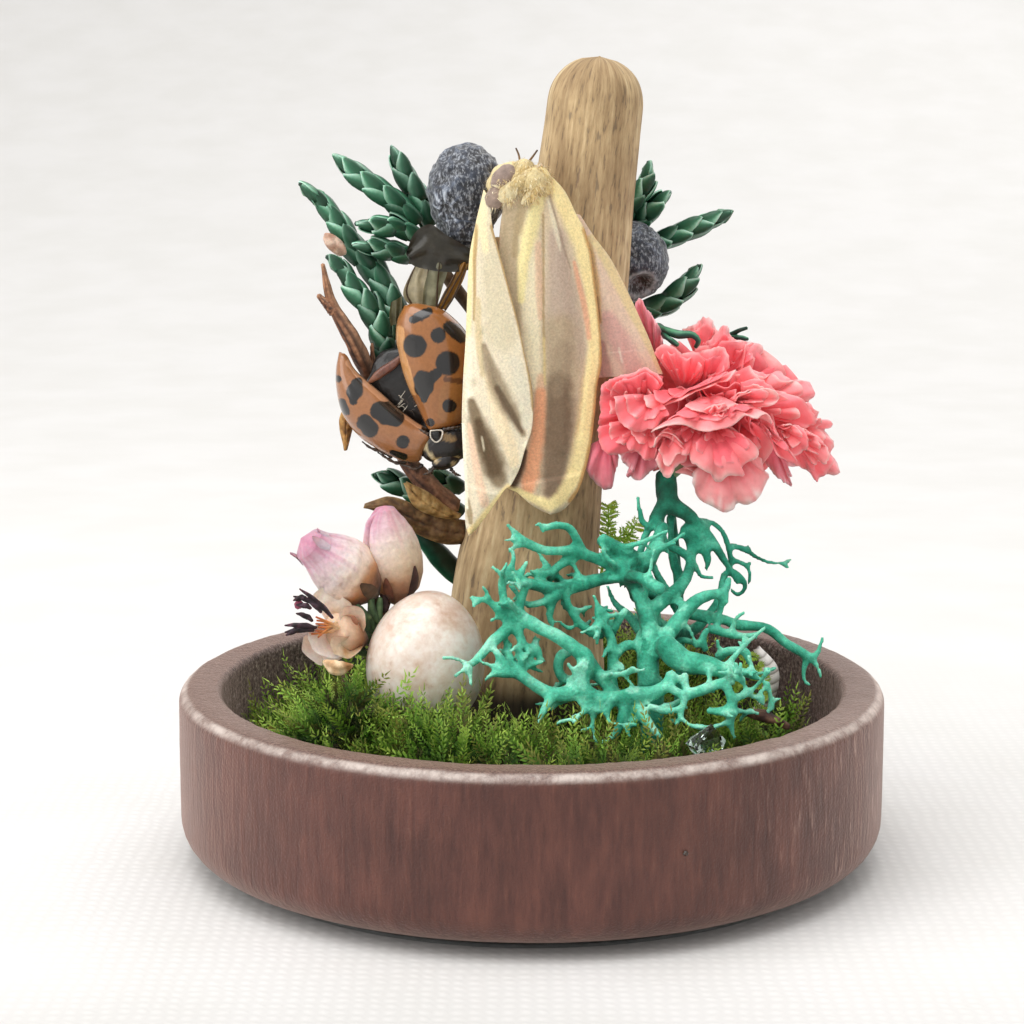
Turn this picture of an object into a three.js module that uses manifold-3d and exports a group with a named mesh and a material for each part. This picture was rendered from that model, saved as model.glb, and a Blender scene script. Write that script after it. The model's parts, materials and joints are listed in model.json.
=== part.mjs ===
// Dried moth and lady beetle arrangement on a small turned wooden dish.
// Millimetres, +Z up, the origin at the centre of the underside, -Y is the front.

import * as THREE from 'three';
import { mergeVertices } from 'three/addons/utils/BufferGeometryUtils.js';
import Module from 'manifold-3d';

const wasm = await Module();
wasm.setup();

// Driving dimensions
const dishRadius = 15;          // outside radius of the turned wall
const dishHeight = 7.5;
const rimInnerRadius = 13.2;    // inside edge of the rim
const dishFloor = 2;            // top of the dish floor
const wallBottom = 0.5;         // lowest edge of the outer wall, above the recessed foot
const footDiscThickness = 0.2;
const footDiscRadius = 13;
const footRingRadius = 12.7;
const bedLevel = 5.7;           // mean height of the moss bed
const bedRadius = 12.9;
const neighbourGap = 0.2;       // clearance where one piece is let into another
const wingThickness = 0.14;
const sliver = 0.012;           // facets smaller than this are merged after a cut
const roundSides = 32;          // facets round the turned pieces

const group = new THREE.Group();
const grownShapes = {};         // a slightly larger copy of each placed piece, for cutting its neighbours

// Materials
const finish = (color, roughness, metalness = 0) =>
  new THREE.MeshStandardMaterial({ color, roughness, metalness });
const stainedWood = finish('#70493f', 0.55);
const clearPlastic = finish('#d9dcdc', 0.12);
const moss = finish('#5f8a2e', 0.95);
const driftwood = finish('#9c8560', 0.8);
const mothScales = finish('#d9c596', 0.85);
const mothFur = finish('#d8c188', 0.95);
const elytronOrange = finish('#c9782f', 0.35);
const beetleBlack = finish('#1b1715', 0.4);
const hindwingFilm = finish('#7d6b4a', 0.4);
const juniperGreen = finish('#23523c', 0.6);
const juniperBark = finish('#4b3a2a', 0.85);
const berryBlue = finish('#39405a', 0.7);
const brownBark = finish('#6f4f3c', 0.85);
const driedLeaf = finish('#6d5130', 0.8);
const heatherPink = finish('#dfc4c0', 0.7);
const heatherBark = finish('#5d5f33', 0.85);
const pebbleCream = finish('#e2d2c0', 0.3);
const lichenTeal = finish('#3fb58a', 0.85);
const petalPink = finish('#ef6b74', 0.8);
const calyxGreen = finish('#8aa06a', 0.8);
const quartz = finish('#e8efee', 0.05);
const shellWhite = finish('#e6e2da', 0.3);

// Solids and meshes
function toSolid(geometry) {
  const bare = geometry.clone();
  bare.deleteAttribute('normal');
  bare.deleteAttribute('uv');
  const merged = mergeVertices(bare, 1e-4);
  return new wasm.Manifold(new wasm.Mesh({
    numProp: 3,
    vertProperties: new Float32Array(merged.attributes.position.array),
    triVerts: new Uint32Array(merged.index.array),
  }));
}

function toGeometry(solid) {
  const { vertProperties, triVerts } = solid.getMesh();
  const geometry = new THREE.BufferGeometry();
  geometry.setAttribute('position', new THREE.BufferAttribute(vertProperties, 3));
  geometry.setIndex(new THREE.BufferAttribute(triVerts, 1));
  geometry.computeVertexNormals();
  return geometry;
}

function largestBody(solid) {
  return solid.decompose().reduce((best, body) => (body.volume() > best.volume() ? body : best));
}

// build(grow) returns the piece's solid, made larger all round by grow
function place(name, material, build, neighbours = []) {
  let solid = build(0);
  for (const other of neighbours) solid = solid.subtract(grownShapes[other](neighbourGap));
  if (neighbours.length) solid = largestBody(solid.simplify(sliver));
  const mesh = new THREE.Mesh(toGeometry(solid), material);
  mesh.name = name;
  group.add(mesh);
  grownShapes[name] = build;
}

// Shapes
const at = ([x, y, z]) => new THREE.Vector3(x, y, z);
const route = (points) => new THREE.CatmullRomCurve3(points.map(at), false, 'centripetal');

function along(values, t) {
  const place = t * (values.length - 1);
  const low = Math.min(Math.floor(place), values.length - 2);
  return THREE.MathUtils.lerp(values[low], values[low + 1], place - low);
}

// A turned spindle bent along a route; the radii are spread evenly from its start to its end
function branch(points, radii, grow = 0, { sides = 5, steps = 6, shape = () => 1 } = {}) {
  const curve = route(points);
  const frames = curve.computeFrenetFrames(steps);
  const profile = [new THREE.Vector2(0, 0)];
  for (let step = 0; step <= steps; step += 1) {
    const t = step / steps;
    profile.push(new THREE.Vector2(along(radii, t) * shape(t) + grow, t));
  }
  profile.push(new THREE.Vector2(0, 1));
  const geometry = new THREE.LatheGeometry(profile, sides);
  const position = geometry.attributes.position;
  for (let index = 0; index < position.count; index += 1) {
    const t = position.getY(index);
    const step = Math.round(t * steps);
    const point = curve.getPointAt(t);
    point.addScaledVector(frames.tangents[step], (t === 0 ? -grow : 0) + (t === 1 ? grow : 0));
    point.addScaledVector(frames.binormals[step], position.getX(index));
    point.addScaledVector(frames.normals[step], position.getZ(index));
    position.setXYZ(index, point.x, point.y, point.z);
  }
  return toSolid(geometry);
}

const joined = (solids) => solids.reduce((sum, solid) => sum.add(solid));

// Several branches grown together: a list of [points, radii]
const fork = (list, options) => (grow) =>
  joined(list.map(([points, radii]) => branch(points, radii, grow, options)));

function ellipsoid(center, radii, grow = 0, turn = new THREE.Quaternion(), detail = 10) {
  const geometry = new THREE.SphereGeometry(1, detail, Math.round(detail * 0.7));
  geometry.scale(radii[0] + grow, radii[1] + grow, radii[2] + grow);
  geometry.applyQuaternion(turn);
  geometry.translate(...center);
  return toSolid(geometry);
}

// A thin box bent to the surface(u, v), u and v from 0 to 1
function sheet(surface, thickness, across = 3, down = 7) {
  const geometry = new THREE.BoxGeometry(1, 1, 1, across, down, 1);
  const position = geometry.attributes.position;
  const nudge = 1e-3;
  for (let index = 0; index < position.count; index += 1) {
    const u = THREE.MathUtils.clamp(position.getX(index) + 0.5, nudge, 1 - nudge);
    const v = THREE.MathUtils.clamp(position.getY(index) + 0.5, nudge, 1 - nudge);
    const point = surface(u, v);
    const alongU = surface(u + nudge, v).sub(surface(u - nudge, v));
    const alongV = surface(u, v + nudge).sub(surface(u, v - nudge));
    const normal = alongU.cross(alongV).normalize();
    point.addScaledVector(normal, position.getZ(index) * thickness);
    position.setXYZ(index, point.x, point.y, point.z);
  }
  return toSolid(geometry);
}

// A wing or leaf between two edges that run from base to tip, bulging to the front
function blade(leftEdge, rightEdge, bulge, { across = 3, down = 7, thickness = wingThickness } = {}) {
  const left = route(leftEdge);
  const right = route(rightEdge);
  const surface = (u, v) => {
    const point = left.getPointAt(1 - v).lerp(right.getPointAt(1 - v), u);
    point.y -= bulge * Math.sin(Math.PI * u);
    return point;
  };
  return (grow) => sheet(surface, thickness + 2 * grow, across, down);
}

// Turns +Z to a direction
const turnTo = (direction) =>
  new THREE.Quaternion().setFromUnitVectors(new THREE.Vector3(0, 0, 1), at(direction).normalize());

const lathe = (profile, sides) => new THREE.LatheGeometry(
  profile.map(([radius, height]) => new THREE.Vector2(radius, height)), sides).rotateX(Math.PI / 2);

// Dish: a turned bowl with a rounded lower corner, a rolled rim and a recessed foot
function dish() {
  const cornerRadius = 1.5;
  const rimRound = 0.55;
  const profile = [[0, footDiscThickness], [footRingRadius, footDiscThickness], [footRingRadius, wallBottom]];
  for (let step = 0; step <= 3; step += 1) {
    const angle = (step / 3) * Math.PI / 2;
    profile.push([dishRadius - cornerRadius * (1 - Math.sin(angle)),
      wallBottom + cornerRadius * (1 - Math.cos(angle))]);
  }
  profile.push([dishRadius, dishHeight - 2 * rimRound]);
  profile.push([dishRadius - 0.3 * rimRound, dishHeight - 0.5 * rimRound], [dishRadius - rimRound, dishHeight]);
  profile.push([rimInnerRadius + 0.3, dishHeight - 0.05], [rimInnerRadius, dishHeight - 0.3]);
  profile.push([rimInnerRadius, dishFloor + 1.2], [rimInnerRadius - 0.8, dishFloor], [0, dishFloor]);
  return toSolid(lathe(profile, roundSides));
}

// Moss bed: a pad that fills the dish, heaped at the front and left and hollow at the right
const mossHeaps = [
  { x: -8.4, y: -6.2, spread: 2.6, rise: 2.3 },
  { x: -2.5, y: -10, spread: 3.4, rise: 1.3 },
  { x: 3.5, y: -10, spread: 3.2, rise: 0.9 },
  { x: 10, y: -6.6, spread: 1.8, rise: 1 },
  { x: -9, y: 3, spread: 3.6, rise: 0.8 },
  { x: 1, y: 9, spread: 4.2, rise: 0.9 },
  { x: 11.4, y: 1.5, spread: 3.4, rise: -1.2 },
  { x: 0.6, y: -4.4, spread: 1.9, rise: -1 },
];

function bedHeight(x, y) {
  const heaped = mossHeaps.reduce((sum, heap) => {
    const distance = Math.hypot(x - heap.x, y - heap.y) / heap.spread;
    return sum + heap.rise * Math.exp(-distance * distance);
  }, bedLevel);
  const edge = THREE.MathUtils.smoothstep(Math.hypot(x, y), bedRadius - 1.2, bedRadius);
  return heaped - 0.5 * edge;
}

function mossBed() {
  const profile = [[0, dishFloor], [bedRadius - 0.8, dishFloor], [bedRadius, dishFloor + 1.2]];
  for (const share of [1, 0.9, 0.74, 0.56, 0.38, 0.2, 0]) profile.push([bedRadius * share, bedLevel]);
  const geometry = lathe(profile, 24);
  const position = geometry.attributes.position;
  for (let index = 0; index < position.count; index += 1) {
    if (position.getZ(index) < bedLevel - 1e-3) continue;
    position.setZ(index, bedHeight(position.getX(index), position.getY(index)));
  }
  return toSolid(geometry);
}

place('wooden_dish', stainedWood, dish);
place('clear_foot_disc', clearPlastic, () => toSolid(
  lathe([[0, 0], [footDiscRadius, 0], [footDiscRadius, footDiscThickness], [0, footDiscThickness]],
    roundSides)));

// Driftwood post: leans to the right, tapers upwards and ends in a worn round tip
const postRoute = [[-0.5, 1.2, 2.2], [-0.25, 1.2, 10.7], [0.1, 1.1, 13.8], [0.7, 1.05, 18.5],
  [1.6, 1, 23.6], [2.55, 0.8, 31.2], [2.8, 0.8, 33.8]];
const postRadii = [3.6, 3.55, 3.45, 3.2, 2.85, 2.66, 2.62, 2.5, 2.3, 2.1, 2, 1.96];
const tipShare = 0.06;          // the part of the post's length that rounds off to the tip
const roundTip = (t) => {
  const into = THREE.MathUtils.clamp((t - (1 - tipShare)) / tipShare, 0, 1);
  return Math.max(0.12, Math.sqrt(1 - into * into));
};
place('driftwood_post', driftwood, (grow) =>
  branch(postRoute, postRadii, grow, { sides: 11, steps: 20, shape: roundTip }));

// Egg-shaped pebble, blunt end down in the moss
const pebbleCentre = [-4.35, -5, 9.45];
const pebbleHalf = { width: 2.52, height: 2.9 };
function pebble(grow) {
  const profile = [];
  const steps = 10;
  for (let step = 0; step <= steps; step += 1) {
    const angle = (step / steps) * Math.PI;
    const narrowing = 1 - 0.09 * (1 - Math.cos(angle)) / 2;
    profile.push([Math.max(0, Math.sin(angle)) * (pebbleHalf.width + grow) * narrowing,
      -Math.cos(angle) * (pebbleHalf.height + grow)]);
  }
  profile[0][0] = 0;
  profile[steps][0] = 0;
  return toSolid(lathe(profile, 16).translate(...pebbleCentre));
}
place('egg_pebble', pebbleCream, pebble);

// Moth: head up on the front of the post, its forewings folded over the body
const mothBodyParts = [
  { center: [-0.3, -2.15, 29.35], radii: [0.42, 0.38, 0.36] },
  { center: [-0.15, -2.25, 28.5], radii: [0.95, 0.55, 0.85] },
];
const abdomenRoute = [[-0.1, -2.2, 28], [0.1, -2.2, 24.5], [0.15, -2.25, 20.5]];
place('moth_body', mothFur, (grow) => joined([
  ...mothBodyParts.map((part) => ellipsoid(part.center, part.radii, grow, undefined, 8)),
  branch(abdomenRoute, [0.5, 0.46, 0.36, 0.16], grow),
]));

const leftForewing = {
  outer: [[-1.9, -1.9, 28.4], [-2.3, -1.95, 27.5], [-2.62, -2.1, 25], [-2.8, -2.35, 22], [-2.92, -2.6, 19.7],
    [-2.98, -2.85, 17.4], [-2.97, -3, 15.3], [-2.6, -3.1, 14.3]],
  inner: [[-1.5, -2.7, 28.2], [-1.2, -3.3, 25.5], [-0.66, -3.45, 23.4], [-0.1, -3.55, 20.7], [-0.12, -3.6, 18.8],
    [-0.45, -3.6, 17.5], [-1, -3.55, 16.4], [-1.85, -3.4, 15.4], [-2.5, -3.15, 14.4]],
};
const rightForewing = {
  inner: [[0.3, -2.85, 28.6], [-0.1, -2.85, 26.4], [-0.5, -2.9, 23.5], [-0.3, -3, 20.5], [-0.5, -3.05, 18],
    [-0.6, -3.1, 16.6], [0, -3.15, 15.7], [0.75, -3.2, 15.3]],
  outer: [[0.95, -2, 28.9], [1.95, -1.95, 27.2], [2.5, -2, 26.2], [2.7, -2.2, 24.5], [2.78, -2.35, 22.6],
    [2.75, -2.6, 21], [2.55, -2.85, 19.3], [2.2, -3, 17.8], [1.85, -3.1, 16.5], [1.4, -3.2, 15.6],
    [0.9, -3.2, 15.3]],
};
place('moth_forewing_left', mothScales, blade(leftForewing.outer, leftForewing.inner, 0.25));
place('moth_forewing_right', mothScales, blade(rightForewing.inner, rightForewing.outer, 0.15));
place('moth_hindwing_right', mothScales, blade(
  [[1.2, -1.95, 26.4], [1.5, -2, 24], [1.7, -2.05, 22], [2.2, -2.1, 20.8]],
  [[2.4, -1.8, 26.4], [3.74, -1.75, 24.8], [4.4, -1.8, 23.4], [5.3, -1.9, 20.85]], 0.02));
place('moth_hindwing_left', mothScales, blade(
  [[-2, -1.75, 26.5], [-2.4, -1.85, 23], [-2.6, -2.05, 19.5], [-2.5, -2.2, 17]],
  [[-1, -1.95, 26.5], [-0.9, -2.05, 23], [-0.9, -2.1, 19.5], [-1.4, -2.2, 17]], 0.02));

// Lady beetle: on its belly against the twigs, wing cases opened in a V
const scutellum = [-3.96, -0.2, 18.3];
const elytra = {
  right: { tip: [-4.75, 0.05, 23.65], halfWidth: 1.65, dome: 1.25, roll: -0.12 },
  left: { tip: [-8.25, 0.3, 21.1], halfWidth: 1.32, dome: 1.15, roll: 0.3 },
};
function elytron({ tip, halfWidth, dome, roll }) {
  const start = at(scutellum);
  const lengthwise = at(tip).sub(start);
  const center = start.clone().addScaledVector(lengthwise, 0.52).toArray();
  const basis = new THREE.Matrix4();
  const yAxis = lengthwise.clone().normalize();
  const zAxis = new THREE.Vector3(0, -1, 0).applyAxisAngle(yAxis, roll);
  zAxis.addScaledVector(yAxis, -zAxis.dot(yAxis)).normalize();
  basis.makeBasis(yAxis.clone().cross(zAxis), yAxis, zAxis);
  const turn = new THREE.Quaternion().setFromRotationMatrix(basis);
  const shellWall = 0.22;
  return (grow) => {
    const half = lengthwise.length() * 0.49;
    const outer = ellipsoid(center, [halfWidth, half, dome], grow, turn, 12);
    const inner = ellipsoid(center, [halfWidth - shellWall, half - shellWall, dome - shellWall], -grow, turn, 9);
    const below = new THREE.BoxGeometry(12, 12, 6).translate(0, 0, -3 - grow);
    below.applyQuaternion(turn).translate(...center);
    return outer.subtract(inner).subtract(toSolid(below));
  };
}
place('beetle_elytron_right', elytronOrange, elytron(elytra.right));
place('beetle_elytron_left', elytronOrange, elytron(elytra.left), ['beetle_elytron_right']);
const beetleParts = [
  { center: [-5.1, 0.75, 19.75], radii: [1.75, 0.6, 2.2], lean: [-0.6, 0, 0.8] },
  { center: [-3.6, -0.15, 17.35], radii: [1.15, 0.55, 0.62], lean: [-0.6, 0, 0.8] },
  { center: [-3.15, -0.2, 16.75], radii: [0.6, 0.42, 0.42], lean: [-0.6, 0, 0.8] },
  { center: [-3.9, 0.55, 18.1], radii: [0.9, 0.5, 0.9], lean: [-0.6, 0, 0.8] },
];
place('beetle_body', beetleBlack, (grow) => joined(beetleParts.map((part) =>
  ellipsoid(part.center, part.radii, grow, turnTo(part.lean), 8))),
['beetle_elytron_right', 'beetle_elytron_left']);
place('beetle_hindwing_right', hindwingFilm, blade(
  [[-4.6, 0.3, 23.2], [-4.75, 0.25, 24.4], [-4.9, 0.05, 25.5], [-4.6, -0.35, 26.5]],
  [[-3.9, 0.3, 23.2], [-3.3, 0.2, 24.4], [-2.75, -0.15, 25.2], [-2.6, -0.7, 25.9]], 0.05,
  { across: 3, down: 5 }), ['beetle_elytron_right']);
place('beetle_hindwing_left', hindwingFilm, blade(
  [[-5.3, 0.75, 23], [-5.5, 0.75, 23.8], [-5.1, 0.7, 24.5], [-4.5, 0.65, 25.1]],
  [[-4.5, 0.75, 23], [-4.4, 0.75, 23.8], [-4.2, 0.7, 24.5], [-4, 0.65, 25.1]], 0.02,
  { across: 3, down: 5 }), ['beetle_elytron_right']);

// Juniper: two bark-covered stems glued up the back of the post, with scale-leaved sprigs
const scaleLeaves = (count) => ({
  sides: 5, steps: 2 * count, shape: (t) => 0.9 + 0.1 * Math.cos(2 * Math.PI * count * t) });
const sprig = (points, width = 0.48, count = 4) =>
  fork([[points, [width * 0.7, width, width, width * 0.75, width * 0.4]]], scaleLeaves(count));
const leftStemRoute = [[0, 5.6, 2.3], [0, 5.6, 9], [-0.1, 5.3, 13], [-0.4, 4.9, 18], [-1.6, 4.3, 21.5],
  [-3.5, 3.6, 24.2], [-4.5, 3.2, 25.7]];
place('juniper_stem_left', juniperBark, (grow) =>
  branch(leftStemRoute, [0.55, 0.5, 0.45, 0.4, 0.36, 0.3, 0.24], grow, { steps: 10 }), ['driftwood_post']);
place('juniper_stem_right', juniperBark, (grow) =>
  branch([[0.9, 5.3, 15.2], [2, 5.5, 19], [3, 6.1, 22], [4, 6.4, 25]], [0.4, 0.36, 0.3, 0.22], grow),
['driftwood_post', 'juniper_stem_left']);

const leftSprigs = [
  sprig([[-9.75, 1.5, 28.5], [-8.8, 1.8, 27.6], [-8, 2, 26.5], [-7.3, 2.1, 25.5], [-6.5, 2, 24.5],
    [-5.9, 1.9, 23.4], [-5.2, 2.3, 22], [-3.6, 3.6, 20.6], [-1.7, 4.4, 19.4]], 0.5, 9),
  sprig([[-8.6, 0.7, 25.5], [-7.85, 0.85, 24.8], [-7.3, 1, 23.9], [-6.7, 1.2, 23], [-6.3, 1.6, 22],
    [-5.9, 2.7, 20.6], [-4, 3.9, 18.6], [-1.5, 4.8, 17.2]], 0.46, 8),
  sprig([[-8.35, 2.4, 29.6], [-6.95, 2.4, 28.5], [-5.9, 2.6, 27.7], [-4.9, 3, 26.8]], 0.46, 5),
  sprig([[-5.95, 3.4, 29.95], [-5.3, 3.4, 28.6], [-4.7, 3.4, 27.5], [-4.4, 3.5, 26.6]], 0.45, 4),
  sprig([[-7.4, 1, 26.85], [-6.5, 1.4, 26.75], [-5.6, 2.2, 26.6], [-4.9, 2.8, 26.2]], 0.4, 4),
  sprig([[-7.5, 1.1, 25.95], [-6.5, 1.4, 25.8], [-5.8, 2, 25.6], [-5, 2.8, 25.3]], 0.38, 4),
];
leftSprigs.forEach((build, index) => {
  const earlier = leftSprigs.slice(0, index).map((_, other) => `juniper_sprig_left_${other + 1}`);
  place(`juniper_sprig_left_${index + 1}`, juniperGreen, build, ['juniper_stem_left', 'driftwood_post', ...earlier]);
});

place('berry_left', berryBlue, (grow) => joined([
  ellipsoid([-2.75, 1.1, 28.2], [1.65, 1.6, 1.95], grow),
  ellipsoid([-2.6, 1, 26.4], [1.25, 1.2, 1.5], grow),
]));
place('berry_right', berryBlue, (grow) => ellipsoid([4.3, 4.35, 25], [1.6, 1.55, 1.65], grow));

const rightSprigs = [
  sprig([[5.05, 4, 29.3], [4.75, 4.2, 28.1], [4.1, 5, 27], [3.9, 5.9, 26]], 0.42, 4),
  sprig([[6, 4.4, 28], [5.2, 4.8, 27.2], [4.6, 5.6, 26.4]], 0.46, 4),
  sprig([[8.65, 4.6, 27.1], [7, 4.9, 26.4], [5.7, 5.5, 25.8], [4.7, 6.4, 25.3]], 0.45, 5),
  sprig([[7.3, 4.6, 24.8], [6.4, 4.9, 23.6], [5.4, 5.3, 22.9], [3.8, 6.2, 22.4]], 0.48, 5),
  sprig([[6.95, 1.2, 22], [5.7, 1.8, 22.35], [4.8, 3.6, 21.6], [3.6, 5.2, 20.8]], 0.3, 4),
  sprig([[9.2, 2, 22.3], [7.6, 2.8, 22], [5.8, 4.6, 21.6], [4.2, 5.9, 21.5]], 0.28, 4),
];
rightSprigs.forEach((build, index) => {
  const earlier = rightSprigs.slice(0, index).map((_, other) => `juniper_sprig_right_${other + 1}`);
  place(`juniper_sprig_right_${index + 1}`, juniperGreen, build,
    ['juniper_stem_right', 'driftwood_post', 'berry_right', ...earlier]);
});

const lowSprigs = [
  sprig([[-6.7, 1.5, 16.1], [-5.2, 1.9, 15.4], [-4.1, 2.5, 14.7], [-3.2, 3.2, 14.2]], 0.46, 3),
  sprig([[-4.2, 1.8, 16.4], [-3.8, 2.3, 15.7], [-3.2, 3, 15.3]], 0.5, 2),
  sprig([[-5.3, 1.7, 13.8], [-4.4, 2, 12.9], [-3.8, 2.6, 12]], 0.5, 3),
];
lowSprigs.forEach((build, index) => {
  const earlier = lowSprigs.slice(0, index).map((_, other) => `juniper_sprig_low_${other + 1}`);
  place(`juniper_sprig_low_${index + 1}`, juniperGreen, build, ['driftwood_post', ...earlier]);
});
place('juniper_cone_scale', driedLeaf, (grow) =>
  ellipsoid([-8.3, 1.3, 25.95], [0.32, 0.2, 0.62], grow, turnTo([-0.7, -0.1, 0.7]), 8),
['juniper_sprig_left_1', 'juniper_sprig_left_2']);

// Brown twig behind the beetle, glued to the left side of the post, with dried leaves
place('brown_twig', brownBark, fork([
  [[[-8.75, 0.4, 25.2], [-8.4, 0.5, 23.6], [-7.6, 0.6, 22.1], [-7, 1.3, 20.7], [-6.3, 2.1, 19.3],
    [-5.7, 2, 17.8], [-5.2, 1.3, 16.6], [-4.1, 0.9, 15.5], [-3.3, 0.9, 14.8]], [0.08, 0.34, 0.4, 0.4, 0.42]],
  [[[-8.95, 0.4, 23.9], [-8.3, 0.5, 23.2]], [0.1, 0.26]],
  [[[-6.75, 1, 21.8], [-6.7, 1.4, 20.8], [-6.3, 2, 19.4]], [0.06, 0.16, 0.2]],
], { steps: 9 }), ['driftwood_post', 'juniper_sprig_left_2', 'juniper_sprig_left_1', 'juniper_sprig_low_1',
  'juniper_sprig_low_2', 'beetle_body', 'beetle_elytron_left']);
place('dried_leaf_pointed', driedLeaf, blade(
  [[-7.5, 1.3, 19.6], [-8.1, 0.9, 18.6], [-7.95, 0.5, 17.35]],
  [[-7.1, 1.3, 19.6], [-7.55, 0.9, 18.6], [-7.85, 0.5, 17.35]], 0.05, { across: 2, down: 4 }),
['brown_twig', 'beetle_elytron_left']);
place('dried_leaf_upper', driedLeaf, blade(
  [[-5.4, -0.3, 16], [-4.9, -0.2, 15], [-3.9, 0.1, 14.45]],
  [[-5.3, -0.3, 16.05], [-4.4, -0.2, 15.55], [-3.6, 0.1, 14.9]], 0.05, { across: 2, down: 4 }),
['brown_twig', 'driftwood_post', 'juniper_sprig_low_1']);
place('dried_leaf_lower', driedLeaf, blade(
  [[-7.1, -0.5, 15], [-6, -0.4, 14.7], [-4.9, -0.1, 13.9], [-3.6, 0.3, 13.4]],
  [[-7.05, -0.5, 15.1], [-6, -0.4, 15.35], [-4.9, -0.1, 14.95], [-3.4, 0.3, 14.3]], 0.08,
  { across: 3, down: 6 }), ['brown_twig', 'dried_leaf_upper', 'driftwood_post', 'juniper_sprig_low_1']);

// Heather: one stem with two closed bells and an open flower
const heatherBranches = [
  [[[-7.7, -3.9, 3.6], [-7.6, -3.9, 9], [-7, -3.5, 10.5], [-6.2, -3, 11.1]], [0.24, 0.22, 0.2]],
  [[[-7.5, -3.9, 9.3], [-7.5, -4.2, 10.2]], [0.2, 0.16]],
];
place('heather_stem', heatherBark, fork(heatherBranches));
const bells = {
  heather_bell_left: { base: [-6.55, -3.2, 11.9], mouth: [-9.3, -4.7, 14.5], radii: [0.5, 1.1, 1.3, 1.2, 0.75] },
  heather_bell_upright: { base: [-5.55, -2.8, 11.9], mouth: [-6.25, -3.2, 15.9], radii: [0.6, 1.25, 1.35, 1.1, 0.5] },
  heather_flower_open: { base: [-7.5, -4.6, 10.5], mouth: [-9.1, -5.9, 11.3], radii: [0.4, 0.9, 1.2, 1.3] },
};
let earlierBells = ['heather_stem', 'egg_pebble'];
for (const [name, { base, mouth, radii }] of Object.entries(bells)) {
  const middle = base.map((value, axis) => (value + mouth[axis]) / 2);
  place(name, heatherPink, (grow) =>
    branch([base, middle, mouth], radii, grow, { sides: 8, steps: 5 }), earlierBells);
  earlierBells = [...earlierBells, name];
}

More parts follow.
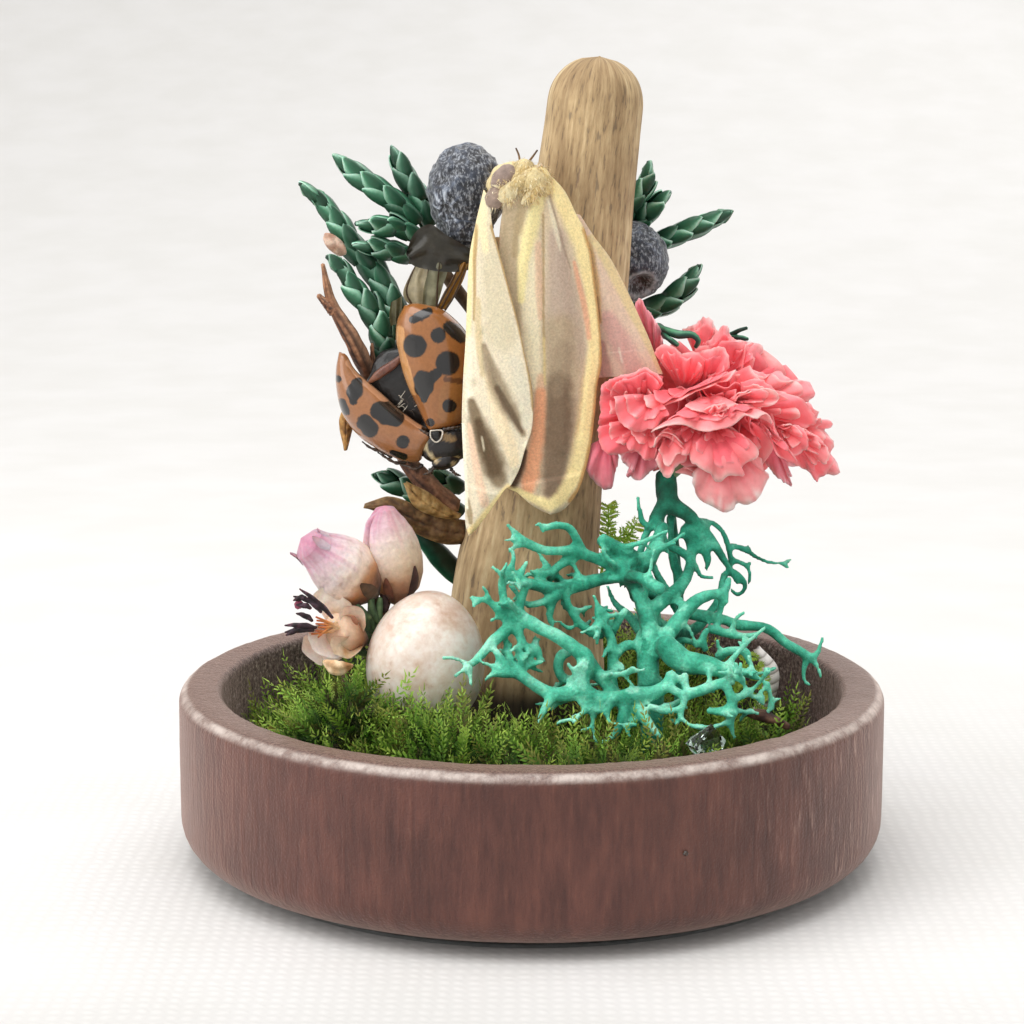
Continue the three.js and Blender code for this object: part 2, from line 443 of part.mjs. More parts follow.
// Reindeer lichen, split at its main forks
const lichenForks = {
  lichen_trunk: [
    [[[4.85, -6.3, 5.2], [4.85, -6.2, 8.2], [4.8, -5.6, 11.2], [4.1, -5, 12.4], [3.25, -4.6, 13.5],
      [3.05, -4.4, 14.3]], [0.42, 0.46, 0.46, 0.42, 0.3, 0.16]],
  ],
  lichen_flower_neck: [
    [[[5.65, -2.6, 16.6], [5.7, -2.8, 15.4], [5, -3.1, 14.9], [4.4, -3.6, 13.8], [4.3, -4.3, 12.7],
      [4.75, -5.5, 11.4]], [0.5, 0.5, 0.4, 0.3, 0.3]],
    [[[5.7, -2.8, 15.3], [6.7, -2.6, 14.9], [7.85, -2.4, 13.65], [8.2, -2.4, 12.6]], [0.42, 0.34, 0.26, 0.18]],
    [[[5.7, -2.7, 14.9], [5.65, -2.4, 13.6], [6.2, -2.6, 12.5], [6.4, -3, 11.6]], [0.34, 0.26, 0.2]],
    [[[4.35, -3.6, 15.9], [4.5, -3.3, 14.9], [4.6, -3.5, 14.2]], [0.1, 0.2]],
    [[[5.8, -1.9, 14.9], [6.1, -1.2, 12.6], [6.3, -1.2, 9.6], [6.2, -1.4, 6.6]], [0.3, 0.26, 0.26]],
  ],
  lichen_right_tip: [
    [[[7.9, -2, 13.9], [8.4, -1.8, 13.7], [9.6, -1.4, 13], [10.9, -1, 12.8]], [0.22, 0.18, 0.1]],
    [[[9.6, -1.4, 13], [10, -1.5, 13.6]], [0.12, 0.06]],
  ],
  lichen_long_right: [
    [[[5.3, -4.6, 11.3], [7.3, -3.8, 11], [9.4, -3.8, 10.6], [11.4, -4.2, 9.6]], [0.3, 0.28, 0.26, 0.2]],
    [[[11.3, -4.2, 9.7], [11.9, -4.4, 10.2]], [0.16, 0.07]],
    [[[11.3, -4.2, 9.7], [11.3, -4.2, 8.4]], [0.16, 0.08]],
    [[[11.3, -4.2, 9.7], [11.8, -4.6, 8.7]], [0.16, 0.08]],
  ],
  lichen_pale_fork: [
    [[[5.2, -6.6, 10.4], [6.45, -7, 9.8], [8.1, -7.4, 9.5], [9.4, -7.4, 9.25]], [0.5, 0.5, 0.34, 0.12]],
  ],
  lichen_upper_diagonal: [
    [[[5.2, -6.2, 10.9], [6.4, -5.6, 12.1], [7.8, -5.2, 12.4], [8.8, -4.8, 12.5]], [0.34, 0.34, 0.26, 0.14]],
    [[[7.2, -5.4, 12.3], [8, -5.2, 13.3]], [0.2, 0.08]],
  ],
  lichen_upper_left: [
    [[[3.3, -4.8, 13.3], [2.8, -4.9, 13.5], [1.8, -5.2, 14.1], [1.55, -5.4, 15], [0.9, -5.6, 15.25],
      [0.25, -5.8, 15]], [0.28, 0.26, 0.22, 0.12]],
    [[[1.8, -5.2, 14], [0.8, -5.5, 14.2], [-0.2, -5.6, 14.45], [-0.9, -5.8, 14.95]], [0.22, 0.18, 0.08]],
  ],
  lichen_middle_left: [
    [[[3.8, -5.2, 12.5], [1.7, -5.8, 12.95], [-0.2, -6.4, 12.1], [-0.8, -6.6, 11.6]], [0.34, 0.26, 0.26, 0.28]],
    [[[-0.6, -6.6, 11.5], [-2, -6.9, 12.75]], [0.26, 0.1]],
    [[[-0.6, -6.6, 11.6], [-1.15, -6.6, 13.1], [-1, -6.4, 13.95]], [0.24, 0.18, 0.08]],
    [[[-0.6, -6.6, 11.5], [-1.8, -7.2, 10.55], [-2.7, -7.8, 10], [-3.5, -8.1, 10.35]], [0.3, 0.26, 0.2, 0.08]],
    [[[-2.7, -7.8, 10], [-3, -8.2, 9.3]], [0.18, 0.08]],
  ],
  lichen_lower_left: [
    [[[4.5, -6.9, 8.6], [3.2, -7.7, 8.75], [1.6, -8, 9.1], [0.5, -8, 9.15], [-1.8, -7.7, 10]],
      [0.34, 0.34, 0.34, 0.3, 0.18]],
    [[[2.3, -7.6, 9.2], [1.65, -7.2, 10.5], [-0.3, -6.75, 11.3]], [0.3, 0.28, 0.24]],
    [[[0.5, -8, 9.1], [0.2, -8.6, 7.9]], [0.24, 0.08]],
  ],
  lichen_low_right: [
    [[[5.4, -7.4, 8.6], [6.1, -8, 8.8], [7.4, -8, 9.3], [7.9, -8.3, 8.6], [7.9, -8.3, 7.8]],
      [0.3, 0.26, 0.24, 0.2]],
    [[[7.9, -8.3, 8.7], [8.8, -8, 9]], [0.18, 0.08]],
  ],
};
let earlierForks = [];
for (const [name, list] of Object.entries(lichenForks)) {
  place(name, lichenTeal, fork(list, { steps: 4 }), [...earlierForks, 'driftwood_post', 'egg_pebble']);
  earlierForks = [...earlierForks, name];
}

// Pink double flower on the lichen's neck
const flowerCentre = [7.85, -0.8, 19.05];
const flowerHalf = [4.65, 4.3, 3.75];
place('flower_calyx', calyxGreen, (grow) =>
  branch([[5.75, -2.45, 16.95], [6.3, -2, 17.8], [6.9, -1.6, 18.6]], [0.35, 0.75, 0.9], grow));
place('flower_head', petalPink, () => {
  const geometry = new THREE.SphereGeometry(1, 16, 10);
  geometry.deleteAttribute('normal');
  geometry.deleteAttribute('uv');
  const ruffled = mergeVertices(geometry, 1e-4);
  const position = ruffled.attributes.position;
  for (let index = 0; index < position.count; index += 1) {
    const point = new THREE.Vector3().fromBufferAttribute(position, index);
    const angle = Math.atan2(point.y, point.x);
    const ruffle = 1 - 0.05 * (1 - Math.cos(7 * angle + 5 * point.z)) * (1 - point.z * point.z);
    point.multiplyScalar(ruffle).multiply(at(flowerHalf)).add(at(flowerCentre));
    position.setXYZ(index, point.x, point.y, point.z);
  }
  return toSolid(ruffled);
}, ['flower_calyx', 'moth_hindwing_right', 'juniper_sprig_right_5', 'juniper_sprig_right_6', 'driftwood_post',
  'lichen_flower_neck', 'moth_forewing_right']);

// Small things on the bed at the right
place('quartz_chip', quartz, (grow) => {
  const geometry = new THREE.IcosahedronGeometry(1, 0);
  geometry.scale(1.15 + grow, 0.75 + grow, 1.45 + grow);
  geometry.rotateZ(0.4).rotateY(0.25).translate(7.15, -9.35, 7.55);
  return toSolid(geometry);
}, ['lichen_low_right']);
place('shell_fragment', shellWhite, blade(
  [[9.9, 3.7, 7.9], [10.3, 3.5, 7], [10.2, 3.4, 6], [9.8, 3.4, 5.2]],
  [[10.1, 4.2, 7.9], [10.9, 4.1, 7], [10.9, 4, 6], [10.5, 4, 5.2]], 0.2, { across: 2, down: 5 }));
place('bed_twig', brownBark, (grow) =>
  branch([[8.6, -7.4, 7.9], [9.4, -7.3, 7.7], [10.3, -7, 7.2]], [0.16, 0.24, 0.2, 0.12], grow),
['quartz_chip', 'lichen_pale_fork', 'lichen_low_right']);

place('moss_bed', moss, mossBed, ['driftwood_post', 'egg_pebble', 'juniper_stem_left', 'heather_stem', 'lichen_trunk',
  'lichen_flower_neck', 'quartz_chip', 'shell_fragment', 'bed_twig', 'lichen_lower_left', 'lichen_low_right']);

export default group;
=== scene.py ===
import json
import math
import random

import bmesh
import bpy
import numpy as np
from mathutils import Matrix, Vector, noise
from mathutils.kdtree import KDTree

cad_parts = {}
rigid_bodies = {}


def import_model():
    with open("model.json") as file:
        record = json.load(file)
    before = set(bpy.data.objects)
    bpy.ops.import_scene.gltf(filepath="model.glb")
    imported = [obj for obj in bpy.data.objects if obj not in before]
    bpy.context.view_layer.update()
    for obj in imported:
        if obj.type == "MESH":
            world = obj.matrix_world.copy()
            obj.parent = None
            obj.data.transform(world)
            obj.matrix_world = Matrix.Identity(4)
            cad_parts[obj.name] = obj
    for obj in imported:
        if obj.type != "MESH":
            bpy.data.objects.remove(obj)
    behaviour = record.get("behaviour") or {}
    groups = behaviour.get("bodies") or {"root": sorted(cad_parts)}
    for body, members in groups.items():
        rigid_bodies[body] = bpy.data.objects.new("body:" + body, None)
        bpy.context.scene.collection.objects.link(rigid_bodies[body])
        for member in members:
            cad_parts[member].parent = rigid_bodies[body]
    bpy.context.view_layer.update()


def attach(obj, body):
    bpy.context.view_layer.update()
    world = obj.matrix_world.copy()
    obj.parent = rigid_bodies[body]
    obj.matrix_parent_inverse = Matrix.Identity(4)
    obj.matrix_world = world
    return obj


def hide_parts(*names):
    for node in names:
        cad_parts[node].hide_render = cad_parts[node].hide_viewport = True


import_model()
mm = 0.001  # every shape below is worked out in millimetres and turned to metres when its mesh is made


# small helpers

def hexColour(code):  # sRGB hex to the linear colour that Blender wants
    parts = [int(code[i:i + 2], 16) / 255 for i in (1, 3, 5)]
    return [p / 12.92 if p <= 0.04045 else ((p + 0.055) / 1.055) ** 2.4 for p in parts] + [1]


def addNode(tree, kind, settings=None, links=None):  # a socket as value is linked, anything else is set
    node = tree.nodes.new(kind)
    for name, value in (settings or {}).items():
        if name == "stops":  # stops of a colour ramp, as position and hex colour
            elements = node.color_ramp.elements
            elements.remove(elements[1])
            elements[0].position = value[0][0]
            elements[0].color = hexColour(value[0][1])
            for position, code in value[1:]:
                elements.new(position).color = hexColour(code)
        else:
            setattr(node, name, value)
    for name, value in (links or {}).items():
        if isinstance(value, bpy.types.NodeSocket):
            tree.links.new(value, node.inputs[name])
        else:
            node.inputs[name].default_value = value
    return node


def newMaterial(name, values):
    material = bpy.data.materials.new(name)
    material.use_nodes = True
    tree = material.node_tree
    shader = tree.nodes["Principled BSDF"]
    for socket, value in values.items():
        shader.inputs[socket].default_value = value
    return material, tree, shader


def objectCoords(tree):
    return addNode(tree, "ShaderNodeTexCoord").outputs["Object"]


def pointValue(tree, name, kind="Fac"):  # what an attribute of the mesh says
    return addNode(tree, "ShaderNodeAttribute", {"attribute_name": name}).outputs[kind]


def noiseAt(tree, coords, scale, detail, roughness=0.5, distortion=0.0):
    return addNode(tree, "ShaderNodeTexNoise", None, {
        "Vector": coords, "Scale": scale, "Detail": detail, "Roughness": roughness,
        "Distortion": distortion}).outputs["Fac"]


def ramp(tree, value, stops):
    return addNode(tree, "ShaderNodeValToRGB", {"stops": stops}, {0: value}).outputs[0]


def remap(tree, value, low, high, newLow, newHigh, smooth=False):
    kind = {"interpolation_type": "SMOOTHSTEP"} if smooth else None
    return addNode(tree, "ShaderNodeMapRange", kind,
                   {0: value, 1: low, 2: high, 3: newLow, 4: newHigh}).outputs[0]


def mixColours(tree, share, under, over, kind="MIX"):
    return addNode(tree, "ShaderNodeMixRGB", {"blend_type": kind}, {0: share, 1: under, 2: over}).outputs[0]


def product(tree, first, second):
    return addNode(tree, "ShaderNodeMath", {"operation": "MULTIPLY"}, {0: first, 1: second}).outputs[0]


def scaled(tree, vector, factor):
    return addNode(tree, "ShaderNodeVectorMath", {"operation": "SCALE"},
                   {0: vector, "Scale": factor}).outputs[0]


def stretched(tree, vector, factors):
    return addNode(tree, "ShaderNodeVectorMath", {"operation": "MULTIPLY"},
                   {0: vector, 1: factors}).outputs[0]


def addBump(tree, shader, height, strength, distance):
    bump = addNode(tree, "ShaderNodeBump", None,
                   {"Strength": strength, "Distance": distance, "Height": height})
    tree.links.new(bump.outputs[0], shader.inputs["Normal"])


def meshPiece(name, points, faces, material, smooth=True, attributes=None):
    mesh = bpy.data.meshes.new(name)
    mesh.from_pydata([tuple(p) for p in np.asarray(points, float) * mm], [], [tuple(f) for f in faces])
    mesh.validate()
    mesh.polygons.foreach_set("use_smooth", [smooth] * len(mesh.polygons))
    for key, values in (attributes or {}).items():
        values = np.asarray(values, float)
        kind, field = {1: ("FLOAT", "value"), 3: ("FLOAT_VECTOR", "vector"), 4: ("FLOAT_COLOR", "color")}[
            1 if values.ndim == 1 else values.shape[1]]
        mesh.attributes.new(key, kind, "POINT").data.foreach_set(field, values.ravel())
    piece = bpy.data.objects.new(name, mesh)
    bpy.context.collection.objects.link(piece)
    if material:
        mesh.materials.append(material)
    return piece


def pathPoints(controls, count):  # even steps along a smooth curve through the control points
    controls = np.asarray(controls, float)
    ends = np.vstack([2 * controls[0] - controls[1], controls, 2 * controls[-1] - controls[-2]])
    fine = []
    for i in range(1, len(ends) - 2):
        a, b, c, d = ends[i - 1:i + 3]
        for t in np.linspace(0, 1, 24, endpoint=False):
            fine.append(0.5 * (2 * b + (c - a) * t + (2 * a - 5 * b + 4 * c - d) * t ** 2
                               + (3 * b - a - 3 * c + d) * t ** 3))
    fine = np.array(fine + [controls[-1]])
    length = np.concatenate([[0], np.cumsum(np.linalg.norm(np.diff(fine, axis=0), axis=1))])
    steps = np.linspace(0, length[-1], count)
    return np.stack([np.interp(steps, length, fine[:, axis]) for axis in range(3)], axis=1)


def spread(values, count):  # a short list of values stretched evenly over count steps
    return np.interp(np.linspace(0, 1, count), np.linspace(0, 1, len(values)), values)


def frames(path):  # tangent and two side directions that don't twist along the path
    tangents = np.gradient(path, axis=0)
    tangents /= np.linalg.norm(tangents, axis=1)[:, None] + 1e-12
    side = np.cross(tangents[0], [0.3, 1, 0.2])
    sides = []
    for tangent in tangents:
        side = side - tangent * side.dot(tangent)
        side /= np.linalg.norm(side) + 1e-12
        sides.append(side)
    sides = np.array(sides)
    return tangents, sides, np.cross(tangents, sides)


def sweep(controls, radii, sides, steps, ripple=None):  # closed tube: points, faces, length and angle
    path = pathPoints(controls, steps)
    tangents, across, up = frames(path)
    radius = spread(radii, steps)
    points, faces, lengths, angles = [], [], [], []
    for i in range(steps):
        for j in range(sides):
            angle = 2 * math.pi * j / sides
            r = radius[i] * (ripple(i / (steps - 1), angle) if ripple else 1)
            points.append(path[i] + r * (math.cos(angle) * across[i] + math.sin(angle) * up[i]))
            lengths.append(i / (steps - 1))
            angles.append(angle)
    for i in range(steps - 1):
        for j in range(sides):
            a, b = i * sides + j, i * sides + (j + 1) % sides
            faces.append((a, b, b + sides, a + sides))
    for ring, t, out in ((0, 0, -0.6), (steps - 1, 1, 0.6)):  # a domed point closes each end
        points.append(path[ring] + tangents[ring] * radius[ring] * out * (ripple(t, 0) if ripple else 1))
        lengths.append(t)
        angles.append(0)
        for j in range(sides):
            a, b = ring * sides + j, ring * sides + (j + 1) % sides
            faces.append((b, a, len(points) - 1) if ring == 0 else (a, b, len(points) - 1))
    return np.array(points), faces, np.array(lengths), np.array(angles)


def gather(parts):  # joins (points, faces, ...per-point arrays) into one
    points, faces, extras, start = [], [], [[] for _ in parts[0][2:]], 0
    for part in parts:
        points.append(np.asarray(part[0], float))
        faces += [tuple(i + start for i in face) for face in part[1]]
        for store, values in zip(extras, part[2:]):
            store.append(np.asarray(values, float))
        start += len(part[0])
    return [np.vstack(points), faces] + [np.concatenate(store) for store in extras]


def grid(surface, across, down):  # open sheet of across x down quads over u, v from 0 to 1
    points, uv = [], []
    for i in range(down + 1):
        for j in range(across + 1):
            u, v = j / across, i / down
            points.append(surface(u, v))
            uv.append((u, v))
    faces = []
    for i in range(down):
        for j in range(across):
            a = i * (across + 1) + j
            faces.append((a, a + 1, a + across + 2, a + across + 1))
    return np.array(points), faces, np.array(uv)


def ruledSheet(first, second, across, down):  # an open sheet between two curved edges
    a, b = pathPoints(first, down + 1), pathPoints(second, down + 1)
    return grid(lambda u, v: a[round(v * down)] * (1 - u) + b[round(v * down)] * u, across, down)


def doubled(points, faces, shift):  # an open sheet with a second skin behind it
    behind = [tuple(i + len(points) for i in face[::-1]) for face in faces]
    return np.vstack([points, points + shift]), list(faces) + behind


def unit(vector):
    vector = np.asarray(vector, float)
    return vector / np.linalg.norm(vector)


def wobble(point, scale, seed):  # smooth noise, about -1 to 1
    return noise.noise(Vector((point[0] * scale + seed, point[1] * scale - seed,
                               point[2] * scale + 2 * seed)))


def wobbles(points, scale, seed):
    return np.array([wobble(p, scale, seed) for p in points])


def flatColour(code, points):  # the same colour for all points
    return np.tile(np.array(hexColour(code)), (len(points), 1))


def blend(tint, code, share):  # one colour laid over the tint of points
    return tint * (1 - share) + np.array(hexColour(code)) * share


def lathe(profile, segments):  # closed turned solid; the profile starts and ends on the axis
    inner = profile[1:-1]
    points, faces = [(0, 0, profile[0][1])], []
    for radius, z in inner:
        for j in range(segments):
            angle = 2 * math.pi * j / segments
            points.append((radius * math.cos(angle), radius * math.sin(angle), z))
    points.append((0, 0, profile[-1][1]))
    for j in range(segments):
        nextOne = (j + 1) % segments
        faces.append((0, 1 + nextOne, 1 + j))
        for i in range(len(inner) - 1):
            a, b = 1 + i * segments + j, 1 + i * segments + nextOne
            faces.append((a, b, b + segments, a + segments))
        last = 1 + (len(inner) - 1) * segments
        faces.append((last + j, last + nextOne, len(points) - 1))
    return np.array(points), faces


def arc(cx, cz, radius, start, end, steps):
    angles = np.radians(np.linspace(start, end, steps))
    return [(cx + radius * math.cos(a), cz + radius * math.sin(a)) for a in angles]


def thicken(piece, depth):  # gives an open sheet its real thickness
    solid = piece.modifiers.new("thickness", "SOLIDIFY")
    solid.thickness = depth * mm
    solid.offset = 0
    return plainMesh(piece)


def plainMesh(piece):  # bakes the modifiers into the mesh and takes them off
    evaluated = piece.evaluated_get(bpy.context.evaluated_depsgraph_get())
    mesh = bpy.data.meshes.new_from_object(evaluated)
    mesh.name = piece.name
    piece.modifiers.clear()
    piece.data = mesh
    return piece


def countTriangles(piece):
    return sum(len(face.vertices) - 2 for face in piece.data.polygons)


def paintedPiece(name, painted, material, slot, *nodes):  # a placed piece from its points, faces and tint
    points, faces, tint = painted
    place(meshPiece(name, points, faces, material, attributes={"tint": tint}), slot, *nodes)


def sheetPiece(name, painted, material, thickness, slot, node):  # the same for an open sheet
    points, faces, tint = painted
    piece = thicken(meshPiece(name, points, faces, material, attributes={"tint": tint}), thickness)
    place(piece, slot, node)
    return piece


def place(piece, slot, *nodes):  # rides on the one body and stands for its CAD nodes
    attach(piece, "root")
    if nodes:
        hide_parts(*nodes)


# turned dish

dishSizes = {"radius": 15, "height": 7.5, "inner": 13.2, "floor": 2, "corner": 1.5, "wallBottom": 0.5,
             "footRing": 12.7, "disc": 13, "discThickness": 0.2, "rimRound": 0.6}


def makeStainedWood():
    # Stained ash or oak, turned and waxed: long open pores run up the wall, picked out in painted sheen on
    # the right, the rim is rubbed paler with a painted highlight on its outer corner, the lower corner
    # carries painted shade, and the unpolished inside is dark and fibrous
    material, tree, shader = newMaterial("stainedOpenGrainWood", {
        "Roughness": 0.4, "IOR": 1.45, "Coat Weight": 0.12, "Coat Roughness": 0.35, "Sheen Weight": 0.5,
        "Sheen Roughness": 0.4, "Sheen Tint": hexColour("#f0d0c2")})
    coords = objectCoords(tree)
    split = addNode(tree, "ShaderNodeSeparateXYZ", None, {0: coords})
    x, y, z = split.outputs
    angle = addNode(tree, "ShaderNodeMath", {"operation": "ARCTAN2"}, {0: y, 1: x}).outputs[0]
    flat = addNode(tree, "ShaderNodeCombineXYZ", None, {0: x, 1: y}).outputs[0]
    radius = addNode(tree, "ShaderNodeVectorMath", {"operation": "LENGTH"}, {0: flat}).outputs["Value"]
    # streaks: 0.25 mm wide round the wall, 3 mm tall
    streakSpace = stretched(tree, coords, (1, 1, 0.16))
    fine = noiseAt(tree, streakSpace, 3600.0, 4.0, 0.65)
    broad = noiseAt(tree, streakSpace, 800.0, 3.0, 0.6)
    cloud = noiseAt(tree, coords, 260.0, 3.0, 0.6)
    speck = noiseAt(tree, coords, 9000.0, 2.0, 0.7)
    wallBase = ramp(tree, broad, [(0.28, "#47231c"), (0.45, "#5a3129"), (0.58, "#683b30"), (0.75, "#7d4d3e")])
    wallFine = ramp(tree, fine, [(0.3, "#44231d"), (0.5, "#60382e"), (0.66, "#744638"), (0.78, "#8f6453")])
    wall = mixColours(tree, 0.5, wallBase, wallFine)
    mottle = ramp(tree, cloud, [(0.35, "#b9aaa4"), (0.65, "#ffffff")])
    wallMottled = mixColours(tree, 0.55, wall, mottle, "MULTIPLY")
    # painted sheen: pale streaks along the pores where the wall turns to the right, where it catches the
    # light
    rightSide = remap(tree, angle, -1.1, -0.3, 0.0, 1.0)
    poreSheenLine = remap(tree, fine, 0.58, 0.7, 0.0, 0.75)
    sheenStreakedWall = mixColours(tree, product(tree, rightSide, poreSheenLine), wallMottled, hexColour("#c4a99c"))
    rimColour = ramp(tree, speck, [(0.3, "#45322b"), (0.5, "#694f45"), (0.68, "#866c60"), (0.8, "#b19a8e")])
    rimMask = remap(tree, z, 0.0069, 0.00745, 0.0, 0.85, smooth=True)
    rimmed = mixColours(tree, rimMask, sheenStreakedWall, rimColour)
    # painted highlight, partly rubbed wear: a mottled pale line along the outer corner of the rim
    edge = remap(tree, radius, 0.01456, 0.01478, 0.0, 1.0, smooth=True)
    high = remap(tree, z, 0.00704, 0.0073, 0.0, 1.0, smooth=True)
    scuffAndGlintNoise = noiseAt(tree, coords, 900.0, 7.0, 0.75)
    worn = remap(tree, scuffAndGlintNoise, 0.38, 0.62, 0.2, 0.88)
    rimWearAndHighlight = product(tree, product(tree, edge, high), worn)
    rimmed = mixColours(tree, rimWearAndHighlight, rimmed, hexColour("#d6c8bf"))
    # painted shade: the lower corner, which curves under towards the floor, is darkened grey-brown
    footShadeMask = remap(tree, z, 0.0005, 0.0018, 0.55, 0.0, smooth=True)
    footShadedWall = mixColours(tree, footShadeMask, rimmed, hexColour("#45342f"))
    fibre = noiseAt(tree, coords, 5600.0, 4.0, 0.75)
    insideColour = ramp(tree, fibre,
                        [(0.38, "#2e2422"), (0.5, "#5a4c48"), (0.6, "#86766f"), (0.72, "#c6bab4")])
    insideMask = remap(tree, radius, 0.01318, 0.01342, 1.0, 0.0, smooth=True)
    colour = mixColours(tree, insideMask, footShadedWall, insideColour)
    tree.links.new(colour, shader.inputs["Base Color"])
    rough = remap(tree, insideMask, 0.0, 1.0, 0.46, 0.95)
    tree.links.new(rough, shader.inputs["Roughness"])
    grain = addNode(tree, "ShaderNodeBump", None, {"Strength": 0.6, "Distance": 0.00014, "Height": fine})
    fuzz = addNode(tree, "ShaderNodeBump", None, {
        "Strength": 0.5, "Distance": 0.0001, "Height": speck, "Normal": grain.outputs[0]})
    tree.links.new(fuzz.outputs[0], shader.inputs["Normal"])
    return material


def makeDish():
    d = dishSizes
    r, h, corner, rim = d["radius"], d["height"], d["corner"], d["rimRound"]
    profile = [(0, d["discThickness"])]
    profile += [(x, d["discThickness"]) for x in (6, 11, d["footRing"])]
    profile += [(d["footRing"], d["wallBottom"]), (d["footRing"] + 0.3, d["wallBottom"])]
    profile += arc(r - corner, d["wallBottom"] + corner, corner, -90, 0, 10)
    profile += [(r + 0.03 * math.sin(math.pi * t), d["wallBottom"] + corner
                 + t * (h - rim - d["wallBottom"] - corner)) for t in np.linspace(0, 1, 12)[1:-1]]
    profile += arc(r - rim, h - rim, rim, 0, 80, 9)
    profile += [(r - rim - 0.25, h), (d["inner"] + 0.5, h - 0.03)]
    profile += arc(d["inner"] + 0.28, h - 0.33, 0.28, 90, 180, 6)
    profile += [(d["inner"], z) for z in np.linspace(h - 0.6, d["floor"] + 0.9, 9)]
    profile += arc(d["inner"] - 0.8, d["floor"] + 0.8, 0.8, 0, -90, 6)[1:]
    profile += [(9, d["floor"]), (4, d["floor"]), (0, d["floor"])]
    points, faces = lathe(profile, 320)
    for p in points:  # the turning isn't perfect: soft flats, tool ripple and a nicked rim
        out = math.hypot(p[0], p[1])
        if out < 8 or p[2] < 0.3:
            continue
        swell = 0.035 * wobble(p, 0.22, 3) + 0.012 * wobble(p, 1.6, 9)
        inside = out < d["inner"] + 0.2
        if inside:
            swell = 0.05 * wobble(p, 2.2, 5)
        p[0] *= 1 + swell / out
        p[1] *= 1 + swell / out
        if p[2] > h - 0.35:
            p[2] += 0.03 * wobble(p, 0.9, 17) + 0.018 * wobble(p, 3.1, 2) - 0.02
    piece = meshPiece("turnedDish", points, faces, makeStainedWood())
    place(piece, "stained_wood", "wooden_dish")


def makeFootDisc():
    # Clear self-adhesive bumper film, die cut: bright rim line, see-through
    material, tree, shader = newMaterial("clearFilm", {
        "Base Color": hexColour("#e9eceb"), "Roughness": 0.12, "IOR": 1.46, "Transmission Weight": 0.9})
    shimmer = addNode(tree, "ShaderNodeTexNoise", None, {"Scale": 900.0, "Detail": 2.0})
    addBump(tree, shader, shimmer.outputs["Fac"], 0.15, 0.00005)
    d = dishSizes
    profile = [(0, 0), (8, 0), (d["disc"] - 0.08, 0)]
    profile += arc(d["disc"] - 0.09, 0.09, 0.09, -60, 60, 5)
    profile += [(d["disc"] - 0.2, d["discThickness"] - 0.01), (8, d["discThickness"] - 0.01),
                (0, d["discThickness"] - 0.01)]
    points, faces = lathe(profile, 256)
    piece = meshPiece("clearFootDisc", points, faces, material)
    place(piece, "clear_film", "clear_foot_disc")


makeDish()
makeFootDisc()
print("dish done")


# moss bed

bedSizes = {"level": 5.7, "radius": 12.95, "bottom": 2.05, "planted": 12.6}
mossHeaps = [  # x, y, spread and rise of each heap; the same bed as the solid it stands for
    (-7.5, -6.9, 2.0, 2.8), (-11.6, -3.2, 3.0, -1.7), (-3.8, -9.2, 1.5, 0.9), (-2.5, -10, 3.4, 1.3),
    (3.5, -10, 3.2, 0.9), (10, -6.6, 1.8, 1), (-9.6, 2.2, 4.4, -1.5), (1, 9, 4.2, 0.9),
    (11.4, 1.5, 3.4, -1.2), (-0.3, -4.6, 2.1, -1.4)]


def bedHeight(x, y):
    z = bedSizes["level"] + sum(rise * math.exp(-((x - hx) ** 2 + (y - hy) ** 2) / wide ** 2)
                                for hx, hy, wide, rise in mossHeaps)
    out = (math.hypot(x, y) - bedSizes["radius"] + 1.2) / 1.2
    out = min(max(out, 0), 1)
    return z - 0.5 * out * out * (3 - 2 * out)


def makeMossMaterial():
    # Preserved cushion and feather moss: yellow-green living tips over darker, browned older stems
    material, tree, shader = newMaterial("preservedMoss", {
        "Roughness": 0.75, "Subsurface Weight": 0.25, "Subsurface Scale": 0.0004,
        "Subsurface Radius": (0.6, 1.0, 0.2)})
    tip = pointValue(tree, "tip")
    shade = pointValue(tree, "shade")
    young = ramp(tree, tip, [(0.0, "#12200a"), (0.35, "#345a18"), (0.68, "#74a32c"), (1.0, "#b9da5a")])
    old = ramp(tree, tip, [(0.0, "#1c170b"), (0.4, "#403c18"), (0.75, "#656c26"), (1.0, "#969a40")])
    age = remap(tree, shade, 0.5, 0.85, 0.0, 1.0)
    mixed = mixColours(tree, age, young, old)
    depth = remap(tree, shade, 0.0, 0.6, 0.62, 1.15)
    toned = scaled(tree, mixed, depth)
    tree.links.new(toned, shader.inputs["Base Color"])
    return material


def makeSoilMaterial():
    # Dried moss roots and glue: nearly black brown with dull crumbs 0.2 mm across
    material, tree, shader = newMaterial("darkMossRoots", {"Roughness": 0.95})
    coords = objectCoords(tree)
    crumbs = noiseAt(tree, coords, 4200.0, 4.0)
    soil = ramp(tree, crumbs, [(0.35, "#0f0d09"), (0.55, "#241c12"), (0.7, "#39311c"), (0.82, "#4c4a22")])
    tree.links.new(soil, shader.inputs["Base Color"])
    addBump(tree, shader, crumbs, 0.9, 0.0002)
    return material


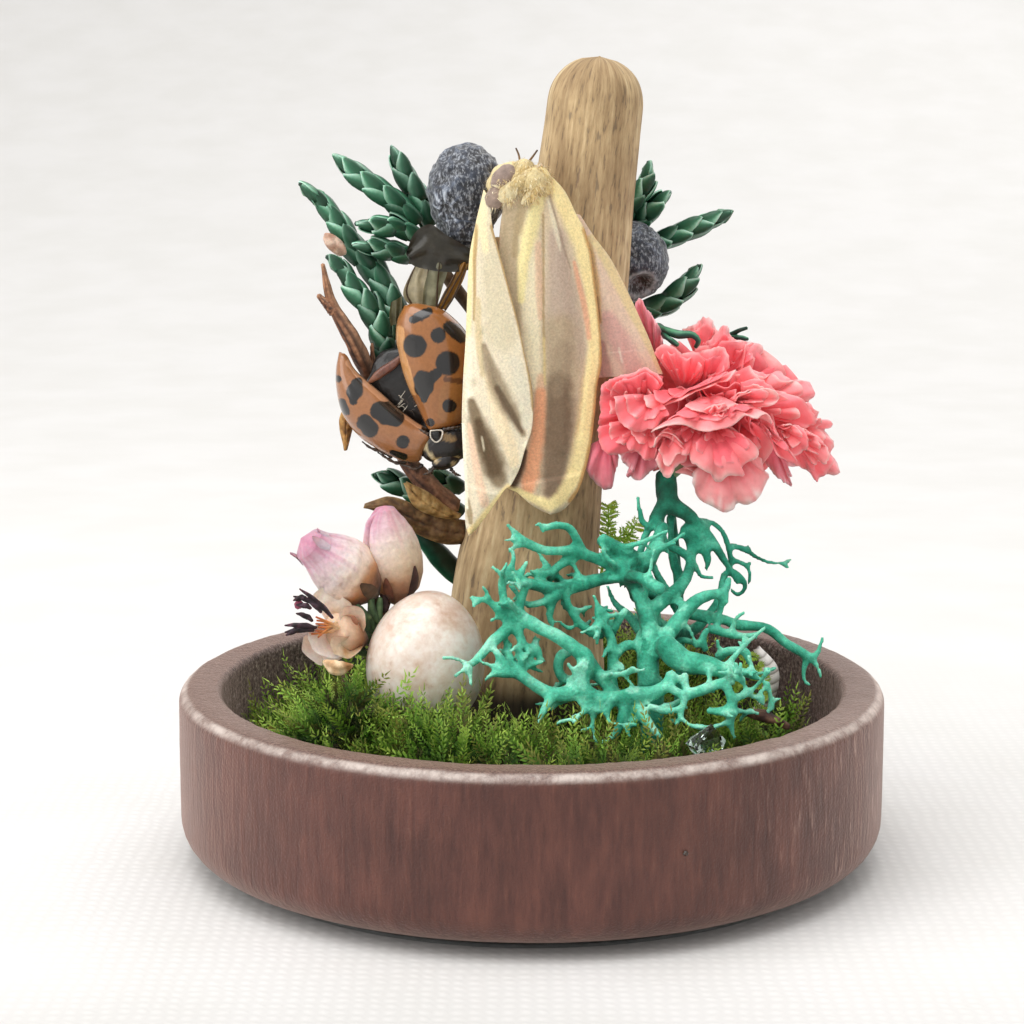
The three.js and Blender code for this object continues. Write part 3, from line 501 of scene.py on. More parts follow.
def mossShoot(name, length, leaves, leafSize, seed, fresh=1.0):  # one feathery shoot, a few dozen faces
    rng = random.Random(seed)
    points, faces, tips = [], [], []
    lean = rng.uniform(0.5, 0.75)
    curl = rng.uniform(-0.5, 0.6)
    stem = np.array([[lean * length * t, 0.1 * length * math.sin(4 * t),
                      length * (0.85 - curl) * t + length * curl * t * t]
                     for t in np.linspace(0, 1, leaves + 1)])
    tangents, across, up = frames(stem)
    for i in range(leaves):
        t = i / leaves
        size = leafSize * (1 - 0.55 * t) * rng.uniform(0.85, 1.15)
        for way in (-1, 1):
            out = tangents[i] * 0.75 + way * across[i] * 0.75 + up[i] * rng.uniform(-0.35, 0.35)
            out /= np.linalg.norm(out)
            wide = tangents[i] * size * 0.26
            start = len(points)
            points += [stem[i], stem[i] + out * size * 0.5 - wide, stem[i] + out * size,
                       stem[i] + out * size * 0.5 + wide]
            tips += [t * 0.8, t * 0.8 + 0.12, min(1, t * 0.8 + 0.3), t * 0.8 + 0.12]
            faces += [(start, start + 1, start + 2), (start, start + 2, start + 3)]
    start = len(points)
    points += [stem[-1] - tangents[-1] * leafSize * 0.2, stem[-1] + across[-1] * leafSize * 0.14,
               stem[-1] + tangents[-1] * leafSize * 0.6]
    tips += [0.8, 0.9, 1]
    faces.append((start, start + 1, start + 2))
    return meshPiece(name, points, faces, None, smooth=False,
                     attributes={"tip": [fresh * tip for tip in tips]})


def newTree(name, *inputs):  # a geometry tree with a mesh, a material and these other inputs
    tree = bpy.data.node_groups.new(name, "GeometryNodeTree")
    for label, kind in (("Geometry", "Geometry"), *inputs, ("Finish", "Material")):
        tree.interface.new_socket(label, in_out="INPUT", socket_type="NodeSocket" + kind)
    tree.interface.new_socket("Geometry", in_out="OUTPUT", socket_type="NodeSocketGeometry")
    return tree, tree.nodes.new("NodeGroupInput").outputs


def endTree(tree, placed, given):  # turns the copies into mesh and gives them their material
    real = addNode(tree, "GeometryNodeRealizeInstances", None, {0: placed.outputs[0]})
    coated = addNode(tree, "GeometryNodeSetMaterial", None, {0: real.outputs[0], "Material": given["Finish"]})
    tree.links.new(coated.outputs[0], tree.nodes.new("NodeGroupOutput").inputs[0])
    return tree


def makeScatterTree():  # shoots stand on the faces of a bed, as thick as its cover attribute says
    tree, given = newTree("mossScatter", ("Density", "Float"), ("Seed", "Int"), ("Smallest", "Float"),
                          ("Largest", "Float"), ("Lean", "Float"), ("Shoots", "Collection"))
    cover = addNode(tree, "GeometryNodeInputNamedAttribute", {"data_type": "FLOAT"}, {"Name": "cover"})
    points = addNode(tree, "GeometryNodeDistributePointsOnFaces", None, {
        "Mesh": given["Geometry"], "Density": product(tree, cover.outputs["Attribute"], given["Density"]),
        "Seed": given["Seed"]})
    lean = addNode(tree, "ShaderNodeCombineXYZ", None,
                   {0: given["Lean"], 1: given["Lean"], 2: math.pi}).outputs[0]
    back = scaled(tree, lean, -1.0)
    turn = addNode(tree, "FunctionNodeRandomValue", {"data_type": "FLOAT_VECTOR"},
                   {0: back, 1: lean, "Seed": given["Seed"]}).outputs[0]
    turned = addNode(tree, "FunctionNodeRotateEuler", {"rotation_type": "EULER", "space": "LOCAL"}, {
        0: points.outputs["Rotation"], 1: turn}).outputs[0]
    size = addNode(tree, "FunctionNodeRandomValue", {"data_type": "FLOAT"},
                   {2: given["Smallest"], 3: given["Largest"], "Seed": given["Seed"]}).outputs[1]
    kinds = addNode(tree, "GeometryNodeCollectionInfo", None, {
        0: given["Shoots"], "Separate Children": True, "Reset Children": True}).outputs[0]
    placed = addNode(tree, "GeometryNodeInstanceOnPoints", None, {
        "Points": points.outputs["Points"], "Instance": kinds, "Pick Instance": True,
        "Rotation": turned, "Scale": size})
    shade = addNode(tree, "FunctionNodeRandomValue", {"data_type": "FLOAT"}, {2: 0.0, 3: 1.0, "Seed": 5})
    shaded = addNode(tree, "GeometryNodeStoreNamedAttribute", {"data_type": "FLOAT", "domain": "INSTANCE"}, {
        "Geometry": placed.outputs[0], "Name": "shade", "Value": shade.outputs[1]})
    return endTree(tree, shaded, given)


def runTree(piece, tree, values):  # sets a tree's inputs by identifier, then keeps the result as a mesh
    modifier = piece.modifiers.new(tree.name, "NODES")
    modifier.node_group = tree
    ids = {item.name: item.identifier for item in tree.interface.items_tree if item.in_out == "INPUT"}
    for name, value in values.items():
        modifier[ids[name]] = value
    return plainMesh(piece)


def footprint(x, y):  # how bare the bed is under the things that stand in it, and in a hollow left bare as painted shade
    bare = 0.0
    for cx, cy, r in ((-0.4, 1.2, 3.5), (-4.35, -5, 1.7), (0, 5.6, 0.7), (4.85, -6.3, 0.6),
                      (7.15, -9.35, 0.9)):
        if math.hypot(x - cx, y - cy) < r:
            bare = 1.0
    # painted shade: the hollow in front of the post's foot is left bare, so the dark roots show where the
    # shade falls
    hollow = math.exp(-((x + 0.3) ** 2 + (y + 4.6) ** 2) / 4.5)
    right = 1 / (1 + math.exp(-(x - 7.6) * 1.6)) * (1 if y > -5.5 else 0.25)
    return max(0.0, 1 - max(bare, 0.95 * hollow, 0.9 * right))


def makeMoss():
    d = bedSizes
    soil = makeSoilMaterial()
    rings = [(0, d["bottom"]), (6, d["bottom"]), (12, d["bottom"]), (d["planted"], d["bottom"] + 0.6),
             (d["radius"], d["bottom"] + 1.4)]
    rings += [(d["radius"] * t, d["level"]) for t in np.linspace(1, 0, 46)]
    points, faces = lathe(rings, 160)
    for p in points:
        if p[2] > d["level"] - 0.01:
            rough = 0.22 * wobble(p, 1.3, 4) + 0.12 * wobble(p, 3.3, 8)
            p[2] = bedHeight(p[0], p[1]) - 0.55 + rough
    bed = meshPiece("mossRoots", points, faces, soil)
    place(bed, "moss", "moss_bed")
    upper = [f for f in faces
             if all(points[i][2] > d["level"] - 2.6 and math.hypot(*points[i][:2]) < d["planted"] for i in f)
             and len(f) == 4]
    used = sorted({i for f in upper for i in f})
    renumber = {old: new for new, old in enumerate(used)}
    finish = makeMossMaterial()
    layers = [  # length, leaves, their length, freshness, count, smallest, largest, lean, patchiness, seed
        ("mossUnderlayer", 1.0, 7, 0.34, 0.62, 5600, 0.6, 1.1, 0.9, 0.0, 7),
        ("mossTopGrowth", 2.0, 13, 0.44, 1.0, 5000, 0.6, 1.35, 0.6, 1.0, 8)]
    for name, length, leaves, leafSize, fresh, count, smallest, largest, lean, patchy, seed in layers:
        cover = []
        for i in used:
            x, y = points[i][0], points[i][1]
            patch = 0.45 + 1.7 * wobble((x, y, 0), 0.42, 2) + 1.3 * wobble((x, y, 0), 1.1, 5)
            lush = (1.2 * math.exp(-((x + 7.4) ** 2 + (y + 7) ** 2) / 9)
                    + 0.4 * math.exp(-((x + 2.5) ** 2 + (y + 10) ** 2) / 9))
            cover.append(footprint(x, y) * ((1 - patchy) + patchy * min(1.3, max(0.02, patch + lush))))
        kinds = bpy.data.collections.new(name + "Shoots")
        for number in range(3):
            shoot = mossShoot(name + str(number), length * (0.85 + 0.15 * number), leaves, leafSize,
                              seed + 3 * number,
                              fresh)
            bpy.context.collection.objects.unlink(shoot)
            kinds.objects.link(shoot)
        carpet = meshPiece(name, [points[i] for i in used],
                           [tuple(renumber[i] for i in f) for f in upper], None,
                           attributes={"cover": cover})
        area = math.pi * d["planted"] ** 2 * mm * mm
        runTree(carpet, makeScatterTree(), {
            "Density": count / area * 1.2, "Seed": seed, "Smallest": smallest, "Largest": largest,
            "Lean": lean,
            "Shoots": kinds, "Finish": finish})
        spots = np.empty(len(carpet.data.vertices) * 3)
        carpet.data.vertices.foreach_get("co", spots)
        spots = spots.reshape(-1, 3)
        away = np.maximum(np.hypot(spots[:, 0], spots[:, 1]), 1e-6)
        # the shoots press against the dish's wall, and lean out a little above it
        limit = np.where(spots[:, 2] < dishSizes["height"] * mm, 13.12 * mm, 13.5 * mm)
        spots[:, :2] *= np.minimum(1, limit / away)[:, None]
        carpet.data.vertices.foreach_set("co", spots.ravel())
        print("moss triangles", countTriangles(carpet))
        place(carpet, "moss")
        for shoot in list(kinds.objects):
            bpy.data.objects.remove(shoot)
        bpy.data.collections.remove(kinds)


makeMoss()
print("moss done")


# driftwood post

postSizes = {
    "route": [(-0.5, 1.2, 2.2), (-0.25, 1.2, 10.7), (0.1, 1.1, 13.8), (0.7, 1.05, 18.5),
              (1.6, 1, 23.6), (2.55, 0.8, 31.2), (2.8, 0.8, 33.75)],
    "radii": [3.6, 3.55, 3.45, 3.2, 2.85, 2.66, 2.62, 2.5, 2.3, 2.1, 2.0, 1.96],
    "sides": 120, "steps": 260, "tip": 0.065, "grooves": 0.05}


def makeDriftwoodMaterial():
    # Weathered softwood stick: tan early wood, darker dashed late-wood lines and pale worn ridges
    material, tree, shader = newMaterial("weatheredDriftwood", {"Roughness": 0.78, "IOR": 1.45})
    grain = pointValue(tree, "grain", "Vector")
    long = stretched(tree, grain, (1, 1, 0.07))
    dash = stretched(tree, grain, (1, 1, 0.22))
    bands = noiseAt(tree, long, 1.5, 5.0, 0.6)
    dashes = noiseAt(tree, dash, 5.5, 3.0, 0.6)
    blotch = noiseAt(tree, grain, 0.32, 3.0, 0.6)
    base = ramp(tree, bands, [(0.3, "#8e7e68"), (0.45, "#aa997f"), (0.58, "#bdae94"), (0.72, "#d5c8b0")])
    marks = ramp(tree, dashes, [(0.34, "#5f4a30"), (0.42, "#c2ae8c"), (0.56, "#d8cab0"), (0.72, "#f2e8d4")])
    lined = mixColours(tree, 0.5, base, marks, "OVERLAY")
    age = ramp(tree, blotch, [(0.35, "#b8a894"), (0.65, "#fffaf0")])
    worn = mixColours(tree, 0.65, lined, age, "MULTIPLY")
    # painted shade: the foot is darkened to near black where it stands in shadow down in the moss
    height = addNode(tree, "ShaderNodeSeparateXYZ", None,
                     {0: objectCoords(tree)}).outputs[2]
    postFootShade = remap(tree, height, 0.0068, 0.0081, 0.1, 1.12, smooth=True)
    postFootShaded = scaled(tree, worn, postFootShade)
    tree.links.new(postFootShaded, shader.inputs["Base Color"])
    addBump(tree, shader, dashes, 0.55, 0.00012)
    return material


def makePost():
    d = postSizes
    path = pathPoints(d["route"], d["steps"])
    length = np.linalg.norm(np.diff(path, axis=0), axis=1).sum()

    def ripple(t, angle):
        into = min(max((t - 1 + d["tip"]) / d["tip"], 0), 1)
        tip = max(0.03, (1 - into ** 2.3) ** 0.48)
        around = Vector((math.cos(angle) * 2.2, math.sin(angle) * 2.2, t * 1.7))
        groove = noise.noise(around * 1.9) * 0.6 + noise.noise(around * 4.1) * 0.4
        lump = noise.noise(Vector((math.cos(angle), math.sin(angle), t * 3.4)) * 1.2)
        return tip * (1 + d["grooves"] * 0.45 * groove + 0.03 * lump)

    points, faces, along, angles = sweep(d["route"], d["radii"], d["sides"], d["steps"], ripple)
    grain = np.stack([np.cos(angles) * 2.6, np.sin(angles) * 2.6, along * length], axis=1)
    piece = meshPiece("driftwoodPost", points, faces, makeDriftwoodMaterial(), attributes={"grain": grain})
    place(piece, "driftwood", "driftwood_post")


makePost()


# pebble

pebbleSizes = {"centre": (-4.35, -5, 9.45), "width": 2.53, "height": 2.9, "lean": 0.12}


def makePebble():
    # Tumbled speckled limestone, polished: cream with tan and rosy blotches under a soft gloss
    material, tree, shader = newMaterial("tumbledPebble", {
        "Roughness": 0.28, "IOR": 1.5, "Subsurface Weight": 0.1, "Subsurface Scale": 0.0006,
        "Coat Weight": 0.25, "Coat Roughness": 0.12})
    coords = objectCoords(tree)
    blotch = noiseAt(tree, coords, 620.0, 5.0, 0.62, distortion=0.6)
    fine = noiseAt(tree, coords, 2600.0, 3.0, 0.6)
    ground = ramp(tree, blotch, [(0.36, "#efe5db"), (0.5, "#e8dbd0"), (0.62, "#dcc6b6"), (0.76, "#c7a48c")])
    specks = ramp(tree, fine, [(0.4, "#ffffff"), (0.62, "#efe2d8"), (0.74, "#d3b8a4")])
    mixed = mixColours(tree, 0.7, ground, specks, "MULTIPLY")
    tree.links.new(mixed, shader.inputs["Base Color"])
    addBump(tree, shader, fine, 0.08, 0.00008)
    d = pebbleSizes
    angles = np.linspace(0, math.pi, 72)
    profile = [(math.sin(a) * d["width"] * (1 - 0.045 * (1 - math.cos(a))), -math.cos(a) * d["height"])
               for a in angles]
    profile[0] = (0, profile[0][1])
    profile[-1] = (0, profile[-1][1])
    points, faces = lathe(profile, 110)
    for p in points:
        p *= 1 + 0.02 * wobble(p, 0.35, 6) + 0.004 * wobble(p, 1.6, 2)
    lean = Matrix.Rotation(d["lean"], 3, "Y")
    points = np.array([lean @ Vector(p) for p in points]) + np.array(d["centre"])
    piece = meshPiece("eggPebble", points, faces, material)
    place(piece, "pebble", "egg_pebble")


makePebble()
print("post and pebble done")


# painted patterns and small copies

def nearness(flat, path, widths):  # distance from a stroke's middle line over its half width there
    path, widths = np.asarray(path, float), np.asarray(widths, float)
    if len(path) == 1:
        return np.linalg.norm(flat - path[0], axis=1) / widths[0]
    best = np.full(len(flat), 1e9)
    for (a, b), (wa, wb) in zip(zip(path, path[1:]), zip(widths, widths[1:])):
        t = np.clip(((flat - a) @ (b - a)) / max((b - a) @ (b - a), 1e-12), 0, 1)
        gap = np.linalg.norm(flat - (a + t[:, None] * (b - a)), axis=1)
        best = np.minimum(best, gap / (wa + t * (wb - wa)))
    return best


# strokes are (colour, path in x and z, half widths, strength)
def paint(points, ground, strokes, soft, ragged):
    points = np.asarray(points, float)
    flat = points[:, [0, 2]]
    tint = flatColour(ground, points)
    shake = wobbles(points, 3.5, 1.3) * ragged if ragged else 0
    for code, path, widths, strength in strokes:
        d = np.clip((1 + soft - nearness(flat, path, widths) + shake) / (2 * soft), 0, 1)
        amount = (d * d * (3 - 2 * d) * strength)[:, None]
        tint = blend(tint, code, amount)
    return tint


def blendColours(codes, stops, values):  # rows of linear colour for values between the stops
    colours = np.array([hexColour(code) for code in codes])
    return np.stack([np.interp(values, stops, colours[:, i]) for i in range(4)], axis=1)


def tintedMaterial(name, values, speckle, low=0.82, high=1.12, bump=0.25, depth=0.00004):
    material, tree, shader = newMaterial(name, values)
    tint = pointValue(tree, "tint", "Color")
    coords = objectCoords(tree)
    dust = noiseAt(tree, coords, speckle, 3.0, 0.65)
    shade = remap(tree, dust, 0.3, 0.7, low, high)
    colour = scaled(tree, tint, shade)
    tree.links.new(colour, shader.inputs["Base Color"])
    addBump(tree, shader, dust, bump, depth)
    return material


def addFlecks(material, code, values):  # noise flecks of a second colour, mixed over the first
    tree = material.node_tree
    colour = tree.nodes["Principled BSDF"].inputs["Base Color"]
    under = colour.links[0].from_socket
    coords = objectCoords(tree)
    pulled = stretched(tree, coords, values["stretch"])
    spots = noiseAt(tree, pulled, values["scale"], 3.0, 0.6)
    share = remap(tree, spots, values["start"], values["full"], 0.0, values["most"])
    mixed = mixColours(tree, share, under, hexColour(code))
    tree.links.new(mixed, colour)


def makeCopyTree():  # puts one shape on every point, turned and sized by the points' own attributes
    tree, given = newTree("placedCopies", ("Shape", "Object"))
    turn = addNode(tree, "GeometryNodeInputNamedAttribute", {"data_type": "FLOAT_VECTOR"}, {"Name": "turn"})
    size = addNode(tree, "GeometryNodeInputNamedAttribute", {"data_type": "FLOAT_VECTOR"}, {"Name": "size"})
    shape = addNode(tree, "GeometryNodeObjectInfo", None, {0: given["Shape"]}).outputs["Geometry"]
    points = addNode(tree, "GeometryNodeMeshToPoints", None, {"Mesh": given["Geometry"]}).outputs[0]
    placed = addNode(tree, "GeometryNodeInstanceOnPoints", None, {
        "Points": points, "Instance": shape, "Rotation": turn.outputs[0],
        "Scale": size.outputs[0]})
    return endTree(tree, placed, given)


copyTree = makeCopyTree()


def axesEuler(side, out, along):  # the turn that takes X, Y and Z to these three directions
    return tuple(Matrix((side, out, along)).transposed().to_euler())


def placeCopies(name, shape, spots, finish):  # spots are (place, turn, size, shade)
    spotsMesh = meshPiece(name, [s[0] for s in spots], [], None, attributes={
        "turn": [s[1] for s in spots], "size": [s[2] for s in spots], "shade": [s[3] for s in spots]})
    runTree(spotsMesh, copyTree, {"Shape": shape, "Finish": finish})
    spotsMesh.data.polygons.foreach_set("use_smooth", [True] * len(spotsMesh.data.polygons))
    return spotsMesh


# moth

mothSizes = {
    "leftOuter": [(-1.97, -1.9, 28.41), (-2.3, -1.95, 27.03), (-2.53, -2, 25.89), (-2.62, -2.05, 24.75),
                  (-2.72, -2.3, 22.32), (-2.82, -2.5, 20.81), (-2.88, -2.7, 19.1), (-2.83, -2.85, 17.67),
                  (-2.76, -2.95, 16.52), (-2.75, -3, 15.65), (-2.73, -3.1, 14.79), (-2.6, -3.15, 14.34)],
    "leftInner": [(-1.72, -2.5, 28.04), (-1.64, -2.85, 27.09), (-1.44, -3, 26.29), (-1.15, -3.15, 25.26),
                  (-0.87, -3.25, 24.21), (-0.64, -3.32, 23.37), (-0.42, -3.37, 22.43), (-0.3, -3.4, 21.79),
                  (-0.07, -3.42, 20.77), (0.02, -3.43, 20.07), (0.02, -3.45, 19.21), (-0.06, -3.47, 18.64),
                  (-0.3, -3.48, 17.94), (-0.52, -3.48, 17.19), (-0.87, -3.46, 16.48), (-1.1, -3.44, 16.31),
                  (-1.45, -3.38, 15.82), (-1.9, -3.3, 15.16), (-2.31, -3.2, 14.62), (-2.6, -3.15, 14.34)],
    "rightInner": [(-0.99, -2.5, 28.76), (-1.32, -2.6, 26.83), (-1.36, -2.7, 24.81), (-1.2, -2.75, 22.78),
                   (-0.99, -2.85, 20.73), (-0.99, -2.95, 18.68), (-1.2, -3, 17.24), (-1.08, -3.08, 16.38),
                   (-0.64, -3.14, 16.14), (-0.17, -3.18, 15.73), (0.28, -3.2, 15.44), (0.75, -3.2, 15.23)],
    "rightOuter": [(0.34, -2.3, 29.51), (0.73, -2.1, 29.02), (1.33, -1.98, 28.33), (1.82, -1.95, 27.35),
                   (2.11, -1.95, 26.87), (2.36, -2, 25.97), (2.5, -2.05, 25.08), (2.67, -2.15, 23.74),
                   (2.8, -2.3, 22.52), (2.84, -2.45, 21.39), (2.68, -2.6, 20.54), (2.58, -2.75, 19.4),
                   (2.45, -2.88, 18.26), (2.25, -2.97, 17.27), (1.97, -3.05, 16.35), (1.62, -3.12, 15.77),
                   (1.21, -3.18, 15.38), (0.75, -3.2, 15.23)],
    "hindInner": [(1.2, -1.86, 27.6), (1.6, -1.88, 25.97), (1.9, -1.92, 23.92), (2.2, -1.97, 21.87),
                  (2.7, -2.02, 20.72)],
    "hindOuter": [(1.95, -1.8, 27.39), (2.57, -1.76, 26.45), (3.15, -1.74, 25.69), (3.63, -1.74, 24.83),
                  (4.03, -1.76, 24.03), (4.43, -1.78, 23.17), (4.85, -1.83, 22.24), (5.15, -1.86, 21.44),
                  (5.39, -1.9, 20.86)],
    "leftHindOuter": [(-2, -1.72, 26.5), (-2.35, -1.85, 23), (-2.5, -2.05, 19.5), (-2.2, -2.3, 17)],
    "leftHindInner": [(-1, -1.95, 26.5), (-0.9, -2.1, 23), (-0.9, -2.2, 19.5), (-1.4, -2.35, 17)],
    "thickness": 0.05}
wingStrokes = {
    "right": [
        ("#b3a080", [(-0.83, 27.44), (-0.95, 26.03), (-0.91, 24.41), (-0.75, 22.78)],
         [0.38, 0.47, 0.42, 0.25], 0.8),
        ("#a28e68", [(-0.38, 28.05), (-0.55, 26.92), (-0.71, 25.83)], [0.17, 0.21, 0.13], 0.6),
        ("#ead9b8", [(-0.22, 26.44), (-0.1, 24.62), (-0.02, 22.79), (0.07, 21.57), (0.19, 20.56)],
         [0.3, 0.34, 0.36, 0.34, 0.21], 0.9),
        ("#ecd9a0",
         [(0.55, 29.15), (0.34, 28.36), (0.1, 27.48), (-0.14, 26.64), (-0.38, 25.55), (-0.46, 24.01)],
         [0.21, 0.23, 0.27, 0.3, 0.21, 0.13], 1),
        ("#dcae90", [(0.22, 26.23), (0.29, 24.42), (0.31, 23.28)], [0.13, 0.17, 0.09], 0.6),
        ("#ab9688", [(0.96, 26.62), (1.12, 24.81), (1.29, 23.18), (1.37, 21.97)],
         [0.34, 0.55, 0.72, 0.8], 0.75),
        ("#aa967a", [(1.13, 22.78), (1.21, 21.37), (1.21, 19.95), (1.05, 18.32)],
         [0.68, 0.72, 0.68, 0.55], 0.85),
        ("#6a5744", [(1.08, 20.6), (1.05, 18.9), (0.93, 17.29), (0.83, 16.25)], [0.5, 0.66, 0.6, 0.42], 0.9),
        ("#8d7a63", [(1.25, 21.97), (1.13, 20.96), (0.97, 20.28)], [0.38, 0.38, 0.25], 0.5),
        ("#d6a988", [(0.35, 20.85), (0.35, 20.15)], [0.17, 0.21], 0.8),
        ("#dc9a74",
         [(0.35, 20.24), (0.29, 19.34), (0.21, 18.44), (0.07, 17.58), (-0.09, 16.8), (-0.17, 16.26)],
         [0.21, 0.25, 0.27, 0.32, 0.36, 0.25], 0.95),
        ("#f0d79c", [(0.79, 28.71), (1.41, 27.57), (1.98, 26.31), (2.32, 24.68), (2.49, 23.22), (2.55, 22.05),
                     (2.36, 20.55), (2.22, 19.17), (2.02, 17.91), (1.72, 16.76), (1.22, 15.97), (0.73, 15.64),
                     (0.2, 15.83), (-0.46, 16.13), (-0.91, 16.34)],
         [0.21, 0.34, 0.34, 0.25, 0.21, 0.25, 0.32, 0.34, 0.36, 0.32, 0.27, 0.23, 0.19, 0.15, 0.13], 0.95),
        ("#b58a52", [(2.11, 26.79), (2.4, 25.89), (2.52, 25), (2.69, 23.7), (2.82, 22.44), (2.82, 21.39),
                     (2.66, 20.46), (2.56, 19.4), (2.41, 18.18), (2.21, 17.24), (1.93, 16.29), (1.55, 15.77)],
         [0.1] * 12, 0.9),
        ("#dba080", [(1.7, 25.51), (1.9, 24.62), (2.11, 23.8), (2.24, 23.07), (2.32, 22.42)],
         [0.07, 0.1, 0.12, 0.11, 0.09], 0.85),
        ("#9b8156", [(0.43, 27.44), (0.45, 25.55), (0.45, 23.6), (0.47, 22.39)], [0.05] * 4, 0.75),
        ("#cdb37c", [(0.47, 22.47), (0.5, 21.37), (0.52, 20.56)], [0.06, 0.06, 0.05], 0.8),
        ("#e8dcbf", [(0.63, 28.03), (0.96, 26.74), (1.12, 26.02)], [0.06, 0.09, 0.04], 0.6),
        ("#8b7765", [(0.67, 28.23), (1, 27.14), (1.29, 26.01), (1.53, 25.28)], [0.05, 0.05, 0.05, 0.03], 0.6),
        # a dark cell of the wing, darkened into painted shadow along the edge of the left forewing lying over
        # it
        ("#47372a", [(-0.28, 17.85), (-0.5, 17.15), (-0.75, 16.48)], [0.09, 0.21, 0.17], 0.95)],
    "left": [
        ("#cabd9f", [(-1.88, 27.44), (-1.72, 26.04), (-1.52, 24.43), (-1.28, 22.62)],
         [0.25, 0.38, 0.51, 0.64], 0.7),
        ("#eedaa6",
         [(-2.09, 27.88), (-2.34, 26.55), (-2.51, 25.49), (-2.57, 24.27), (-2.63, 22.73), (-2.72, 21.1)],
         [0.14, 0.15, 0.15, 0.14, 0.13, 0.11], 0.95),
        ("#a98750", [(-2.24, 26.96), (-2.34, 25.67), (-2.34, 24.29), (-2.38, 23.16)],
         [0.08, 0.08, 0.07, 0.05], 0.8),
        ("#ead9ae", [(-1.97, 28.33), (-2.05, 27.14), (-1.88, 26.03)], [0.17, 0.21, 0.13], 0.8),
        ("#c9b285", [(-2.22, 23.98), (-2.18, 22.36), (-2.01, 20.95)], [0.13, 0.15, 0.11], 0.7),
        ("#f1e2ca", [(-2.55, 22.33), (-2.55, 20.71), (-2.55, 19.41)], [0.21, 0.25, 0.17], 0.7),
        ("#ebd3ae", [(-1.81, 20.96), (-1.52, 19.88), (-1.2, 18.87), (-0.87, 17.98), (-0.75, 17.44)],
         [0.17, 0.25, 0.3, 0.3, 0.21], 0.8),
        # grey-brown band of the wing, widened and darkened as painted shade over the lower wing
        ("#8c7b61",
         [(-1.97, 22.13), (-1.73, 21.33), (-1.4, 20.49), (-1.03, 19.77), (-0.67, 19.21), (-0.38, 18.59)],
         [0.12, 0.26, 0.36, 0.36, 0.27, 0.13], 0.85),
        # grey-brown band of the wing, widened and darkened as painted shade over the lower wing
        ("#665541", [(-1.44, 20.45), (-1.03, 19.73), (-0.67, 19.12), (-0.42, 18.68)],
         [0.12, 0.17, 0.14, 0.07], 0.9),
        ("#d6ccb6", [(-0.71, 21.53), (-0.42, 20.6), (-0.26, 19.78), (-0.26, 18.96)],
         [0.25, 0.27, 0.25, 0.17], 0.7),
        # grey-brown band of the wing, widened and darkened as painted shade over the lower wing
        ("#7c6c53", [(-2.49, 19.82), (-2.22, 18.94), (-1.89, 18.11), (-1.61, 17.34), (-1.36, 16.65)],
         [0.16, 0.36, 0.52, 0.56, 0.34], 0.95),
        ("#55442f", [(-2.22, 19.03), (-1.89, 18.03), (-1.53, 17.1)], [0.16, 0.3, 0.32], 0.85),
        ("#cdbfa4", [(-2.06, 18.38), (-1.98, 17.9)], [0.04, 0.04], 0.8),
        ("#e8c3a6", [(-2.57, 18.88), (-2.39, 17.79), (-2.18, 16.66), (-1.94, 15.73)],
         [0.09, 0.13, 0.17, 0.19], 0.85),
        ("#94825f", [(-2.64, 15.79), (-2.56, 15.23), (-2.52, 14.88)], [0.09, 0.13, 0.09], 0.85),
        ("#efd498", [(-0.99, 16.4), (-1.4, 15.89), (-1.86, 15.3), (-2.23, 14.78), (-2.56, 14.51)],
         [0.13, 0.14, 0.17, 0.17, 0.13], 0.95),
        ("#f2e9d2", [(-2.84, 18.86), (-2.76, 17.1), (-2.68, 15.46)], [0.09, 0.09, 0.07], 0.9),
        ("#a58857",
         [(-1.64, 27.01), (-1.4, 26.21), (-1.11, 25.18), (-0.83, 24.13), (-0.59, 23.24), (-0.38, 22.31),
                     (-0.22, 21.54), (-0.05, 20.6), (0.05, 19.6)], [0.08] * 9, 0.9)],
    "hind": [
        ("#dba9a2", [(3.11, 23.18), (3.7, 22.07), (4.2, 21.12)], [0.3, 0.47, 0.38], 0.7),
        ("#b88a80", [(2.87, 22.08), (3.04, 20.88)], [0.17, 0.25], 0.7),
        ("#e6c389", [(2.28, 26.37), (2.61, 24.54), (2.78, 23.02)], [0.17, 0.17, 0.09], 0.85),
        ("#ecd7a8", [(2.44, 26.45), (3.06, 25.47), (3.56, 24.53), (4.02, 23.66), (4.48, 22.76), (4.9, 21.85),
                     (5.27, 20.99)], [0.15, 0.19, 0.21, 0.21, 0.17, 0.13, 0.09], 0.95),
        ("#a8825a", [(2.66, 24.01), (2.78, 23.02)], [0.07, 0.06], 0.7),
        ("#f4ead8", [(3.57, 21.95), (3.7, 21.37)], [0.04, 0.04], 0.7)]}
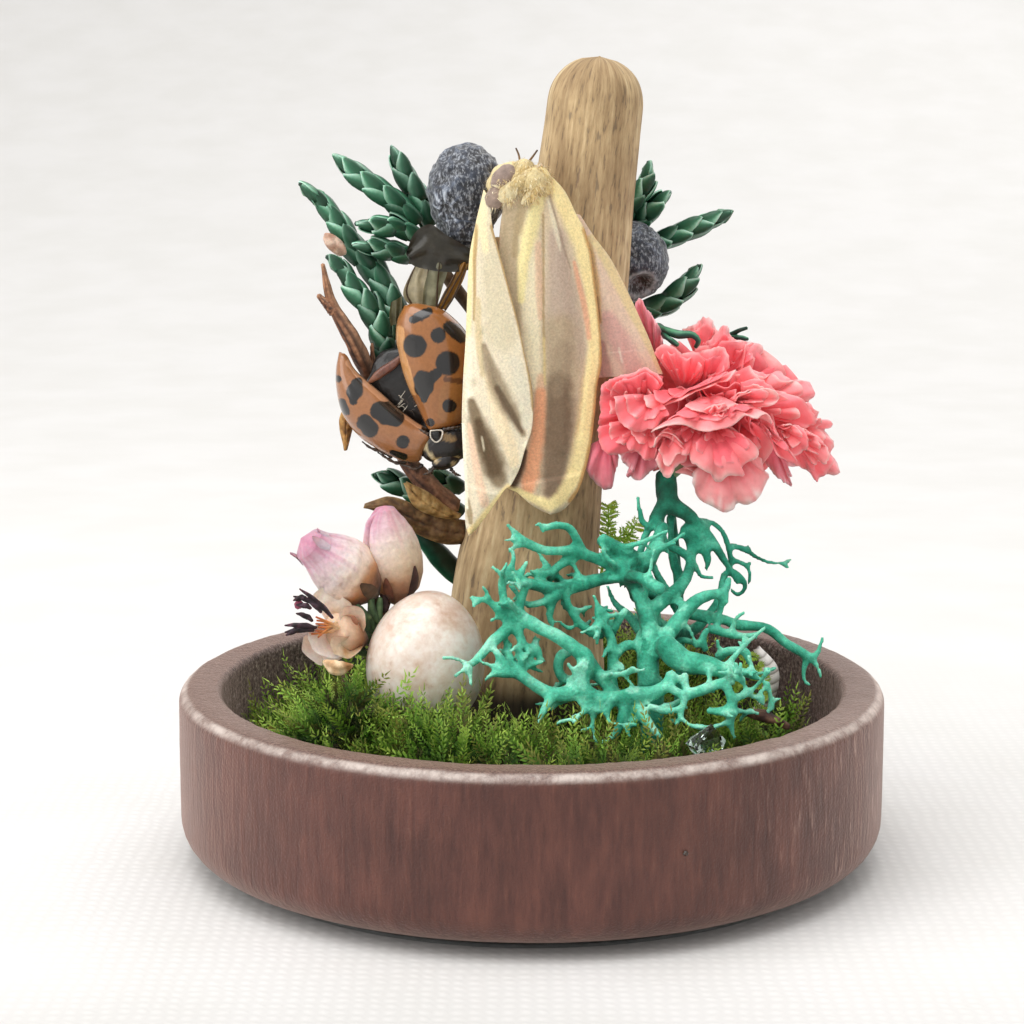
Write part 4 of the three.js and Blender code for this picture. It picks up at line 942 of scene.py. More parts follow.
wingFolds = {  # path, width and height of each crease; up is towards the front
    "right": [([(0.43, 28.4), (0.45, 25.55), (0.47, 22.39), (0.52, 20), (0.45, 17.5), (0.3, 16)],
               0.13, -0.07),
              ([(0.67, 28.4), (1, 27.1), (1.5, 25.3), (2.05, 23.4), (2.2, 21.5), (1.9, 18.5)], 0.13, -0.06),
              ([(0.2, 28.6), (-0.1, 27), (-0.4, 25.2), (-0.4, 23)], 0.2, 0.08),
              ([(0.95, 27.8), (1.15, 25), (1.35, 22), (1.2, 18)], 0.35, 0.1)],
    "left": [([(-2.24, 27.6), (-2.34, 25.67), (-2.38, 23), (-2.3, 20.5)], 0.1, -0.06),
             ([(-1.97, 22.6), (-1.4, 20.49), (-0.67, 19), (-0.3, 18.3)], 0.16, -0.12),
             ([(-2.3, 20.5), (-1.95, 18.5), (-1.5, 16.6)], 0.2, -0.1),
             ([(-1.9, 21.6), (-1.2, 18.9), (-0.8, 17.2)], 0.22, 0.1),
             ([(-2.6, 20), (-2.3, 17.6), (-2, 15.8)], 0.14, 0.07)],
    "hind": [([(2.6, 26), (3.2, 23.5), (3.9, 21)], 0.2, 0.05),
             ([(2.3, 26), (2.7, 23), (3.2, 20.9)], 0.2, -0.05)]}


def makeWingMaterial(name, seeThrough):
    # Wing scales: matt powdery cover, 0.05 mm grains, a faint silky sheen along the wing
    return tintedMaterial(name, {
        "Roughness": 0.7, "Sheen Weight": 0.15, "Sheen Roughness": 0.4, "Transmission Weight": seeThrough,
        "IOR": 1.3, "Subsurface Weight": 0.12, "Subsurface Scale": 0.0004}, 11000.0, 0.9, 1.26, 0.35, 0.00003)


def makeWing(name, outer, inner, bulge, key, ground, finish, node):
    rows, columns = 170, 66
    a, b = pathPoints(outer, rows + 1), pathPoints(inner, rows + 1)

    def surface(u, v):
        i = round(v * rows)
        p = a[i] * (1 - u) + b[i] * u
        p[1] -= bulge * math.sin(math.pi * u) * (0.35 + 0.65 * math.sin(math.pi * min(1, 0.15 + v)) ** 0.5
                                                 if v < 0.85 else 0.35 + 0.65 * max(0, 1 - v) ** 0.5 * 2.2)
        return p

    points, faces, _ = grid(surface, columns, rows)
    flat = points[:, [0, 2]]
    for path, width, height in wingFolds.get(key, []):
        near = np.clip(nearness(flat, path, [width] * len(path)), 0, 4)
        points[:, 1] -= height * np.exp(-near * near)
    points[:, 1] -= np.array([0.02 * wobble((p[0] * 2.4, p[1], p[2] * 0.5), 1, 3)
                              + 0.008 * wobble(p, 2.5, 8) for p in points])
    tint = paint(points, ground, wingStrokes.get(key, []), 0.5, 0.14)
    sheetPiece(name, (points, faces, tint), finish, mothSizes["thickness"], "moth_scales", node)


def furStrands(centres, count, length, seed):  # short tapered hairs on ellipsoids
    rng = random.Random(seed)
    points, faces, sources = [], [], []
    for _ in range(count):
        centre, radii, _ = centres[rng.choices(range(len(centres)), [c[2] for c in centres])[0]]
        z, turn = rng.uniform(-0.95, 1), rng.uniform(0, 2 * math.pi)
        flat = math.sqrt(1 - z * z)
        normal = np.array([flat * math.cos(turn), flat * math.sin(turn), z])
        if normal[1] > 0.5:
            continue
        root = np.array(centre) + normal * np.array(radii) * 0.98
        out = normal * 0.55 + np.array([rng.uniform(-0.3, 0.3), -0.15, -0.6 + rng.uniform(-0.2, 0.2)])
        out /= np.linalg.norm(out)
        side = np.cross(out, normal + 1e-3)
        side /= np.linalg.norm(side) + 1e-9
        size = length * rng.uniform(0.6, 1.2)
        start = len(points)
        points += [root - side * 0.022, root + side * 0.022, root + out * size + normal * 0.03]
        faces.append((start, start + 1, start + 2))
        sources += [rng.random()] * 3
    return np.array(points), faces, np.array(sources)


def ellipsoid(centre, radii, lean, rings, around, change=None):
    points, faces = lathe([(math.sin(a), -math.cos(a)) for a in np.linspace(0, math.pi, rings)], around)
    turn = Vector((0, 0, 1)).rotation_difference(Vector(lean)).to_matrix()
    moved = []
    for p in points:
        p = np.array(p) * (change(p) if change else 1)
        moved.append(np.array(turn @ Vector(p * np.array(radii))) + np.array(centre))
    return np.array(moved), faces


def makeMoth():
    d = mothSizes
    scales = makeWingMaterial("mothWingScales", 0.0)
    thinScales = makeWingMaterial("thinHindwingScales", 0.35)
    makeWing("mothForewingLeft", d["leftOuter"], d["leftInner"], 0.22, "left", "#dfd0b6", scales,
             "moth_forewing_left")
    makeWing("mothForewingRight", d["rightInner"], d["rightOuter"], 0.38, "right", "#cdb99c", scales,
             "moth_forewing_right")
    makeWing("mothHindwingRight", d["hindInner"], d["hindOuter"], 0.05, "hind", "#ecd2bc", thinScales,
             "moth_hindwing_right")
    makeWing("mothHindwingLeft", d["leftHindOuter"], d["leftHindInner"], 0.03, "none", "#dcc4a0", scales,
             "moth_hindwing_left")
    # Body scales: cream yellow, with two mauve-brown shoulder lobes edged in cream
    fur = tintedMaterial("mothBodyFur", {"Roughness": 0.85, "Sheen Weight": 0.3, "Sheen Roughness": 0.5},
                         7000.0, 0.8, 1.15, 0.6, 0.00008)
    lumps = [((-0.34, -2.2, 29.32), (0.42, 0.36, 0.36), (0, 0, 1), "#ecd7a0"),
             ((-0.6, -2.05, 28.6), (1.25, 0.62, 0.95), (0.15, 0, 1), "#ead6a2"),
             ((-0.02, -2.45, 28.75), (0.6, 0.42, 0.62), (0.3, 0, 1), "#f0dca6"),
             ((0.3, -2.25, 28.75), (0.5, 0.35, 0.7), (-0.3, 0, 1), "#efd89a"),
             ((-0.05, -2.15, 24.3), (0.5, 0.42, 4.2), (-0.03, 0, 1), "#d9c49a"),
             ((-1.18, -2.52, 28.92), (0.42, 0.2, 0.62), (0.62, 0.1, 0.8), "#a08b80"),
             ((-1.52, -2.6, 28.12), (0.4, 0.2, 0.46), (0.35, 0, 1), "#a58f80"),
             ((-0.98, -2.72, 28.35), (0.34, 0.16, 0.5), (0.7, 0, 0.7), "#efe0b4"),
             ((-0.62, -2.75, 28.75), (0.22, 0.16, 0.42), (0.75, 0, 0.65), "#e6d09a"),
             ((-1.3, -2.62, 28.55), (0.1, 0.1, 0.36), (-0.95, 0, 0.3), "#efdfb8"),
             ((0.08, -2.72, 28.35), (0.16, 0.16, 0.46), (0.4, 0, 0.9), "#e9cd8c"),
             ((-0.22, -2.78, 28.2), (0.13, 0.13, 0.4), (0.55, 0, 0.8), "#f3e2b4")]
    parts = []
    for centre, radii, lean, code in lumps:
        points, faces = ellipsoid(centre, radii, lean, 22, 28,
                                  lambda p: 1 + 0.06 * wobble(p, 2.2, 4) + 0.03 * wobble(p, 6, 1))
        tint = flatColour(code, points)
        tint[:, :3] *= 0.92 + 0.16 * wobbles(points, 3, 2)[:, None]
        parts.append((points, faces, tint))
    hairShares = (1.2, 3, 2.4, 2, 0, 0.15, 0.1, 0.8, 0.6, 0.5, 0.5, 0.5)
    creamHairs = [(centre, radii, share) for (centre, radii, *_), share in zip(lumps, hairShares)]
    points, faces, seeds = furStrands(creamHairs, 2600, 0.24, 11)
    parts.append((points, faces, blendColours(["#d3b678", "#efdcaa", "#fbf0cf"], [0, 0.5, 1], seeds)))
    for base, tip in (((-0.5, -2.2, 29.5), (-0.67, -2.0, 30.1)), ((-0.2, -2.2, 29.5), (0.2, -2.0, 30.02))):
        middle = [(a + b) / 2 + 0.03 for a, b in zip(base, tip)]
        points, faces, along, _ = sweep([base, middle, tip], [0.05, 0.045, 0.035], 8, 10)
        parts.append((points, faces, blendColours(["#8b6a42", "#4d3524"], [0, 1], along)))
    paintedPiece("mothBody", gather(parts), fur, "moth_fur", "moth_body")


makeMoth()
print("moth done")


# lady beetle

beetleSizes = {
    "rightSuture": [(-4.36, -0.25, 18.41), (-4.78, -0.1, 19.28), (-5.14, 0, 20.03), (-5.41, 0.1, 20.78),
                    (-5.55, 0.15, 21.49), (-5.66, 0.15, 22.08), (-5.6, 0.15, 22.84), (-5.3, 0.15, 23.46)],
    "rightSide": [(-4.08, -0.25, 18.37), (-3.56, -0.2, 18.43), (-2.98, -0.1, 18.56), (-2.55, 0, 19.53),
                  (-2.34, 0.1, 20.57), (-2.43, 0.15, 21.62), (-2.8, 0.15, 22.38), (-3.26, 0.15, 22.9),
                  (-3.84, 0.15, 23.34), (-4.43, 0.15, 23.49), (-4.89, 0.15, 23.55), (-5.3, 0.15, 23.46)],
    "rightDome": 1.15,
    "leftSuture": [(-4.32, -0.3, 18.28), (-4.91, -0.2, 18.62), (-5.62, -0.1, 19.14), (-6.33, 0.05, 19.77),
                   (-7.04, 0.2, 20.35), (-7.51, 0.3, 20.81), (-7.81, 0.35, 21.34), (-8.07, 0.4, 21.47)],
    "leftSide": [(-4.2, -0.35, 18.05), (-4.52, -0.3, 17.5), (-4.76, -0.2, 16.99), (-5.4, -0.1, 16.99),
                 (-5.99, 0, 17.22), (-6.65, 0.15, 17.55), (-7.24, 0.25, 17.96), (-7.78, 0.35, 18.6),
                 (-8.07, 0.4, 19.26), (-8.21, 0.45, 20.08), (-8.21, 0.45, 20.74), (-8.13, 0.4, 21.22),
                 (-8.07, 0.4, 21.47)],
    "leftDome": 1.0, "shell": 0.09}
elytronStrokes = {
    "right": [
        ("#a3642c", [(-5.3, 23.37), (-4.66, 23.46), (-3.99, 23.32)], [0.21, 0.21, 0.17], 0.6),
        ("#dda468", [(-5.46, 22.52), (-5.44, 21.67), (-5.19, 20.78), (-4.91, 19.94)],
         [0.17, 0.17, 0.17, 0.13], 0.7),
        ("#a46f38", [(-3.32, 19.98), (-3.5, 19.14)], [0.51, 0.42], 0.55),
        ("#141110", [(-4.85, 21.9)], [0.49], 1), ("#141110", [(-3.91, 22.35)], [0.31], 1),
        ("#141110", [(-3.51, 22.67), (-3.2, 22.45), (-2.94, 22.2)], [0.21, 0.28, 0.23], 1),
        ("#141110", [(-4.96, 22.97), (-4.64, 23.11), (-4.29, 23.27)], [0.15, 0.2, 0.15], 1),
        ("#141110", [(-3.51, 21.2)], [0.5], 1), ("#141110", [(-3.94, 20.79), (-4.2, 20.6)], [0.21, 0.25], 1),
        ("#141110", [(-4.48, 20.47), (-4.48, 20.18), (-4.47, 19.66)], [0.44, 0.4, 0.13], 1),
        ("#141110", [(-3.45, 19.42)], [0.29], 1), ("#141110", [(-4.22, 18.71)], [0.18], 1),
        ("#5f3a20", [(-3.59, 20.54), (-2.83, 20.41)], [0.11, 0.12], 0.9)],
    "left": [
        ("#d9a27c", [(-4.54, 18.41), (-5.71, 19.22), (-7.07, 20.38), (-7.66, 21.08)],
         [0.15, 0.17, 0.17, 0.17], 0.6),
        ("#161312", [(-7.35, 20.24), (-7.41, 19.95), (-7.45, 19.57)], [0.23, 0.34, 0.17], 1),
        ("#161312", [(-8.08, 20.44)], [0.15], 1),
        ("#161312", [(-7.91, 19.48), (-7.78, 19.11)], [0.17, 0.18], 1),
        ("#161312", [(-6.41, 19.17), (-6.08, 19.03), (-5.66, 18.82)], [0.36, 0.44, 0.3], 1),
        ("#161312", [(-6.95, 18.71), (-6.77, 18.44)], [0.34, 0.38], 1),
        ("#161312", [(-7.12, 18.6)], [0.21], 1),
        ("#161312", [(-5.39, 17.9)], [0.28], 1),
        ("#161312", [(-5.82, 17.42), (-5.36, 17.26)], [0.14, 0.17], 1),
        ("#161312", [(-4.56, 18.37), (-4.27, 18.19)], [0.08, 0.13], 1)]}


def makeElytron(name, side, ground, finish, node):
    d = beetleSizes
    rows, columns = 110, 80
    a, b = pathPoints(d[side + "Suture"], rows + 1), pathPoints(d[side + "Side"], rows + 1)
    dome = d[side + "Dome"]

    def surface(u, v):
        i = round(v * rows)
        p = a[i] * (1 - u) + b[i] * u
        along = math.sin(math.pi * min(1, v * 0.93 + 0.07))
        p[1] -= dome * max(0, 1 - abs(2 * u - 1) ** 2.3) ** 0.55 * max(0, along) ** 0.55
        return p

    points, faces, uv = grid(surface, columns, rows)
    for p in points:
        p[1] -= 0.02 * wobble(p, 1.1, 3)
    tint = paint(points, ground, elytronStrokes[side], 0.07, 0.1)
    # both edges are paler: the pale upturned rim, with a painted highlight along it
    rim = np.exp(-np.minimum(uv[:, 0], 1 - uv[:, 0]) / 0.02)[:, None] * 0.5
    tint = blend(tint, "#d9a87c", rim)
    sheetPiece(name, (points, faces, tint), finish, d["shell"], "elytron", node)


def makeBeetle():
    # Wing case chitin: hard, glossy, with the finest pits
    chitin = tintedMaterial("wingCaseChitin", {"Roughness": 0.26, "IOR": 1.55, "Coat Weight": 0.5,
                                               "Coat Roughness": 0.08}, 8000.0, 0.86, 1.1, 0.12, 0.00003)
    makeElytron("beetleElytronRight", "right", "#9c6230", chitin, "beetle_elytron_right")
    makeElytron("beetleElytronLeft", "left", "#9e683f", chitin, "beetle_elytron_left")
    shine = tintedMaterial("beetleBodyChitin", {"Roughness": 0.35, "IOR": 1.5, "Coat Weight": 0.3}, 6000.0,
                           0.6, 1.3, 0.5, 0.00008)
    parts = []

    def add(points, faces, code, strokes=()):
        parts.append((points, faces, paint(points, code, strokes, 0.15, 0.15)))

    def ringed(p):
        return 1 - 0.05 * abs(math.sin(9 * p[2])) + 0.03 * wobble(p, 3, 7)

    add(*ellipsoid((-5.15, 0.75, 19.85), (1.7, 0.55, 2.05), (-0.6, 0, 0.8), 44, 50, ringed), "#15100e")
    add(*ellipsoid((-3.9, 0.4, 18.2), (0.95, 0.5, 0.8), (-0.6, 0, 0.8), 24, 30), "#120e0d")
    add(*ellipsoid((-3.55, -0.45, 17.75), (1.2, 0.55, 0.85), (-0.25, 0, 1), 36, 50), "#171211", [
        ("#d8c69a", [(-4.42, 18.1), (-4.45, 17.6), (-4.2, 17.2)], [0.08, 0.1, 0.07], 0.9),
        ("#9a7a4c", [(-3.7, 18.15), (-3.3, 18.0)], [0.16, 0.14], 0.85),
        ("#bfa573", [(-4.1, 17.15), (-3.6, 17.1), (-3.1, 17.2)], [0.07, 0.09, 0.07], 0.8)])
    add(*ellipsoid((-3.6, -0.55, 17.05), (0.62, 0.4, 0.38), (-0.3, 0, 1), 20, 28), "#1a1412", [
        ("#c9b083", [(-4.0, 17.05)], [0.12], 0.9), ("#c9b083", [(-3.3, 16.95)], [0.12], 0.9)])
    rim = [(-6.85, 0.15, 20.25), (-6.3, 0.1, 20.69), (-5.87, 0.1, 20.98), (-5.5, 0.15, 21.3)]
    points, faces, along, _ = sweep(rim, [0.05, 0.15, 0.17, 0.15, 0.1], 12, 26,
                                    lambda t, a: 1 + 0.2 * math.cos(2 * a))
    parts.append((points, faces, blendColours(["#8a5a40", "#6d4032", "#7d5140"], [0, 0.5, 1], along)))
    # scutellum: a small shield with a raised pale border
    border = [(-4.24, -0.95, 18.36), (-3.76, -0.95, 18.36), (-3.78, -1.0, 18.05), (-4.0, -1.02, 17.88),
              (-4.22, -1.0, 18.08), (-4.24, -0.95, 18.36)]
    points, faces, _, _ = sweep(border, [0.03, 0.04, 0.035, 0.03], 6, 40)
    parts.append((points, faces, flatColour("#d9cfc0", points)))
    add(*ellipsoid((-4, -0.85, 18.15), (0.24, 0.12, 0.26), (0, 0, 1), 12, 16), "#120f0e")
    rng = random.Random(5)
    for k in range(16):  # dried wing threads and body hairs between the open cases
        start = np.array([rng.uniform(-5.6, -4.9), -0.15 - rng.uniform(0, 0.25), rng.uniform(19.1, 19.8)])
        end = start + np.array([rng.uniform(-0.3, 0.3), rng.uniform(-0.1, 0.05), rng.uniform(-0.35, 0.35)])
        points, faces, _, _ = sweep([start, (start + end) / 2 + 0.05, end], [0.016, 0.014, 0.008], 5, 6)
        parts.append((points, faces, flatColour("#d8cfbd" if k % 2 else "#3a2c22", points)))
    legs = [[(-5.9, 0.1, 17.1), (-6.3, -0.05, 17.32), (-6.8, -0.05, 17.5), (-7.15, 0.05, 17.75)],
            [(-5.3, 0, 16.9), (-5.7, -0.1, 16.86), (-6.1, -0.05, 17.05), (-6.5, 0, 17.3)],
            [(-4.6, -0.3, 16.8), (-4.9, -0.4, 16.65), (-5.2, -0.3, 16.75), (-5.5, -0.2, 16.8)],
            [(-4.1, -0.6, 16.75), (-4.3, -0.7, 16.55), (-4.55, -0.6, 16.45)],
            [(-3.4, -0.7, 16.7), (-3.2, -0.75, 16.5), (-3.0, -0.6, 16.4)],
            [(-4.2, -0.75, 18.1), (-4.5, -0.8, 18.28), (-4.75, -0.7, 18.4)],
            [(-3.7, -0.9, 18.4), (-3.3, -0.95, 18.48), (-2.9, -0.85, 18.52)]]
    for leg in legs:
        points, faces, along, _ = sweep(leg, [0.09, 0.07, 0.06, 0.03], 8, 16,
                                        lambda t, a: 1 + 0.25 * math.sin(26 * t))
        parts.append((points, faces, blendColours(["#241a15", "#4a3626", "#2a1f18"], [0, 0.5, 1], along)))
    paintedPiece("beetleBody", gather(parts), shine, "beetle_black", "beetle_body")
    makeBeetleWings()


def makeBeetleWings():
    # Unfolded hindwings: clear smoky film, crumpled, with amber leading veins
    film = tintedMaterial("smokyWingFilm", {"Roughness": 0.32, "IOR": 1.4, "Transmission Weight": 0.45,
                                            "Coat Weight": 0.2}, 5000.0, 0.8, 1.15, 0.4, 0.00005)
    panels = {
        "Left": [
            ([(-4.95, 0.55, 23.3), (-5.4, 0.5, 23.9), (-5.1, 0.45, 24.75), (-4.75, 0.4, 25.35)],
             [(-4.5, 0.55, 23.3), (-4.42, 0.5, 24.2), (-4.35, 0.4, 24.9), (-4.3, 0.35, 25.4)], "#cbbf9f",
             "#a89a76"),
            ([(-5.93, 0.5, 22.6), (-5.98, 0.45, 23.1), (-5.9, 0.4, 23.6)],
             [(-5.6, 0.5, 22.7), (-5.45, 0.45, 23.3), (-5.45, 0.4, 23.85)], "#6f6a4e", "#8a8158")],
        "Right": [
            ([(-4.6, 0.35, 23.4), (-4.5, 0.3, 24.3), (-4.3, 0.2, 25.0), (-4.2, 0.15, 25.6)],
             [(-3.98, 0.3, 23.4), (-3.72, 0.2, 24.3), (-3.5, 0.1, 25.0), (-3.45, 0.1, 25.7)], "#9a9676",
             "#6d6a4c"),
            ([(-3.98, 0.25, 23.4), (-3.7, 0.15, 24.0), (-3.3, 0.05, 24.7), (-3.0, 0, 25.3)],
             [(-3.62, 0.2, 23.3), (-3.2, 0.05, 23.95), (-2.85, -0.05, 24.6), (-2.62, -0.1, 25.35)], "#b8853a",
             "#7a5424"),
            ([(-5.25, 0.3, 25.7), (-4.9, 0.1, 26.5), (-4.24, -0.1, 26.9), (-3.6, -0.25, 26.5),
              (-2.58, -0.2, 25.9)],
             [(-5.2, 0.35, 25.5), (-4.95, 0.25, 25.15), (-4.17, 0.1, 24.97), (-3.3, 0, 24.9),
              (-2.58, 0, 25.0)],
             "#3f3a2d", "#2a261d")]}
    veins = {
        "Left": [[(-4.95, 0.5, 23.35), (-5.25, 0.4, 24.1), (-4.85, 0.35, 25.2)],
                 [(-4.5, 0.5, 23.3), (-4.4, 0.4, 24.3), (-4.3, 0.3, 25.3)]],
        "Right": [[(-3.98, 0.2, 23.4), (-3.95, 0.1, 24.3), (-3.85, 0.05, 25.3)],
                  [(-3.96, 0.15, 23.4), (-3.55, 0.05, 24.15), (-3.05, -0.1, 25.1)],
                  [(-3.63, 0.1, 23.3), (-3.2, -0.05, 24.0), (-2.75, -0.12, 25.1)],
                  [(-3.8, 0.15, 23.35), (-3.4, 0, 24.1), (-2.95, -0.1, 24.9)],
                  [(-4.5, 0.3, 25.2), (-3.8, 0.1, 25.4), (-2.8, -0.05, 25.4)]]}
    for side in ("Left", "Right"):
        parts = []
        for index, (a, b, pale, dark) in enumerate(panels[side]):
            points, faces, uv = ruledSheet(a, b, 14, 30)
            crumple = 0.09 if index == 2 else 0.06
            for p, (u, _) in zip(points, uv):
                p[1] += (crumple * math.sin(9 * u + 2 * wobble(p, 1.3, 2))
                         + crumple * 0.8 * wobble(p, 2.4, index))
            points, faces = doubled(points, faces, (0, 0.02, 0))
            tint = blendColours([dark, pale, dark], [-0.6, 0.1, 0.7], wobbles(points, 1.6, 5))
            parts.append((points, faces, tint))
        for vein in veins[side]:
            points, faces, _, _ = sweep(vein, [0.045, 0.04, 0.02], 6, 18)
            parts.append((points, faces, flatColour("#4a3218", points)))
        paintedPiece("beetleHindwing" + side, gather(parts), film, "hindwing_film",
                     "beetle_hindwing_" + side.lower())


makeBeetle()
print("beetle done")


# juniper

juniperSizes = {"leafLength": 1.38, "leafWidth": 0.94, "leafThick": 0.42, "spacing": 0.53, "core": 0.38,
                "tilt": -1}
juniperSprigs = {  # free end first; then leaf size, extra tilt towards the tip
    "left_1": ([(-9.75, 1.5, 28.5), (-8.8, 1.8, 27.6), (-8, 2, 26.5), (-7.3, 2.1, 25.5), (-6.5, 2, 24.5),
                (-5.9, 1.9, 23.4), (-5.2, 2.3, 22), (-3.6, 3.6, 20.6), (-1.2, 4.5, 19.3)], 1, 4),
    "left_2": ([(-8.6, 0.7, 25.5), (-7.85, 0.85, 24.8), (-7.3, 1, 23.9), (-6.7, 1.2, 23), (-6.3, 1.6, 22),
                (-5.9, 2.7, 20.6), (-4, 3.9, 18.6), (-0.9, 4.9, 17.0)], 0.98, 14),
    "left_3": ([(-8.35, 2.4, 29.6), (-6.95, 2.4, 28.5), (-5.9, 2.6, 27.7), (-4.9, 3, 26.8)], 0.92, 2),
    "left_4": ([(-5.95, 3.4, 29.95), (-5.3, 3.4, 28.6), (-4.7, 3.4, 27.5), (-4.4, 3.5, 26.6)], 0.9, 2),
    "left_5": ([(-7.4, 1, 26.85), (-6.5, 1.4, 26.75), (-5.6, 2.2, 26.6), (-4.9, 2.8, 26.2)], 0.82, 5),
    "left_6": ([(-7.5, 1.1, 25.95), (-6.5, 1.4, 25.8), (-5.8, 2, 25.6), (-5, 2.8, 25.3)], 0.8, 5),
    "right_1": ([(5.05, 4, 29.3), (4.75, 4.2, 28.1), (4.1, 5, 27), (3.9, 5.9, 26)], 0.86, 3),
    "right_2": ([(6, 4.4, 28), (5.2, 4.8, 27.2), (4.6, 5.6, 26.4)], 0.9, 5),
    "right_3": ([(8.65, 4.6, 27.1), (7, 4.9, 26.4), (5.7, 5.5, 25.8), (4.7, 6.4, 25.3)], 0.9, 2),
    "right_4": ([(7.3, 4.6, 24.8), (6.4, 4.9, 23.6), (5.4, 5.3, 22.9), (3.8, 6.2, 22.4)], 0.95, 6),
    "low_1": ([(-6.7, 1.5, 16.1), (-5.2, 1.9, 15.4), (-4.1, 2.5, 14.7), (-3.2, 3.2, 14.2)], 0.95, 16),
    "low_2": ([(-4.2, 1.8, 16.4), (-3.8, 2.3, 15.7), (-3.2, 3, 15.3)], 0.95, 8)}


def makeJuniperMaterial():
    # Waxy scale leaves of juniper: deep blue-green with thin pale margins and tips
    material, tree, shader = newMaterial("juniperScaleLeaf", {
        "Roughness": 0.4, "IOR": 1.45, "Subsurface Weight": 0.08, "Subsurface Scale": 0.0003})
    rim = pointValue(tree, "rim")
    shade = pointValue(tree, "shade")
    colour = ramp(tree, rim,
                  [(0.0, "#123226"), (0.2, "#245139"), (0.42, "#3c7557"), (0.7, "#84b398"), (1.0, "#bedccb")])
    amount = remap(tree, shade, 0.0, 1.0, 0.62, 1.3)
    toned = scaled(tree, colour, amount)
    tree.links.new(toned, shader.inputs["Base Color"])
    coords = objectCoords(tree)
    dust = noiseAt(tree, coords, 7000.0, 2.0)
    addBump(tree, shader, dust, 0.3, 0.00004)
    return material


def scaleLeaf(finish):  # one pointed, pale-edged leaf that wraps the stem, 1 mm long on Z and facing Y
    section = [(1, 0), (0.88, 0.12), (0.55, 0.36), (0, 0.52), (-0.55, 0.36), (-0.88, 0.12), (-1, 0),
               (-0.5, -0.1), (0.5, -0.1)]
    levels = [0, 0.25, 0.5, 0.65, 0.78, 0.88, 0.96]
    points, faces, rims = [(0, 0, -0.02)], [], [0.1]
    for t in levels:
        half = 0.5 * min(1, 0.78 + 0.5 * t) * (1 - max(0, (t - 0.42) / 0.58) ** 1.9)
        for across, rise in section:
            wrap = 0.85 * (2 * half * across) ** 2
            points.append((half * across, rise * (0.45 + 1.1 * half) + 0.2 * math.sin(2.7 * t) - wrap, t))
            margin = 1 if abs(across) > 0.8 else 0.42 if abs(across) > 0.5 else 0.12
            rims.append(max(margin * (0.35 + 0.65 * t), 0.16, 0.7 if t > 0.93 else 0))
    points.append((0, 0.06, 1.0))
    rims.append(1.0)
    around = len(section)
    for j in range(around):
        after = (j + 1) % around
        faces.append((0, 1 + after, 1 + j))
        for i in range(len(levels) - 1):
            a, b = 1 + i * around + j, 1 + i * around + after
            faces.append((a, b, b + around, a + around))
        last = 1 + (len(levels) - 1) * around
        faces.append((last + j, last + after, len(points) - 1))
    return meshPiece("scaleLeaf", points, faces, finish, attributes={"rim": rims})


def sprigSpots(controls, leafSize, openTip, seed):  # opposite pairs, each turned a quarter from the last
    d = juniperSizes
    rng = random.Random(seed)
    path = pathPoints(controls[::-1], 240)
    tangents = frames(path)[0]
    length = np.linalg.norm(np.diff(path, axis=0), axis=1).sum()
    reach = 1 - 0.72 * d["leafLength"] * leafSize / length  # the last leaves end at the sprig's tip
    count = max(3, int(length * reach / (d["spacing"] * leafSize)) + 1)
    spots = []
    for i in range(count):
        t = i / (count - 1)
        index = round(t * reach * 239)
        tangent = tangents[index]
        front = np.array([0.0, -1, 0]) - tangent * -tangent[1]
        front /= np.linalg.norm(front)
        left = np.cross(tangent, front)
        taper = leafSize * (1 - 0.22 * max(0, (t - 0.7) / 0.3))
        for half in (0, 1):
            angle = math.pi * half + (math.pi / 2 if i % 2 else 0) + 0.6 + rng.uniform(-0.15, 0.15)
            out = math.cos(angle) * front + math.sin(angle) * left
            closing = max(0, (t - 0.82) / 0.18)  # the last pairs lean together into a blunt bud
            tilt = math.radians(d["tilt"] - 13 * closing + 0.5 * openTip * max(0, t - 0.55) / 0.45
                                + rng.uniform(-2, 2))
            along = tangent * math.cos(tilt) + out * math.sin(tilt)
            face = out * math.cos(tilt) - tangent * math.sin(tilt)
            grown = taper * rng.uniform(0.92, 1.08)
            spots.append((path[index] + out * d["core"] * taper * (1 - 0.35 * closing),
                          axesEuler(np.cross(face, along), face, along),
                          (d["leafWidth"] * grown, d["leafThick"] * grown, d["leafLength"] * grown),
                          rng.random()))
    return spots


